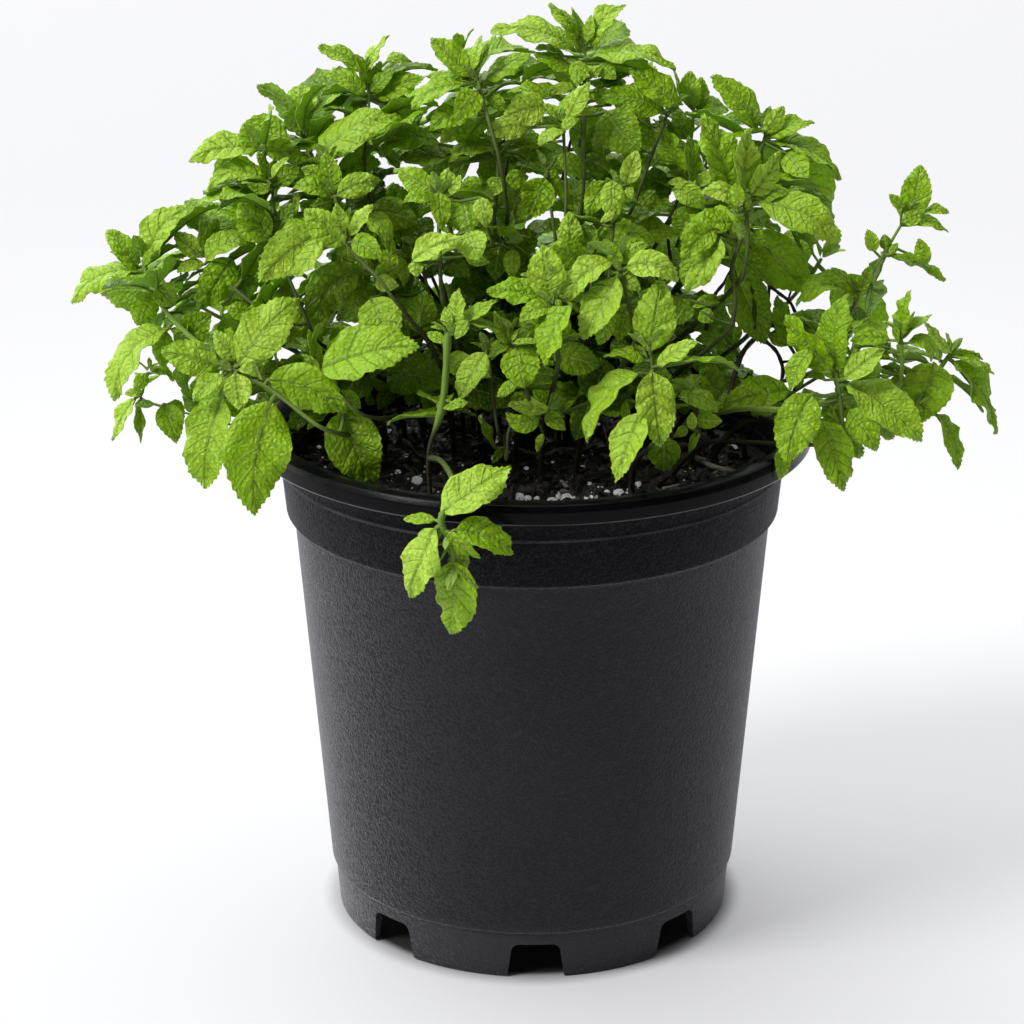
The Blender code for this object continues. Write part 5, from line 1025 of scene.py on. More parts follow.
    height = m.math("ADD", m.math("MULTIPLY", cell, 0.5), m.math("MULTIPLY", spots, 0.35))
    height = m.math("SUBTRACT", height, m.math("MULTIPLY", side_groove, 0.55))
    height = m.math("SUBTRACT", height, m.math("MULTIPLY", rib_wide, 0.6))
    flip = m.smooth(under, 0.4, 0.6, 1.0, -0.8)
    normal = m.bump(m.math("MULTIPLY", height, flip), 0.80, 0.00046)
    rough = m.math("ADD", m.math("MULTIPLY", spots, 0.16), m.smooth(under, 0.4, 0.6, 0.30, 0.50))

    skin = m.put("BsdfPrincipled")
    m.link(colour, skin.inputs["Base Color"])
    m.link(rough, skin.inputs["Roughness"])
    m.link(normal, skin.inputs["Normal"])
    skin.inputs["Specular IOR Level"].default_value = 0.40
    through = m.put("BsdfTranslucent")
    glow = m.mix(0.5, colour, (0.62, 0.80, 0.015))
    m.link(glow, through.inputs["Color"])
    m.link(normal, through.inputs["Normal"])
    both = m.put("MixShader")
    both.inputs[0].default_value = 0.37
    m.link(skin.outputs[0], both.inputs[1])
    m.link(through.outputs[0], both.inputs[2])
    m.link(both.outputs[0], m.out.inputs["Surface"])
    return m.mat


def stem_material():
    """Stem: fresh green and finely ridged at the top, brown and woody at the foot. The third channel darkens it to near
    black: painted shade inside the canopy, and the dark of old bare wood.
    """
    m = Nodes("mint_stalk")
    data = m.put("Attribute", attribute_name="stalk")
    parts = m.put("SeparateColor")
    m.link(data.outputs["Color"], parts.inputs[0])
    age, kin, dark = parts.outputs[0], parts.outputs[1], parts.outputs[2]
    place = m.put("TexCoord").outputs["Object"]
    grain = m.noise(place, 900.0, 2.0, 0.6)
    patch = m.noise(place, 160.0, 2.0, 0.5)
    fresh = m.mix(kin, (0.090, 0.180, 0.014), (0.190, 0.305, 0.042))
    old = m.mix(kin, (0.032, 0.030, 0.012), (0.085, 0.095, 0.026))
    turned_old = m.math("ADD", age, m.math("MULTIPLY", m.math("SUBTRACT", patch, 0.5), 0.5))
    body = m.mix(m.smooth(turned_old, 0.12, 0.55), old, fresh)
    body = m.mix(m.math("MULTIPLY", m.smooth(grain, 0.5, 0.75), 0.35), body, (0.10, 0.12, 0.03))
    # Darker to near black by the third channel: painted shade inside the canopy, and old bare wood.
    body = m.mix(m.math("MULTIPLY", dark, 0.97), body, (0.036, 0.030, 0.018))
    skin = m.put("BsdfPrincipled")
    m.link(body, skin.inputs["Base Color"])
    m.link(m.math("ADD", m.math("MULTIPLY", grain, 0.25), 0.48), skin.inputs["Roughness"])
    skin.inputs["Specular IOR Level"].default_value = 0.24
    m.link(m.bump(grain, 0.35, 0.0002), skin.inputs["Normal"])
    m.link(skin.outputs[0], m.out.inputs["Surface"])
    return m.mat


def pot_material():
    """Moulded charcoal plastic: a fine leather grain on the body, a smoother lip, and a little dust. Painted shade
    darkens the collar and the lip, painted highlight lines lie on the seam under the lip and on the lip's lower edge,
    and a painted reflection of the floor lightens the foot.
    """
    m = Nodes("charcoal_plastic_moulded")
    place = m.put("TexCoord").outputs["Object"]
    at = m.put("SeparateXYZ")
    m.link(place, at.inputs[0])
    lip = m.smooth(at.outputs[2], 0.1128, 0.1142)
    cells = m.put("TexVoronoi", feature="F1", in_Scale=1500.0, in_Randomness=1.0)
    m.link(place, cells.inputs["Vector"])
    fine = m.noise(place, 2600.0, 1.0, 0.6)
    soft = m.noise(place, 420.0, 2.0, 0.6)
    broad = m.noise(place, 34.0, 2.0, 0.55)
    long = m.put("Mapping")
    long.inputs["Scale"].default_value = (1.0, 1.0, 7.0)
    m.link(place, long.inputs["Vector"])
    bands = m.noise(long.outputs[0], 60.0, 3.0, 0.6)
    dust = m.noise(place, 1900.0, 2.0, 0.5)
    specks = m.math("MULTIPLY", m.smooth(dust, 0.735, 0.775), m.smooth(broad, 0.42, 0.62))
    body = m.mix(m.smooth(broad, 0.3, 0.7), (0.0040, 0.0040, 0.0066), (0.0066, 0.0066, 0.0100))
    body = m.mix(m.math("MULTIPLY", m.smooth(bands, 0.5, 0.75), 0.25), body, (0.018, 0.0185, 0.021))
    body = m.mix(m.math("MULTIPLY", specks, 0.35), body, (0.16, 0.16, 0.16))
    # Painted shade: the collar and, more, the lip are darker.
    body = m.mix(m.smooth(at.outputs[2], 0.0972, 0.0986, 0.0, 0.70), body, (0.0020, 0.0020, 0.0030))
    body = m.mix(m.smooth(at.outputs[2], 0.1128, 0.1142, 0.0, 0.80), body, (0.0014, 0.0014, 0.0018))
    # Painted highlight lines on the seam under the lip and on the lip's lower edge, broken up by noise.
    seam = m.smooth(m.math("ABSOLUTE", m.math("SUBTRACT", at.outputs[2], 0.1088)), 0.00012, 0.00042, 0.75, 0.0)
    rim = m.smooth(m.math("ABSOLUTE", m.math("SUBTRACT", at.outputs[2], 0.1146)), 0.00010, 0.00034, 0.70, 0.0)
    painted_highlight_lines = m.math("MULTIPLY", m.math("MAXIMUM", seam, rim), m.smooth(m.noise(place, 90.0, 3.0, 0.6), 0.30, 0.62, 0.35, 1.0))
    maze = m.math("ABSOLUTE", m.math("SUBTRACT", m.noise(place, 1050.0, 1.0, 0.4, 0.6), 0.5))
    ridge = m.math("MULTIPLY", m.smooth(maze, 0.0, 0.085, 1.0, 0.0), m.smooth(at.outputs[2], 0.1120, 0.1142, 1.0, 0.05))
    body = m.mix(m.math("MULTIPLY", ridge, 0.60), body, (0.023, 0.023, 0.029))
    body = m.mix(painted_highlight_lines, body, (0.105, 0.105, 0.118))
    # Painted reflection of the pale floor: the foot is lighter towards the bottom.
    body = m.mix(m.smooth(at.outputs[2], 0.009, 0.0145, 0.8, 0.0), body, (0.028, 0.028, 0.032))
    grain = m.math("ADD", m.math("MULTIPLY", cells.outputs["Distance"], 0.8), m.math("MULTIPLY", fine, 0.6))
    grain = m.math("ADD", grain, m.math("MULTIPLY", soft, 0.9))
    grain = m.math("ADD", grain, m.math("MULTIPLY", ridge, 0.9))
    height = m.math("MULTIPLY", grain, m.smooth(at.outputs[2], 0.1128, 0.1142, 1.0, 0.12))
    rough = m.math("ADD", m.math("MULTIPLY", bands, 0.10), m.smooth(at.outputs[2], 0.1128, 0.1142, 0.43, 0.22))
    skin = m.put("BsdfPrincipled")
    m.link(body, skin.inputs["Base Color"])
    m.link(rough, skin.inputs["Roughness"])
    m.link(m.bump(height, 0.52, 0.00024), skin.inputs["Normal"])
    gloss = m.math("ADD", m.smooth(at.outputs[2], 0.0972, 0.0986, 0.25, 0.075), m.smooth(at.outputs[2], 0.1128, 0.1142, 0.0, 0.02))
    m.link(gloss, skin.inputs["Specular IOR Level"])
    m.link(m.smooth(at.outputs[2], 0.0972, 0.0986, 0.42, 0.09), skin.inputs["Sheen Weight"])
    skin.inputs["Sheen Tint"].default_value = (0.94, 0.94, 1.0, 1.0)
    skin.inputs["Sheen Roughness"].default_value = 0.28
    m.link(skin.outputs[0], m.out.inputs["Surface"])
    return m.mat


def mix_material(name, light=0.0):
    """Damp peat and bark: nearly black, with brown and grey chips and wet glints."""
    m = Nodes(name)
    place = m.put("TexCoord").outputs["Object"]
    data = m.put("Attribute", attribute_name="chip")
    parts = m.put("SeparateColor")
    m.link(data.outputs["Color"], parts.inputs[0])
    kin = parts.outputs[0]
    crumbs = m.noise(place, 700.0, 5.0, 0.65)
    broad = m.noise(place, 90.0, 3.0, 0.6)
    body = m.mix(m.smooth(crumbs, 0.35, 0.7), (0.0100, 0.0090, 0.0080), (0.088, 0.074, 0.060))
    body = m.mix(m.math("MULTIPLY", m.smooth(broad, 0.55, 0.8), 0.5), body, (0.060, 0.044, 0.030))
    body = m.mix(m.math("MULTIPLY", m.smooth(kin, 0.86, 0.97), 0.8), body, (0.120, 0.085, 0.052))
    body = m.mix(m.math("MULTIPLY", m.smooth(kin, 0.93, 0.97), 0.85), body, (0.46, 0.43, 0.38))
    skin = m.put("BsdfPrincipled")
    m.link(body, skin.inputs["Base Color"])
    m.link(m.smooth(crumbs, 0.3, 0.7, 0.24, 0.80), skin.inputs["Roughness"])
    m.link(m.bump(crumbs, 0.8, 0.0006), skin.inputs["Normal"])
    m.link(skin.outputs[0], m.out.inputs["Surface"])
    return m.mat


def perlite_material():
    """Puffed volcanic glass: chalky white, pitted, with grey in its pits. It glows faintly in its own colour, a painted
    light.
    """
    m = Nodes("perlite_puffed")
    place = m.put("TexCoord").outputs["Object"]
    pits = m.noise(place, 1700.0, 4.0, 0.65)
    broad = m.noise(place, 260.0, 2.0, 0.5)
    body = m.mix(m.smooth(pits, 0.26, 0.50), (0.60, 0.58, 0.56), (0.98, 0.98, 0.97))
    body = m.mix(m.math("MULTIPLY", m.smooth(broad, 0.5, 0.8), 0.4), body, (0.70, 0.67, 0.62))
    skin = m.put("BsdfPrincipled")
    m.link(body, skin.inputs["Base Color"])
    m.link(m.smooth(pits, 0.3, 0.7, 0.6, 0.9), skin.inputs["Roughness"])
    # Painted light: the grains glow a little.
    m.link(body, skin.inputs["Emission Color"])
    skin.inputs["Emission Strength"].default_value = 0.13
    m.link(m.bump(pits, 0.9, 0.0006), skin.inputs["Normal"])
    m.link(skin.outputs[0], m.out.inputs["Surface"])
    return m.mat


def root_material():
    """Dead fibres and rootlets: pale straw to grey brown."""
    m = Nodes("rootlet")
    place = m.put("TexCoord").outputs["Object"]
    data = m.put("Attribute", attribute_name="stalk")
    parts = m.put("SeparateColor")
    m.link(data.outputs["Color"], parts.inputs[0])
    grain = m.noise(place, 800.0, 3.0, 0.6)
    body = m.mix(parts.outputs[1], (0.060, 0.046, 0.030), (0.56, 0.52, 0.42))
    body = m.mix(m.math("MULTIPLY", m.smooth(grain, 0.45, 0.7), 0.5), body, (0.05, 0.04, 0.03))
    skin = m.put("BsdfPrincipled")
    m.link(body, skin.inputs["Base Color"])
    m.link(m.math("ADD", m.math("MULTIPLY", grain, 0.3), 0.45), skin.inputs["Roughness"])
    m.link(m.bump(grain, 0.4, 0.0002), skin.inputs["Normal"])
    m.link(skin.outputs[0], m.out.inputs["Surface"])
    return m.mat


def floor_material():
    m = Nodes("pale_paper")
    place = m.put("TexCoord").outputs["Object"]
    haze = m.noise(place, 1.6, 2.0, 0.5)
    body = m.mix(haze, (0.428, 0.428, 0.442), (0.446, 0.446, 0.460))
    skin = m.put("BsdfPrincipled")
    m.link(body, skin.inputs["Base Color"])
    skin.inputs["Roughness"].default_value = 0.75
    skin.inputs["Emission Color"].default_value = (0.97, 0.97, 1.0, 1.0)
    at = m.put("SeparateXYZ")
    m.link(place, at.inputs[0])
    far = m.math("SQRT", m.math("ADD", m.math("MULTIPLY", at.outputs[0], at.outputs[0]), m.math("MULTIPLY", at.outputs[1], at.outputs[1])))
    # Painted light: the floor glows, lifting the shadows, except under the pot.
    m.link(m.smooth(far, 0.0455, 0.0510, 0.0, 0.31), skin.inputs["Emission Strength"])
    # Painted fall-off of the light: the floor is darker away from the pot.
    body = m.mix(m.smooth(far, 0.08, 0.80), body, (0.352, 0.352, 0.364))
    # Painted shadow: the floor under the pot is near black.
    body = m.mix(m.smooth(far, 0.0430, 0.0460, 1.0, 0.0), body, (0.02, 0.02, 0.02))
    m.link(body, skin.inputs["Base Color"])
    m.link(skin.outputs[0], m.out.inputs["Surface"])
    return m.mat


# ---------------------------------------------------------------- meshes
class Cloth:
    """Vertices, faces, UV maps and one colour per vertex, gathered from many small meshes."""

    def __init__(self):
        self.verts, self.faces, self.colour, self.uvs = [], [], [], []
        self.count = 0

    def add(self, verts, faces, colour, uvs=()):
        """verts: n x 3 in millimetres; faces: tuples; colour: n x 3 or one triple; uvs: per-vertex n x 2 arrays."""
        verts = np.asarray(verts, float)
        n = len(verts)
        colour = np.asarray(colour, float)
        if colour.ndim == 1:
            colour = np.tile(colour, (n, 1))
        self.verts.append(verts)
        self.faces.extend([tuple(i + self.count for i in face) for face in faces])
        self.colour.append(colour)
        self.uvs.append([np.asarray(uv, float) for uv in uvs])
        self.count += n

    def make(self, name, attribute, mat, body="root", uv_names=(), sharp=None):
        verts = np.concatenate(self.verts) * MM
        mesh = bpy.data.meshes.new(name)
        mesh.from_pydata(verts.tolist(), [], self.faces)
        mesh.update()
        colour = np.concatenate(self.colour)
        layer = mesh.attributes.new(attribute, "FLOAT_COLOR", "POINT")
        rgba = np.ones((len(verts), 4), np.float32)
        rgba[:, :3] = colour
        layer.data.foreach_set("color", rgba.ravel())
        corner = np.empty(len(mesh.loops), np.int32)
        mesh.loops.foreach_get("vertex_index", corner)
        for k, uv_name in enumerate(uv_names):
            flat = np.concatenate([uvs[k] for uvs in self.uvs]).astype(np.float32)
            uv = mesh.uv_layers.new(name=uv_name)
            uv.data.foreach_set("uv", flat[corner].ravel())
        mesh.shade_smooth()
        if sharp:
            mesh.set_sharp_from_angle(angle=math.radians(sharp))
        mesh.materials.append(mat)
        obj = bpy.data.objects.new(name, mesh)
        bpy.context.scene.collection.objects.link(obj)
        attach(obj, body)
        return obj


def unit(v):
    return v / np.maximum(np.linalg.norm(v, axis=-1, keepdims=True), 1e-9)


def blade(leaf, start, rng, detail=2):
    """One detailed blade: toothed edge, rows that follow the side veins, quilting, fold, droop and twist.
    Returns vertices, faces, colours and the two UV maps."""
    base, bow, tip = (np.array(v, float) for v in (leaf.base, leaf.bow, leaf.tip))
    normal = np.array(leaf.normal, float)
    length = float(np.linalg.norm(tip - base))
    pairs = 4 if length < 5.5 else 5 if length < 10.0 else 6 if length < 16.0 else 7
    if detail == 2 and length < 8.5:
        detail = 1
    if detail == 0:
        pairs = 3
    per = 3 if detail == 2 else 2
    rows = pairs * per + 3
    half_cols = (2, 3, 4 if length < 11.0 else 5 if length < 20.0 else 6)[detail]
    T = (np.arange(1, rows) / rows)[:, None]
    s = np.arange(-half_cols, half_cols + 1) / half_cols
    s = (np.sign(s) * np.abs(s) ** 1.1)[None, :]
    edge = T + rng.uniform(0.78, 0.92) * T * (1 - T)
    t = T + (edge - T) * np.abs(s) ** rng.uniform(1.05, 1.3)
    a, b = rng.uniform(0.74, 0.88), rng.uniform(0.68, 0.88)
    outline = np.sin(np.pi * np.clip(edge, 0, 1) ** a) ** b
    # Teeth: two to each vein, pointing ahead.
    beat = (np.arange(1, rows) % 2)[:, None]
    tooth = np.where(beat == 1, 0.026, -0.026) * (0.4 + 0.6 * np.sin(np.pi * np.clip(T, 0, 1)))
    tooth = tooth * (1 + 0.6 * (np.array([rng.random() for _ in range(rows - 1)])[:, None] - 0.5))
    wide = leaf.half * (outline + tooth * np.clip(edge * 6, 0, 1))
    x = s * wide
    t = t + np.abs(s) ** 4 * np.where(beat == 1, 0.012, -0.006)
    t = np.clip(t, 0, 0.998)

    ahead = unit((bow - base) * (1 - t[..., None]) + (tip - bow) * t[..., None])
    up = unit(normal - ahead * (ahead @ normal)[..., None])
    side = np.cross(ahead, up)
    twist = math.radians(rng.uniform(-26, 26)) * (t - 0.25)
    up, side = (up * np.cos(twist)[..., None] + side * np.sin(twist)[..., None],
                side * np.cos(twist)[..., None] - up * np.sin(twist)[..., None])
    rib = base * ((1 - t) ** 2)[..., None] + bow * (2 * t * (1 - t))[..., None] + tip * (t**2)[..., None]

    fold = leaf.fold * (1.0 - 0.5 * t)
    cup = rng.uniform(-0.10, 0.16)
    k = np.abs(x)
    lift = np.sin(fold) * k - cup * k * k / max(leaf.half, 1.0)
    reach = x * np.cos(fold)
    phase = (T * pairs) % 1.0
    bulge = np.sin(np.pi * phase) ** 0.7
    inner = np.clip(np.abs(s) * 6.0, 0, 1) * (1.0 - 0.75 * np.abs(s) ** 2.5)
    strength = rng.uniform(0.42, 0.78) * min(1.0, length / 18.0)
    quilt = strength * bulge * inner
    seed = Vector((rng.uniform(-50, 50), rng.uniform(-50, 50), rng.uniform(-50, 50)))
    rough = np.empty_like(x)
    wave = np.empty_like(x)
    size = 1.0 / max(2.0, length * 0.16)
    for i in range(x.shape[0]):
        for j in range(x.shape[1]):
            p = Vector((float(t[i, j]) * length, float(x[i, j]), 0.0))
            rough[i, j] = noise.noise(p * 0.75 + seed)
            wave[i, j] = noise.noise(p * size + seed * 1.7)
    lift = lift + quilt + 0.16 * min(1.0, length / 14.0) * rough * np.clip(np.abs(s) * 3, 0, 1)
    lift = lift + wave * 0.075 * length * (0.25 + s * s)
    curl = rng.uniform(-0.02, 0.11)
    lift = lift - curl * length * np.clip(t - 0.45, 0, 1) ** 2 * 3.3
    ripple = rng.uniform(0.012, 0.040) * length
    lift = lift + ripple * np.sin(edge * math.pi * rng.uniform(3.0, 5.5) + rng.uniform(0, 6.3) + np.sign(s) * rng.uniform(0.3, 2.0)) * np.abs(s) ** 2.2 * np.sin(np.pi * np.clip(edge, 0, 1))

    top = rib + side * reach[..., None] + up * lift[..., None]
    thick = (0.15 + 0.012 * length) * (1.0 - 0.55 * np.abs(s) ** 2)
    # Offset along the folded surface's own normal.
    tilt = np.sign(s) * fold
    out = up * np.cos(tilt)[..., None] - side * np.sin(tilt)[..., None]
    low = top - out * thick[..., None]
    n_rows, n_cols = x.shape
    end = tip + (tip - bow) / max(np.linalg.norm(tip - bow), 1e-6) * 0.1
    end_up = up[-1, half_cols]
    drop = -curl * length * 0.55**2 * 3.3
    verts = np.concatenate([top.reshape(-1, 3), low.reshape(-1, 3), [base], [end + end_up * drop]])
    one = n_rows * n_cols
    first, last = 2 * one, 2 * one + 1
    faces = []
    for i in range(n_rows - 1):
        for j in range(n_cols - 1):
            p = i * n_cols + j
            q = p + n_cols
            faces.append((p, q, q + 1, p + 1))
            faces.append((one + p, one + p + 1, one + q + 1, one + q))
    for j in range(n_cols - 1):
        q = (n_rows - 1) * n_cols + j
        faces.append((first, j, j + 1))
        faces.append((first, one + j + 1, one + j))
        faces.append((q, last, q + 1))
        faces.append((one + q + 1, last, one + q))
    c = n_cols - 1
    for i in range(n_rows - 1):
        p, q = i * n_cols, (i + 1) * n_cols
        faces.append((p, one + p, one + q, q))
        faces.append((p + c, q + c, one + q + c, one + p + c))
    q = (n_rows - 1) * n_cols
    faces += [(first, one, 0), (first, c, one + c), (last, q, one + q), (last, one + q + c, q + c)]
    tone = min(1.0, max(0.0, 0.5 + 0.5 * leaf.tone + rng.uniform(-0.10, 0.10)))
    kin = rng.random()
    colour = np.empty((len(verts), 3))
    colour[:] = (tone, kin, 0.0)
    colour[one : 2 * one, 2] = 1.0
    colour[first, 2] = colour[last, 2] = 0.5
    vein = np.stack([np.broadcast_to(T * pairs, x.shape), np.broadcast_to(s, x.shape)], -1).reshape(-1, 2)
    span = np.stack([t * length, x], -1).reshape(-1, 2)
    vein = np.concatenate([vein, vein, [(0.0, 0.0), (float(pairs), 0.0)]])
    span = np.concatenate([span, span, [(0.0, 0.0), (length, 0.0)]])
    return verts, faces, colour, (vein, span)


def rope(points, radii, sides=8, square=0.0):
    """A closed tube through dense points: vertices and faces. square flattens its sides, as on a mint stem."""
    pts = np.array([tuple(p) for p in points], float)
    n = len(pts)
    ahead = np.empty_like(pts)
    ahead[1:-1] = pts[2:] - pts[:-2]
    ahead[0], ahead[-1] = pts[1] - pts[0], pts[-1] - pts[-2]
    ahead = unit(ahead)
    side = np.cross(ahead[0], (0.0, 0.0, 1.0) if abs(ahead[0][2]) < 0.9 else (1.0, 0.0, 0.0))
    side = side / np.linalg.norm(side)
    turn = 2 * np.pi * np.arange(sides) / sides
    shape = 1.0 - square * (0.5 - 0.5 * np.cos(4 * turn))
    verts = []
    for i in range(n):
        side = side - ahead[i] * side.dot(ahead[i])
        side = side / np.linalg.norm(side)
        other = np.cross(ahead[i], side)
        ring = pts[i] + radii[i] * shape[:, None] * (np.cos(turn)[:, None] * side + np.sin(turn)[:, None] * other)
        verts.append(ring)
    verts = np.concatenate(verts + [[pts[0]], [pts[-1] + ahead[-1] * radii[-1] * 0.5]])
    faces = []
    for i in range(n - 1):
        for k in range(sides):
            a, b = i * sides + k, i * sides + (k + 1) % sides
            faces.append((a, b, b + sides, a + sides))
    low, high = n * sides, n * sides + 1
    for k in range(sides):
        j = (k + 1) % sides
        faces.append((low, j, k))
        faces.append((high, (n - 1) * sides + k, (n - 1) * sides + j))
    return verts, faces


def smooth_line(points, per=5):
    """Dense curve through a stem's stations, and how to find the place of a (span, share) on it."""
    ends = [points[0] * 2 - points[1]] + list(points) + [points[-1] * 2 - points[-2]]
    dense = []
    for i in range(len(points) - 1):
        for k in range(per):
            dense.append(catmull(ends[i : i + 4], k / per))
    dense.append(points[-1].copy())
    return dense, ends


def rounded(corners, steps=4):
    """The profile with each corner that has a radius turned into an arc: corners are (radius, height, fillet)."""
    out = []
    n = len(corners)
    for i, (r, z, fillet) in enumerate(corners):
        if not fillet or i in (0, n - 1):
            out.append((r, z))
            continue
        p = Vector((r, z))
        a = Vector(corners[i - 1][:2]) - p
        b = Vector(corners[i + 1][:2]) - p
        ua, ub = a.normalized(), b.normalized()
        half = math.acos(max(-1.0, min(1.0, ua.dot(ub)))) / 2
        cut = min(fillet / math.tan(half), a.length * 0.45, b.length * 0.45)
        radius = cut * math.tan(half)
        centre = p + (ua + ub).normalized() * (radius / math.sin(half))
        u0, u1 = (p + ua * cut) - centre, (p + ub * cut) - centre
        total = u0.angle(u1)
        spin = 1.0 if u0.x * u1.y - u0.y * u1.x > 0 else -1.0
        for k in range(steps + 1):
            turn = spin * total * k / steps
            out.append((centre.x + u0.x * math.cos(turn) - u0.y * math.sin(turn), centre.y + u0.x * math.sin(turn) + u0.y * math.cos(turn)))
    return out


# ---------------------------------------------------------------- the pot
def edge_notch(turn):
    """A tapered wedge with round upper corners, through the foot ring."""
    outline = rounded([(6.6, -1.0, 0.0), (5.30, 8.4, 1.9), (-5.30, 8.4, 1.9), (-6.6, -1.0, 0.0)], steps=6)
    n = len(outline)
    verts = []
    for r in (40.0, 50.0):
        for half, z in outline:
            verts.append((r * math.cos(turn) - half * math.sin(turn), r * math.sin(turn) + half * math.cos(turn), z))
    faces = [tuple(range(n)), tuple(range(2 * n - 1, n - 1, -1))]
    for k in range(n):
        j = (k + 1) % n
        faces.append((k, n + k, n + j, j))
    return verts, faces


def long_hole(x, y, rx, ry, sides=32):
    heading = math.atan2(y, x)
    verts = []
    for z in (FLOOR_Z - 1.0, FLOOR_Z + WALL + 1.2):
        for k in range(sides):
            turn = 2 * math.pi * k / sides
            a, b = rx * math.cos(turn), ry * math.sin(turn)
            verts.append((x + a * math.cos(heading) - b * math.sin(heading), y + a * math.sin(heading) + b * math.cos(heading), z))
    faces = [tuple(range(sides - 1, -1, -1)), tuple(range(sides, 2 * sides))]
    for k in range(sides):
        j = (k + 1) % sides
        faces.append((k, j, sides + j, sides + k))
    return verts, faces


def raw(name, verts, faces, mat=None):
    """A mesh in metres from points in millimetres, turned to face out."""
    mesh = bpy.data.meshes.new(name)
    points = np.array([tuple(v) for v in verts], float)
    inside = 0.0
    for face in faces:
        for k in range(1, len(face) - 1):
            inside += float(np.dot(points[face[0]], np.cross(points[face[k]], points[face[k + 1]])))
    if inside < 0:
        faces = [tuple(reversed(face)) for face in faces]
    mesh.from_pydata([tuple(c * MM for c in v) for v in verts], [], faces)
    mesh.update()
    if mat:
        mesh.materials.append(mat)
    obj = bpy.data.objects.new(name, mesh)
    bpy.context.scene.collection.objects.link(obj)
    return obj


def make_pot(mat):
    corners = [
        (0, FLOOR_Z, 0), (44.2, FLOOR_Z, 0.8), (44.9, 0.0, 0.35), (46.1, 0.0, 0.5), (46.9, 11.2, 0.8), (47.7, 11.9, 0.7),
        (54.6, 97.3, 1.6), (56.3, 98.1, 0.9), (57.30, 108.7, 0.7), (56.95, 109.2, 0.6), (57.35, 113.6, 1.6), (63.15, 114.45, 0.35),
        (63.5, 114.9, 0.3), (63.35, 117.4, 1.0), (62.6, 118.75, 0.7), (60.8, 118.9, 0.8), (59.0, 118.75, 0.8), (58.3, 117.9, 0.7), (56.4, 113.8, 1.5),
        (55.1, 98.6, 1.0), (53.3, 97.2, 1.0), (46.6, 12.4, 1.6), (45.4, FLOOR_Z + WALL, 0.6), (0, FLOOR_Z + WALL, 0)]
    outline = rounded(corners, steps=5)
    dense = []
    for (r0, z0), (r1, z1) in zip(outline, outline[1:]):
        dense.append((r0, z0))
        span = math.hypot(r1 - r0, z1 - z0)
        if span > 12.0 and r0 > 0 and r1 > 0:
            for k in range(1, 6):
                dense.append((r0 + (r1 - r0) * k / 6, z0 + (z1 - z0) * k / 6))
    dense.append(outline[-1])
    verts, faces = turned(dense, 192)
    pot = raw("nursery_pot", verts, faces, mat)
    cutters = [raw("notch", *edge_notch(math.radians(-89.0 + 45.0 * k))) for k in range(NOTCHES)]
    cutters.append(raw("hole", *long_hole(0.001, 0.0, 5.0, 5.0)))
    for k in range(4):
        turn = math.radians(45.0 + 90.0 * k)
        cutters.append(raw("hole", *long_hole(33.0 * math.cos(turn), 33.0 * math.sin(turn), 3.0, 8.0)))
    group = bpy.data.collections.new("cutters")
    bpy.context.scene.collection.children.link(group)
    for cutter in cutters:
        group.objects.link(cutter)
        bpy.context.scene.collection.objects.unlink(cutter)
    cut = pot.modifiers.new("cut", "BOOLEAN")
    cut.operation, cut.solver, cut.operand_type = "DIFFERENCE", "EXACT", "COLLECTION"
    cut.collection = group
    graph = bpy.context.evaluated_depsgraph_get()
    shape = bpy.data.meshes.new_from_object(pot.evaluated_get(graph))
    pot.modifiers.clear()
    old = pot.data
    pot.data = shape
    bpy.data.meshes.remove(old)
    for cutter in cutters:
        bpy.data.objects.remove(cutter)
    bpy.data.collections.remove(group)
    shape.shade_smooth()
    shape.set_sharp_from_angle(angle=math.radians(32))
    if not shape.materials:
        shape.materials.append(mat)
    pot.name = "nursery_pot"
    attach(pot, "root")
    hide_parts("pot")


# ---------------------------------------------------------------- the potting mix
def soil_height(x, y):
    """Height of the uneven top of the mix at a place."""
    p = Vector((x, y, 3.7))
    r = math.hypot(x, y)
    h = 1.5 * noise.noise(p * 0.085) + 1.0 * noise.noise(p * 0.24) + 0.55 * noise.noise(p * 0.75) + 0.25 * noise.noise(p * 1.9)
    return SOIL_TOP + h - 1.3 * max(0.0, (r - 49.0) / 6.0) ** 2


def make_soil(mat):
    radius = inner_radius(SOIL_TOP) - 0.25
    sides, rings = 168, 60
    verts = [(0.0, 0.0, soil_height(0.0, 0.0))]
    for i in range(1, rings + 1):
        r = radius * (i / rings) ** 0.92
        for k in range(sides):
            turn = 2 * math.pi * k / sides
            x, y = r * math.cos(turn), r * math.sin(turn)
            verts.append((x, y, soil_height(x, y)))
    low = FLOOR_Z + WALL + 0.2
    for r, z in ((inner_radius(98.8) - 0.35, 98.8), (inner_radius(96.5) - 0.3, 96.5), (46.6 - 0.3, 12.6), (45.0, low)):
        for k in range(sides):
            turn = 2 * math.pi * k / sides
            verts.append((r * math.cos(turn), r * math.sin(turn), z))
    verts.append((0.0, 0.0, low))
    faces = [(0, 1 + k, 1 + (k + 1) % sides) for k in range(sides)]
    total = rings + 4
    for i in range(total - 1):
        for k in range(sides):
            a, b = 1 + i * sides + k, 1 + i * sides + (k + 1) % sides
            faces.append((a, a + sides, b + sides, b))
    end = 1 + (total - 1) * sides
    for k in range(sides):
        faces.append((end + k, len(verts) - 1, end + (k + 1) % sides))
    cloth = Cloth()
    cloth.add(verts, faces, (0.3, 0.0, 0.0))
    soil = cloth.make("potting_mix", "chip", mat, sharp=50)
    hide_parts("soil")


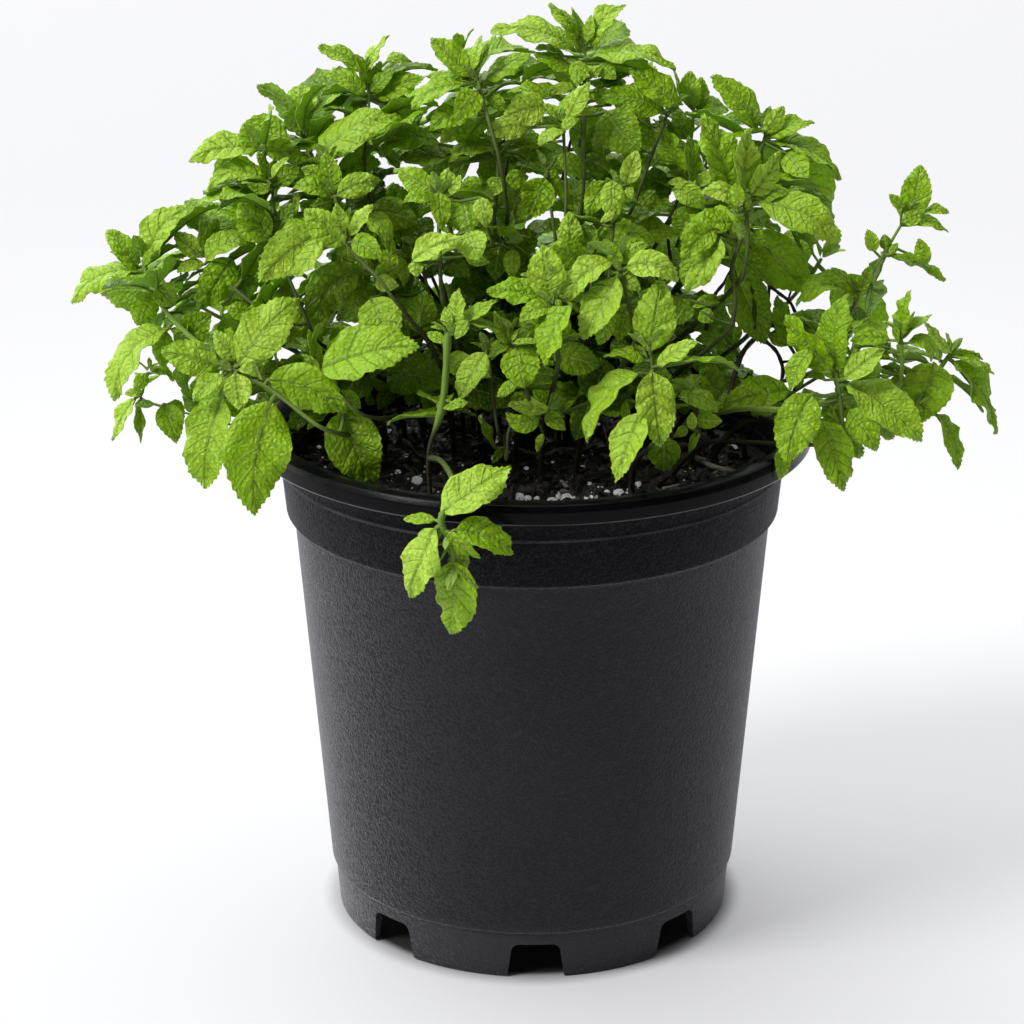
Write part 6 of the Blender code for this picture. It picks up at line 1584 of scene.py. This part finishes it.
def splinter(rng, centre, size, flat):
    """A broken chip of bark or a crumb of peat: a jagged five-sided spindle."""
    a, b, c = size
    turn = rng.uniform(0, 2 * math.pi)
    tilt = rng.gauss(0, 0.35) if flat else rng.uniform(-1.2, 1.2)
    spin = rng.uniform(0, 2 * math.pi)
    way = Matrix.Rotation(turn, 3, "Z") @ Matrix.Rotation(tilt, 3, "Y") @ Matrix.Rotation(spin, 3, "X")
    verts = [way @ Vector((-a, rng.uniform(-0.3, 0.3) * b, 0)) + centre]
    stations = (-0.72, -0.1, 0.6)
    for x in stations:
        wide = rng.uniform(0.65, 1.0)
        for k in range(5):
            around = 2 * math.pi * (k + rng.uniform(-0.25, 0.25)) / 5
            verts.append(way @ Vector((a * (x + rng.uniform(-0.1, 0.1)), b * wide * math.cos(around) * rng.uniform(0.7, 1.1), c * wide * math.sin(around) * rng.uniform(0.7, 1.1))) + centre)
    verts.append(way @ Vector((a, rng.uniform(-0.3, 0.3) * b, 0)) + centre)
    faces = [(0, 1 + (k + 1) % 5, 1 + k) for k in range(5)]
    for i in range(2):
        for k in range(5):
            p, q = 1 + i * 5 + k, 1 + i * 5 + (k + 1) % 5
            faces.append((p, q, q + 5, p + 5))
    faces += [(16, 11 + k, 11 + (k + 1) % 5) for k in range(5)]
    return verts, faces


def make_chips(mat):
    rng = random.Random(11)
    cloth = Cloth()
    radius = inner_radius(SOIL_TOP) - 0.6
    for n in range(3000):
        r = radius * math.sqrt(rng.random())
        turn = rng.uniform(0, 2 * math.pi)
        big = rng.random()
        a = 0.5 + 2.6 * big**4
        size = (a, a * rng.uniform(0.3, 0.7), a * rng.uniform(0.15, 0.45))
        r = min(r, radius - a * 0.9)
        x, y = r * math.cos(turn), r * math.sin(turn)
        centre = Vector((x, y, soil_height(x, y) + size[2] * rng.uniform(-0.1, 0.9)))
        verts, faces = splinter(rng, centre, size, rng.random() < 0.8)
        cloth.add(verts, faces, (rng.random(), 0.0, 0.0))
    chips = cloth.make("bark_chips", "chip", mat, sharp=30)


PERLITE = [(513, 497, 0.9), (519, 497, 1.1), (528, 495, 0.8), (537, 498, 0.6), (552, 497, 1.0), (558, 491, 0.8), (567, 495, 1.5), (573, 496, 1.0),
           (594, 497, 0.9), (589, 484, 0.8), (547, 475, 0.6), (607, 493, 0.8), (619, 492, 1.3), (628, 490, 0.9), (567, 438, 0.6), (417, 478, 1.4),
           (319, 443, 0.6), (349, 459, 0.7), (390, 430, 0.6), (600, 470, 0.5), (640, 482, 0.6), (530, 483, 0.5), (662, 470, 0.6), (583, 497, 0.5), (506, 488, 0.5)]


def make_perlite(mat):
    rng = random.Random(5)
    cloth = Cloth()
    spots = []
    for u, v, size in PERLITE:
        at = on_level(u, v, SOIL_TOP + 0.8)
        if math.hypot(at.x, at.y) + size < inner_radius(SOIL_TOP) - 0.3:
            spots.append((at.x, at.y, size))
    for n in range(34):
        r, turn = 52.0 * math.sqrt(rng.random()), rng.uniform(0, 2 * math.pi)
        spots.append((r * math.cos(turn), r * math.sin(turn), rng.uniform(0.35, 0.85)))
    for n in range(230):
        r, turn = 53.0 * math.sqrt(rng.random()), rng.uniform(math.pi, 2 * math.pi) if n % 4 else rng.uniform(0, math.pi)
        spots.append((r * math.cos(turn), r * math.sin(turn), rng.uniform(0.14, 0.36)))
    for n in range(300):
        x, y = rng.gauss(4.0, 24.0), -51.0 + abs(rng.gauss(0.0, 11.0))
        if math.hypot(x, y) < inner_radius(SOIL_TOP) - 1.0:
            spots.append((x, y, rng.uniform(0.16, 0.40)))
    for x, y, size in spots:
        bm = bmesh.new()
        bmesh.ops.create_icosphere(bm, subdivisions=3 if size > 0.9 else 2 if size > 0.36 else 1, radius=size)
        seed = Vector((rng.uniform(-9, 9), rng.uniform(-9, 9), rng.uniform(-9, 9)))
        squash = (rng.uniform(0.85, 1.15), rng.uniform(0.8, 1.1), rng.uniform(0.65, 0.9))
        for v in bm.verts:
            d = v.co.normalized()
            v.co *= 1.0 + 0.28 * noise.noise(d * 1.4 + seed) + 0.12 * noise.noise(d * 4.0 + seed)
            v.co = Vector((v.co.x * squash[0], v.co.y * squash[1], v.co.z * squash[2]))
        z = soil_height(x, y) + size * 0.42
        verts = [tuple(v.co + Vector((x, y, z))) for v in bm.verts]
        faces = [tuple(v.index for v in f.verts) for f in bm.faces]
        bm.free()
        cloth.add(verts, faces, (0.5, 0.0, 0.0))
    grains = cloth.make("perlite_grains", "chip", mat)
    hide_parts("perlite_a", "perlite_b", "perlite_c")


def make_litter(mat_root, mat_stem):
    """Runners, rootlets and dead fibres that lie on the mix."""
    rng = random.Random(23)
    cloth = Cloth()
    for n in range(230):
        r, turn = 50.0 * math.sqrt(rng.random()), rng.uniform(0, 2 * math.pi)
        if n >= 170:
            r, turn = rng.uniform(34.0, 51.0), rng.gauss(1.5, 0.42) * math.pi
        x, y = r * math.cos(turn), r * math.sin(turn)
        heading = rng.uniform(0, 2 * math.pi)
        length = rng.uniform(4, 15) if n < 90 else rng.uniform(2.0, 5.0)
        radius = rng.uniform(0.10, 0.26) if n < 90 else rng.uniform(0.06, 0.13)
        points = []
        for k in range(8):
            points.append(Vector((x, y, soil_height(x, y) + 0.3 + rng.uniform(0.1, 0.8) * (1 if 0 < k < 7 else 0))))
            heading += rng.gauss(0, 0.45)
            x += math.cos(heading) * length / 7
            y += math.sin(heading) * length / 7
            if math.hypot(x, y) > 53.0:
                break
        if len(points) < 4:
            continue
        dense, _ = smooth_line(points, 2 if n < 90 else 1)
        radii = [radius * (1 - 0.6 * i / len(dense)) for i in range(len(dense))]
        kin = rng.random() ** (2 if n < 90 else 0.7)
        cloth.add(*rope(dense, radii, 5 if n < 90 else 4), (0.0, kin, 0.0))
    fibres = cloth.make("dead_fibres", "stalk", mat_root)

    cloth = Cloth()
    lines = [([(683, 456, 1.6), (695, 460, 1.4), (712, 468, 1.4), (735, 473, 1.2)], 0.8, 0.5),
             ([(520, 452, 1.2), (545, 455, 1.3), (560, 452, 1.0), (585, 447, 1.3), (600, 440, 2.0)], 0.42, 0.3),
             ([(608, 445, 0.8), (606, 434, 2.5), (603, 425, 3.0)], 0.3, 0.22)]
    for stations, r_low, r_top in lines:
        points = []
        for u, v, above in stations:
            p = on_level(u, v, SOIL_TOP + above)
            points.append(Vector((p.x, p.y, soil_height(p.x, p.y) + above)))
        dense, _ = smooth_line(points, 6)
        n = len(dense)
        radii = [(r_low + (r_top - r_low) * i / n) * (1 + 0.12 * math.sin(i * 1.7)) for i in range(n)]
        cloth.add(*rope(dense, radii, 8), (0.5, 0.6, 0.0))
    runners = cloth.make("surface_runners", "stalk", mat_root)
    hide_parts("runner")


# ---------------------------------------------------------------- the plant
def plant_frame():
    """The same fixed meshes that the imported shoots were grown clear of, then the shoots."""
    soil_mesh = turned(soil_profile(), POT_SIDES)
    rng = random.Random(7)
    lying = []
    for u, v, size in GRAINS:
        at = on_level(u, v, SOIL_TOP + GAP)
        at.z = SOIL_TOP + GAP
        bm = bmesh.new()
        bmesh.ops.create_icosphere(bm, subdivisions=1, radius=size)
        for w in bm.verts:
            w.co *= rng.uniform(0.82, 1.15)
            w.co.z *= 0.8
        low = min(w.co.z for w in bm.verts)
        lying.append(([w.co + at + Vector((0, 0, -low)) for w in bm.verts], [tuple(w.index for w in f.verts) for f in bm.faces]))
        bm.free()
    strand = [on_level(u, v, SOIL_TOP + 0.9) for u, v in RUNNER]
    for p in strand:
        p.z = SOIL_TOP + 1.25
    runner_mesh = tube(thinned(along(strand), 0.3), 0.8, 0.6, sides=6)
    return grow([turned(pot_profile(), POT_SIDES), soil_mesh, runner_mesh] + lying)


PLAIN_STEMS = {"shoot_front_spill", "shoot_right_up", "shoot_right_edge", "shoot_right_t", "shoot_far_left"}
WOODY = [  # old leafless stems seen in the gaps: sheet stations, how far behind the canopy, radii
    ([(706, 330), (712, 303), (716, 293), (724, 283), (732, 268)], 30.0, 0.50, 0.36),
    ([(728, 402), (735, 374), (740, 360), (747, 346), (757, 336), (764, 322)], 26.0, 0.62, 0.45),
    ([(782, 402), (781, 385), (783, 370), (778, 354), (769, 344), (757, 336)], 24.0, 0.46, 0.42),
    ([(783, 362), (790, 361), (799, 359)], 24.0, 0.34, 0.24),
    ([(764, 322), (768, 300), (769, 281), (764, 262)], 26.0, 0.46, 0.36),
    ([(770, 286), (780, 294), (790, 302), (797, 316), (806, 332)], 25.0, 0.42, 0.34),
    ([(788, 301), (790, 294), (793, 285)], 25.0, 0.30, 0.22),
    ([(446, 345), (447, 322), (440, 296), (430, 272)], 30.0, 0.42, 0.34),
    ([(452, 345), (451, 322), (446, 296), (438, 270)], 31.0, 0.40, 0.32),
    ([(505, 200), (505, 178), (508, 158), (509, 140)], 28.0, 0.45, 0.34),
    ([(672, 275), (670, 255), (668, 240), (666, 222)], 30.0, 0.42, 0.32),
    ([(490, 135), (487, 118), (484, 106), (480, 90)], 28.0, 0.45, 0.34),
    ([(566, 205), (563, 180), (566, 160), (571, 140)], 30.0, 0.45, 0.34),
]


def shade_of(points):
    """How far inside the canopy points lie, less so high up: the stems there are darkened, a painted shade."""
    points = np.asarray(points, float)
    deep = 1.0 - ((points[:, 0] / 92.0) ** 2 + (points[:, 1] / 64.0) ** 2 + ((points[:, 2] - 118.0) / 88.0) ** 2)
    high = np.clip((points[:, 2] - 128.0) / 45.0, 0.0, 1.0)
    return np.clip((deep - 0.02) / 0.42, 0.0, 1.0) * (0.9 - 0.22 * high)


def make_woody(stem_mat):
    cloth = Cloth()
    rng = random.Random(31)
    for stations, behind, r_low, r_top in WOODY:
        points = []
        for u, v in stations:
            points.append(spot(u, v, dome_depth(u, v) + behind))
        dense, _ = smooth_line(points, 6)
        n = len(dense)
        radii = [(r_low + (r_top - r_low) * i / n) * (1 + 0.14 * math.sin(i * 1.3) * rng.uniform(0.5, 1.0)) for i in range(n)]
        cloth.add(*rope(dense, radii, 8), (0.0, rng.random() * 0.5, 1.0))
    twigs = cloth.make("old_woody_stems", "stalk", stem_mat)


def thicken(shoots, most):
    """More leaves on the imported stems, where the near side still shows the background through it."""
    cover = Cover()
    for shoot in shoots:
        for leaf in shoot["leaves"]:
            cover.mark(leaf)
    count = 0
    for least, sizes in ((0.5, (21.0, 17.0, 13.5)), (0.32, (19.0, 15.5, 12.0)), (0.16, (17.0, 13.5, 10.0))):
        for shoot in shoots:
            rng = random.Random("more " + shoot["name"] + str(least))
            for n, (points, r_low, r_top) in enumerate(shoot["lines"]):
                for i in range(len(points) - 1):
                    for t in (0.15, 0.5, 0.85):
                        start = points[i].lerp(points[i + 1], t)
                        if start.z < SOIL_TOP + 12.0 or count >= most:
                            continue
                        ahead = (points[i + 1] - points[i]).normalized()
                        first = ahead.orthogonal().normalized()
                        best = None
                        for k in range(26):
                            out = Matrix.Rotation(rng.uniform(0, 2 * math.pi), 3, ahead) @ first
                            heading = (out + ahead * rng.uniform(0.0, 0.8)).normalized()
                            up = (ahead * 0.8 + out * 0.2 + Vector((rng.uniform(-0.5, 0.3), rng.uniform(-0.9, 0.0), 0.5))).normalized()
                            size = sizes[k % 3] * rng.uniform(0.9, 1.1)
                            stalk = rng.choice((1.6, 2.6, 4.0, 6.0))
                            leaf = free_leaf(start + heading * stalk, heading, up, size, size * rng.uniform(0.54, 0.68), start, math.radians(rng.uniform(4, 24)), rng.uniform(-0.7, 0.25), rng.uniform(0.0, 0.5))
                            _, _, s = leaf.frame(0.4)
                            mid = leaf.rib(0.4)
                            if not seen_clear((leaf.base, leaf.tip, mid, mid + s * leaf.half, mid - s * leaf.half)):
                                continue
                            if min(leaf.tip.z, mid.z - leaf.half) < 128.0 and mid.xy.length > 50.0 and mid.y < 0:
                                continue
                            hides, fills = cover.weigh(leaf)
                            if hides > 0.10 or fills < least:
                                continue
                            if best is None or fills > best[0]:
                                best = (fills, leaf)
                        if best:
                            leaf = best[1]
                            leaf.hold = (n, i, t)
                            leaf.order = 2000 + count
                            shoot["leaves"].append(leaf)
                            cover.mark(leaf)
                            count += 1
        print("thickened to", least, count)
    patch(shoots, cover, 240)
    round_out(shoots, cover, 260)


def leaf_rank(leaf):
    """True for the leaves laid out one by one, False for those that fill in behind them."""
    return (getattr(leaf, "order", 0) or 0) < 1000


def stem_spots(shoots):
    """Places along every stem, at about 2 mm: the point, and the shoot, line, span and share it lies at."""
    points, owners = [], []
    for k, shoot in enumerate(shoots):
        for n, (line, r_low, r_top) in enumerate(shoot["lines"]):
            for i in range(len(line) - 1):
                steps = max(1, int((line[i + 1] - line[i]).length / 2.0))
                for j in range(steps):
                    p = line[i].lerp(line[i + 1], j / steps)
                    if p.z > SOIL_TOP + 12.0:
                        points.append(tuple(p))
                        owners.append((k, n, i, j / steps))
    return np.array(points), owners


def patch(shoots, cover, most):
    """A leaf behind each place where the near side still shows the background and should not."""
    rng = random.Random(404)
    points, owners = stem_spots(shoots)
    count = 0
    cells = [(row, column) for row in range(2, 67) for column in range(20, 200)]
    rng.shuffle(cells)
    for row, column in cells:
        if cover.near[row, column] < 1e8 or count >= most:
            continue
        u, v = column * 5.0 + 2.5, row * 5.0 + 2.5
        if not seen_clear([spot(u, v, 0.0)]):
            continue
        best = None
        for k in range(16):
            middle = spot(u + rng.uniform(-5, 5), v + rng.uniform(-5, 5), dome_depth(u, v) + rng.uniform(16.0, 62.0))
            away = points - np.array(tuple(middle))
            reach = np.sqrt((away * away).sum(1))
            at = int(np.argmin(np.abs(reach - rng.uniform(8.0, 13.0))))
            if not 6.0 < reach[at] < 17.0:
                continue
            start = Vector(points[at])
            heading = (middle - start).normalized()
            size = min(21.0, max(9.0, reach[at] * rng.uniform(1.15, 1.5)))
            base = middle - heading * (size * 0.48)
            if (base - start).dot(heading) < 0.8:
                base = start + heading * 0.8
            up = Vector((rng.uniform(-0.5, 0.5), rng.uniform(-1.0, -0.3), rng.uniform(0.2, 0.9)))
            if up.cross(heading).length < 0.35:
                continue
            leaf = free_leaf(base, heading, up, size, size * rng.uniform(0.56, 0.70), start, math.radians(rng.uniform(4, 22)), rng.uniform(-0.8, 0.15), rng.uniform(0.0, 0.4))
            _, _, s = leaf.frame(0.4)
            mid = leaf.rib(0.4)
            if not seen_clear((leaf.tip, mid, mid + s * leaf.half, mid - s * leaf.half)):
                continue
            hides, fills = cover.weigh(leaf)
            if hides > 0.08 or fills < 0.04:
                continue
            if best is None or fills > best[0]:
                best = (fills, leaf, at)
        if best:
            _, leaf, at = best
            k, n, i, t = owners[at]
            leaf.hold = (n, i, t)
            leaf.order = 3000 + count
            shoots[k]["leaves"].append(leaf)
            cover.mark(leaf)
            count += 1
    print("patched", count)


def round_out(shoots, cover, most):
    """Leaves on the bare lengths of stem inside and behind, seen from the sides and the back."""
    rng = random.Random(505)
    points, owners = stem_spots(shoots)
    mids = [tuple(leaf.rib(0.45)) for shoot in shoots for leaf in shoot["leaves"]]
    order = [k for k in range(len(points)) if points[k][1] > -22.0]
    rng.shuffle(order)
    count = 0
    for at in order:
        if count >= most:
            break
        start = Vector(points[at])
        for tries in range(5):
            turn = rng.uniform(0, 2 * math.pi)
            out = Vector((math.cos(turn), math.sin(turn), 0.0))
            if tries < 3:
                out = (out + Vector((start.x / 60.0, start.y / 40.0 + 0.4, 0.0))).normalized()
            heading = (out + Vector((0, 0, rng.uniform(-0.05, 0.6)))).normalized()
            size = rng.uniform(12.0, 19.0)
            up = Vector((-0.2 * out.x, -0.2 * out.y, 1.0)) + Vector((rng.uniform(-0.4, 0.4), rng.uniform(-0.4, 0.4), 0))
            leaf = free_leaf(start + heading * rng.uniform(1.4, 3.0), heading, up, size, size * rng.uniform(0.54, 0.68), start, math.radians(rng.uniform(4, 22)), rng.uniform(-0.7, 0.3), rng.uniform(0.0, 0.4))
            mid = leaf.rib(0.45)
            if abs(leaf.tip.x) > 88.0 or leaf.tip.y > 68.0 or leaf.tip.z > 182.0:
                continue
            if leaf.tip.z < 124.0 and leaf.tip.xy.length > 50.0:
                continue
            near = np.array(mids) - np.array(tuple(mid))
            if float(np.sqrt((near * near).sum(1)).min()) < 5.0:
                continue
            _, _, s = leaf.frame(0.4)
            if not seen_clear((leaf.tip, mid, mid + s * leaf.half, mid - s * leaf.half)):
                continue
            hides, fills = cover.weigh(leaf)
            if hides > 0.05 or fills > (0.26 if start.z < 150.0 else 0.04):
                continue
            k, n, i, t = owners[at]
            leaf.hold = (n, i, t)
            leaf.order = 4000 + count
            shoots[k]["leaves"].append(leaf)
            cover.mark(leaf)
            mids.append(tuple(mid))
            count += 1
            break
    print("rounded out", count)


def make_shoot(shoot, leaf_mat, stem_mat):
    name = shoot["name"]
    rng = random.Random("look " + name)
    for leaf in shoot["leaves"]:
        leaf.length_ = (leaf.tip - leaf.base).length
    stalks, blades = Cloth(), Cloth()
    per = 6
    curves = []
    for n, (points, r_low, r_top) in enumerate(shoot["lines"]):
        dense, ends = smooth_line(points, per)
        curves.append((ends, len(points) - 1))
        if n == 0:
            dense = [points[0] - Vector((0, 0, 3.0)), points[0] - Vector((0, 0, 1.2))] + dense
        last = len(points) - 1
        lead = 2 if n == 0 else 0
        run = [0.0]
        for a, b in zip(dense, dense[1:]):
            run.append(run[-1] + (b - a).length)
        knots = []
        for leaf in shoot["leaves"]:
            if leaf.hold[0] == n:
                at = lead + (leaf.hold[1] + leaf.hold[2]) * per
                i = min(int(at), len(run) - 2)
                knots.append(run[i] + (run[i + 1] - run[i]) * (at - i))
        radii, ages = [], []
        for i, r in enumerate(run):
            share = max(0.0, i - lead) / (per * last)
            if name == "shoot_front_spill" and n == 0:
                radius = 0.46 + 0.28 * min(1.0, max(0.0, (share - 0.66) / 0.08))
            else:
                radius = (r_low + (r_top - r_low) * share) * (0.88 if name in PLAIN_STEMS else 0.64)
            swell = max([math.exp(-(((r - k) / 0.9) ** 2)) for k in knots] + [0.0])
            radii.append(radius * (1 + 0.26 * swell) * (1 + 0.05 * math.sin(r * 0.9 + n)))
            ages.append(r / run[-1] if n == 0 else 0.75 + 0.25 * r / run[-1])
        verts, faces = rope(dense, radii, 8, square=0.20)
        tint = rng.uniform(0.0, 1.0)
        colour = np.empty((len(verts), 3))
        colour[:, 1] = tint
        # Third channel: painted shade inside the canopy; on the spill the lower stem and branch get the brown of old
        # wood instead.
        colour[:, 2] = 0.0 if name in PLAIN_STEMS else shade_of(verts)
        if name == "shoot_front_spill" and n == 0:
            shares = [max(0.0, i - lead) / (per * last) for i in range(len(dense))]
            colour[: len(dense) * 8, 2] = np.repeat([min(1.0, max(0.0, 18.0 * (0.73 - s))) for s in shares], 8)
        if name == "shoot_front_spill" and n == 1:
            way = np.repeat([(age - 0.75) * 4.0 for age in ages], 8)
            colour[: len(dense) * 8, 2] = np.clip(0.95 * (1.0 - way / 0.45), 0.0, 0.95)
        colour[: len(dense) * 8, 0] = np.repeat(ages, 8)
        colour[len(dense) * 8 :, 0] = (ages[0], ages[-1])
        stalks.add(verts, faces, colour)
    for leaf in shoot["leaves"]:
        li, span, share = leaf.hold
        ends, last = curves[li]
        start = catmull(ends[min(span, last - 1) : min(span, last - 1) + 4], share)
        verts, faces, colour, uvs = blade(leaf, start, rng, 2 if leaf_rank(leaf) else 1)
        blades.add(verts, faces, colour, uvs)
        length = (leaf.tip - leaf.base).length
        # Stalk, then the raised midrib under the blade.
        ahead, up, _ = leaf.frame(0.0)
        base = leaf.base
        gap = (base - start).length
        r0 = 0.26 + 0.013 * length
        points = [start]
        if gap > 1.2:
            points.append(start.lerp(base, 0.5) - up * 0.08 * gap + (ahead * 0.05 * gap))
        points.append(base - up * 0.12)
        columns = uvs_columns(verts, uvs, length)
        for share_t in (0.10, 0.25, 0.42, 0.6, 0.78, 0.9):
            p = columns(share_t)
            u = leaf.frame(share_t)[1]
            points.append(Vector(p) - u * (0.20 + 0.1 * (1 - share_t)))
        fine = 2 if leaf_rank(leaf) else 1
        dense, _ = smooth_line(points, fine)
        n = len(dense)
        lead = fine * (len(points) - 7)
        radii = [r0 * (1.0 if i <= lead else 1.0 - 0.85 * (i - lead) / (n - lead)) for i in range(n)]
        verts, faces = rope(dense, radii, 5 if leaf_rank(leaf) else 4)
        # Painted shade on the leaf stalks inside the canopy.
        inside = 0.0 if name in PLAIN_STEMS else 0.55 * float(shade_of(np.array([tuple(start)]))[0])
        stalks.add(verts, faces, (1.0, 0.4 + 0.6 * rng.random(), inside))
    for leaf in young_leaves(shoot, curves, rng):
        verts, faces, colour, uvs = blade(leaf, leaf.start, rng, 0)
        blades.add(verts, faces, colour, uvs)
    leaves = blades.make(name.replace("shoot_", "leaves_"), "leaf", leaf_mat, uv_names=("vein", "span"), sharp=55)
    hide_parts(name)
    stems = stalks.make(name.replace("shoot_", "stems_"), "stalk", stem_mat)


def young_leaves(shoot, curves, rng):
    """Small new leaves: a tuft on each tip, and pairs in the axils of the large leaves."""
    found = []
    for n, (ends, last) in enumerate(curves):
        top = catmull(ends[last - 1 : last + 3], 0.98)
        ahead = (ends[last + 1] - ends[last]).normalized()
        reach = [leaf.length_ for leaf in shoot["leaves"] if leaf.hold[0] == n and (leaf.start - top).length < 5.0]
        size = min(7.0, max(3.2, 0.45 * max(reach))) if reach else 4.0
        turn = rng.uniform(0, math.pi)
        side = ahead.orthogonal().normalized()
        for k in range(6):
            around = Matrix.Rotation(turn + k * math.pi / 2 + (0.5 if k > 3 else 0.0), 3, ahead) @ side
            length = size * (1.0 - 0.12 * k) * rng.uniform(0.85, 1.15)
            heading = (around * (0.75 - 0.07 * k) + ahead * (0.55 + 0.12 * k)).normalized()
            up = (ahead - around * 0.35).normalized()
            start = top + ahead * (0.12 * k)
            found.append(free_leaf(start + heading * 0.5, heading, up, length, length * rng.uniform(0.42, 0.52), start, math.radians(rng.uniform(18, 38)), rng.uniform(0.35, 0.95), rng.uniform(-0.05, 0.12)))
    for leaf in shoot["leaves"]:
        if leaf.length_ < 7.5 or rng.random() < 0.5 or not leaf_rank(leaf):
            continue
        n, span, share = leaf.hold
        ends, last = curves[n]
        span = min(span, last - 1)
        start = catmull(ends[span : span + 4], share)
        ahead = (ends[span + 2] - ends[span + 1]).normalized()
        out = (leaf.base - start)
        out = (out - ahead * out.dot(ahead)).normalized()
        for k in range(2 if rng.random() < 0.6 else 1):
            turn = rng.uniform(-0.9, 0.9)
            around = Matrix.Rotation(turn, 3, ahead) @ out
            length = rng.uniform(2.6, 5.2)
            heading = (around * 0.7 + ahead * rng.uniform(0.5, 0.9)).normalized()
            up = (ahead - around * 0.4).normalized()
            found.append(free_leaf(start + heading * 1.1, heading, up, length, length * rng.uniform(0.42, 0.55), start, math.radians(rng.uniform(14, 32)), rng.uniform(0.0, 0.8), rng.uniform(0.0, 0.2)))
    return found


def uvs_columns(verts, uvs, length):
    """Finds the point of the blade's upper midline at a share of its length."""
    vein, span = uvs
    middle = np.nonzero((np.abs(vein[:, 1]) < 1e-9))[0]
    half = len(middle) // 2
    line = [middle[-2]] + list(middle[: half - 1]) + [middle[-1]]
    shares = np.array([span[i][0] / length for i in line])
    places = np.array([verts[i] for i in line])

    def find(share):
        return [float(np.interp(share, shares, places[:, k])) for k in range(3)]

    return find


# ---------------------------------------------------------------- stage and light
def make_stage():
    mesh = bpy.data.meshes.new("floor")
    size = 7.0
    mesh.from_pydata([(-size, -size, 0), (size, -size, 0), (size, size, 0), (-size, size, 0)], [], [(0, 1, 2, 3)])
    mesh.materials.append(floor_material())
    floor = bpy.data.objects.new("floor", mesh)
    bpy.context.scene.collection.objects.link(floor)
    floor.location = (0, 0, -0.0002)
    floor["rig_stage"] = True

    world = bpy.data.worlds.new("studio")
    bpy.context.scene.world = world
    world.use_nodes = True
    tree = world.node_tree
    tree.nodes.clear()

    def node(kind):
        return tree.nodes.new("ShaderNode" + kind)

    def ramp(socket, low, high, first, last):
        made = node("MapRange")
        made.interpolation_type = "SMOOTHSTEP"
        tree.links.new(socket, made.inputs["Value"])
        for key, number in (("From Min", low), ("From Max", high), ("To Min", first), ("To Max", last)):
            made.inputs[key].default_value = number
        return made.outputs["Result"]

    def times(a, b):
        made = node("Math")
        made.operation = "MULTIPLY"
        tree.links.new(a, made.inputs[0])
        tree.links.new(b, made.inputs[1])
        return made.outputs[0]

    # A pale room: bright behind and to the left of the plant, dim in front of it.
    way = node("SeparateXYZ")
    tree.links.new(node("TexCoord").outputs["Generated"], way.inputs[0])
    depth = ramp(way.outputs[1], -0.55, 0.75, *WORLD_DEPTH)
    sides = ramp(way.outputs[0], -0.9, 0.9, *WORLD_SIDES)
    lit = node("Background")
    lit.inputs[0].default_value = (0.97, 0.98, 1.0, 1.0)
    tree.links.new(times(depth, sides), lit.inputs[1])
    plain = node("Background")
    plain.inputs[0].default_value = (0.93, 0.93, 0.945, 1.0)
    plain.inputs[1].default_value = 0.93
    rays = node("LightPath")
    both = node("MixShader")
    tree.links.new(rays.outputs["Is Camera Ray"], both.inputs[0])
    tree.links.new(lit.outputs[0], both.inputs[1])
    tree.links.new(plain.outputs[0], both.inputs[2])
    out = node("OutputWorld")
    tree.links.new(both.outputs[0], out.inputs[0])

    for name, where, angle, power, tint in SUNS:
        data = bpy.data.lights.new(name, "SUN")
        data.angle = math.radians(angle)
        data.energy = power
        data.color = tint
        lamp = bpy.data.objects.new(name, data)
        bpy.context.scene.collection.objects.link(lamp)
        lamp.location = where
        lamp.rotation_euler = (-Vector(where)).to_track_quat("-Z", "Y").to_euler()


WORLD_DEPTH = (0.075, 1.04)
WORLD_SIDES = (3.00, 0.47)
SUNS = [
    ("key", (-0.80, -0.42, 0.90), 20.0, 2.35, (1.0, 0.995, 0.98)),
    ("top", (-0.15, 0.10, 1.0), 60.0, 0.62, (1.0, 1.0, 1.0)),
]


def main():
    bpy.context.scene.view_settings.view_transform = "Standard"
    make_stage()
    leaf_mat, stem_mat = leaf_material(), stem_material()
    make_pot(pot_material())
    soil_mat = mix_material("peat_and_bark")
    make_soil(soil_mat)
    make_chips(soil_mat)
    make_perlite(perlite_material())
    make_litter(root_material(), stem_mat)
    shoots, lost = plant_frame()
    thicken(shoots, 300)
    for shoot in shoots:
        make_shoot(shoot, leaf_mat, stem_mat)
    make_woody(stem_mat)
    print("shoots", len(shoots), "leaves", sum(len(s["leaves"]) for s in shoots), "left out", lost)
    total = 0
    for obj in sorted(bpy.data.objects, key=lambda o: o.name):
        if obj.type == "MESH" and "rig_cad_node" not in obj and not obj.get("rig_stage"):
            obj.data.calc_loop_triangles()
            total += len(obj.data.loop_triangles)
    print("triangles", total)


main()
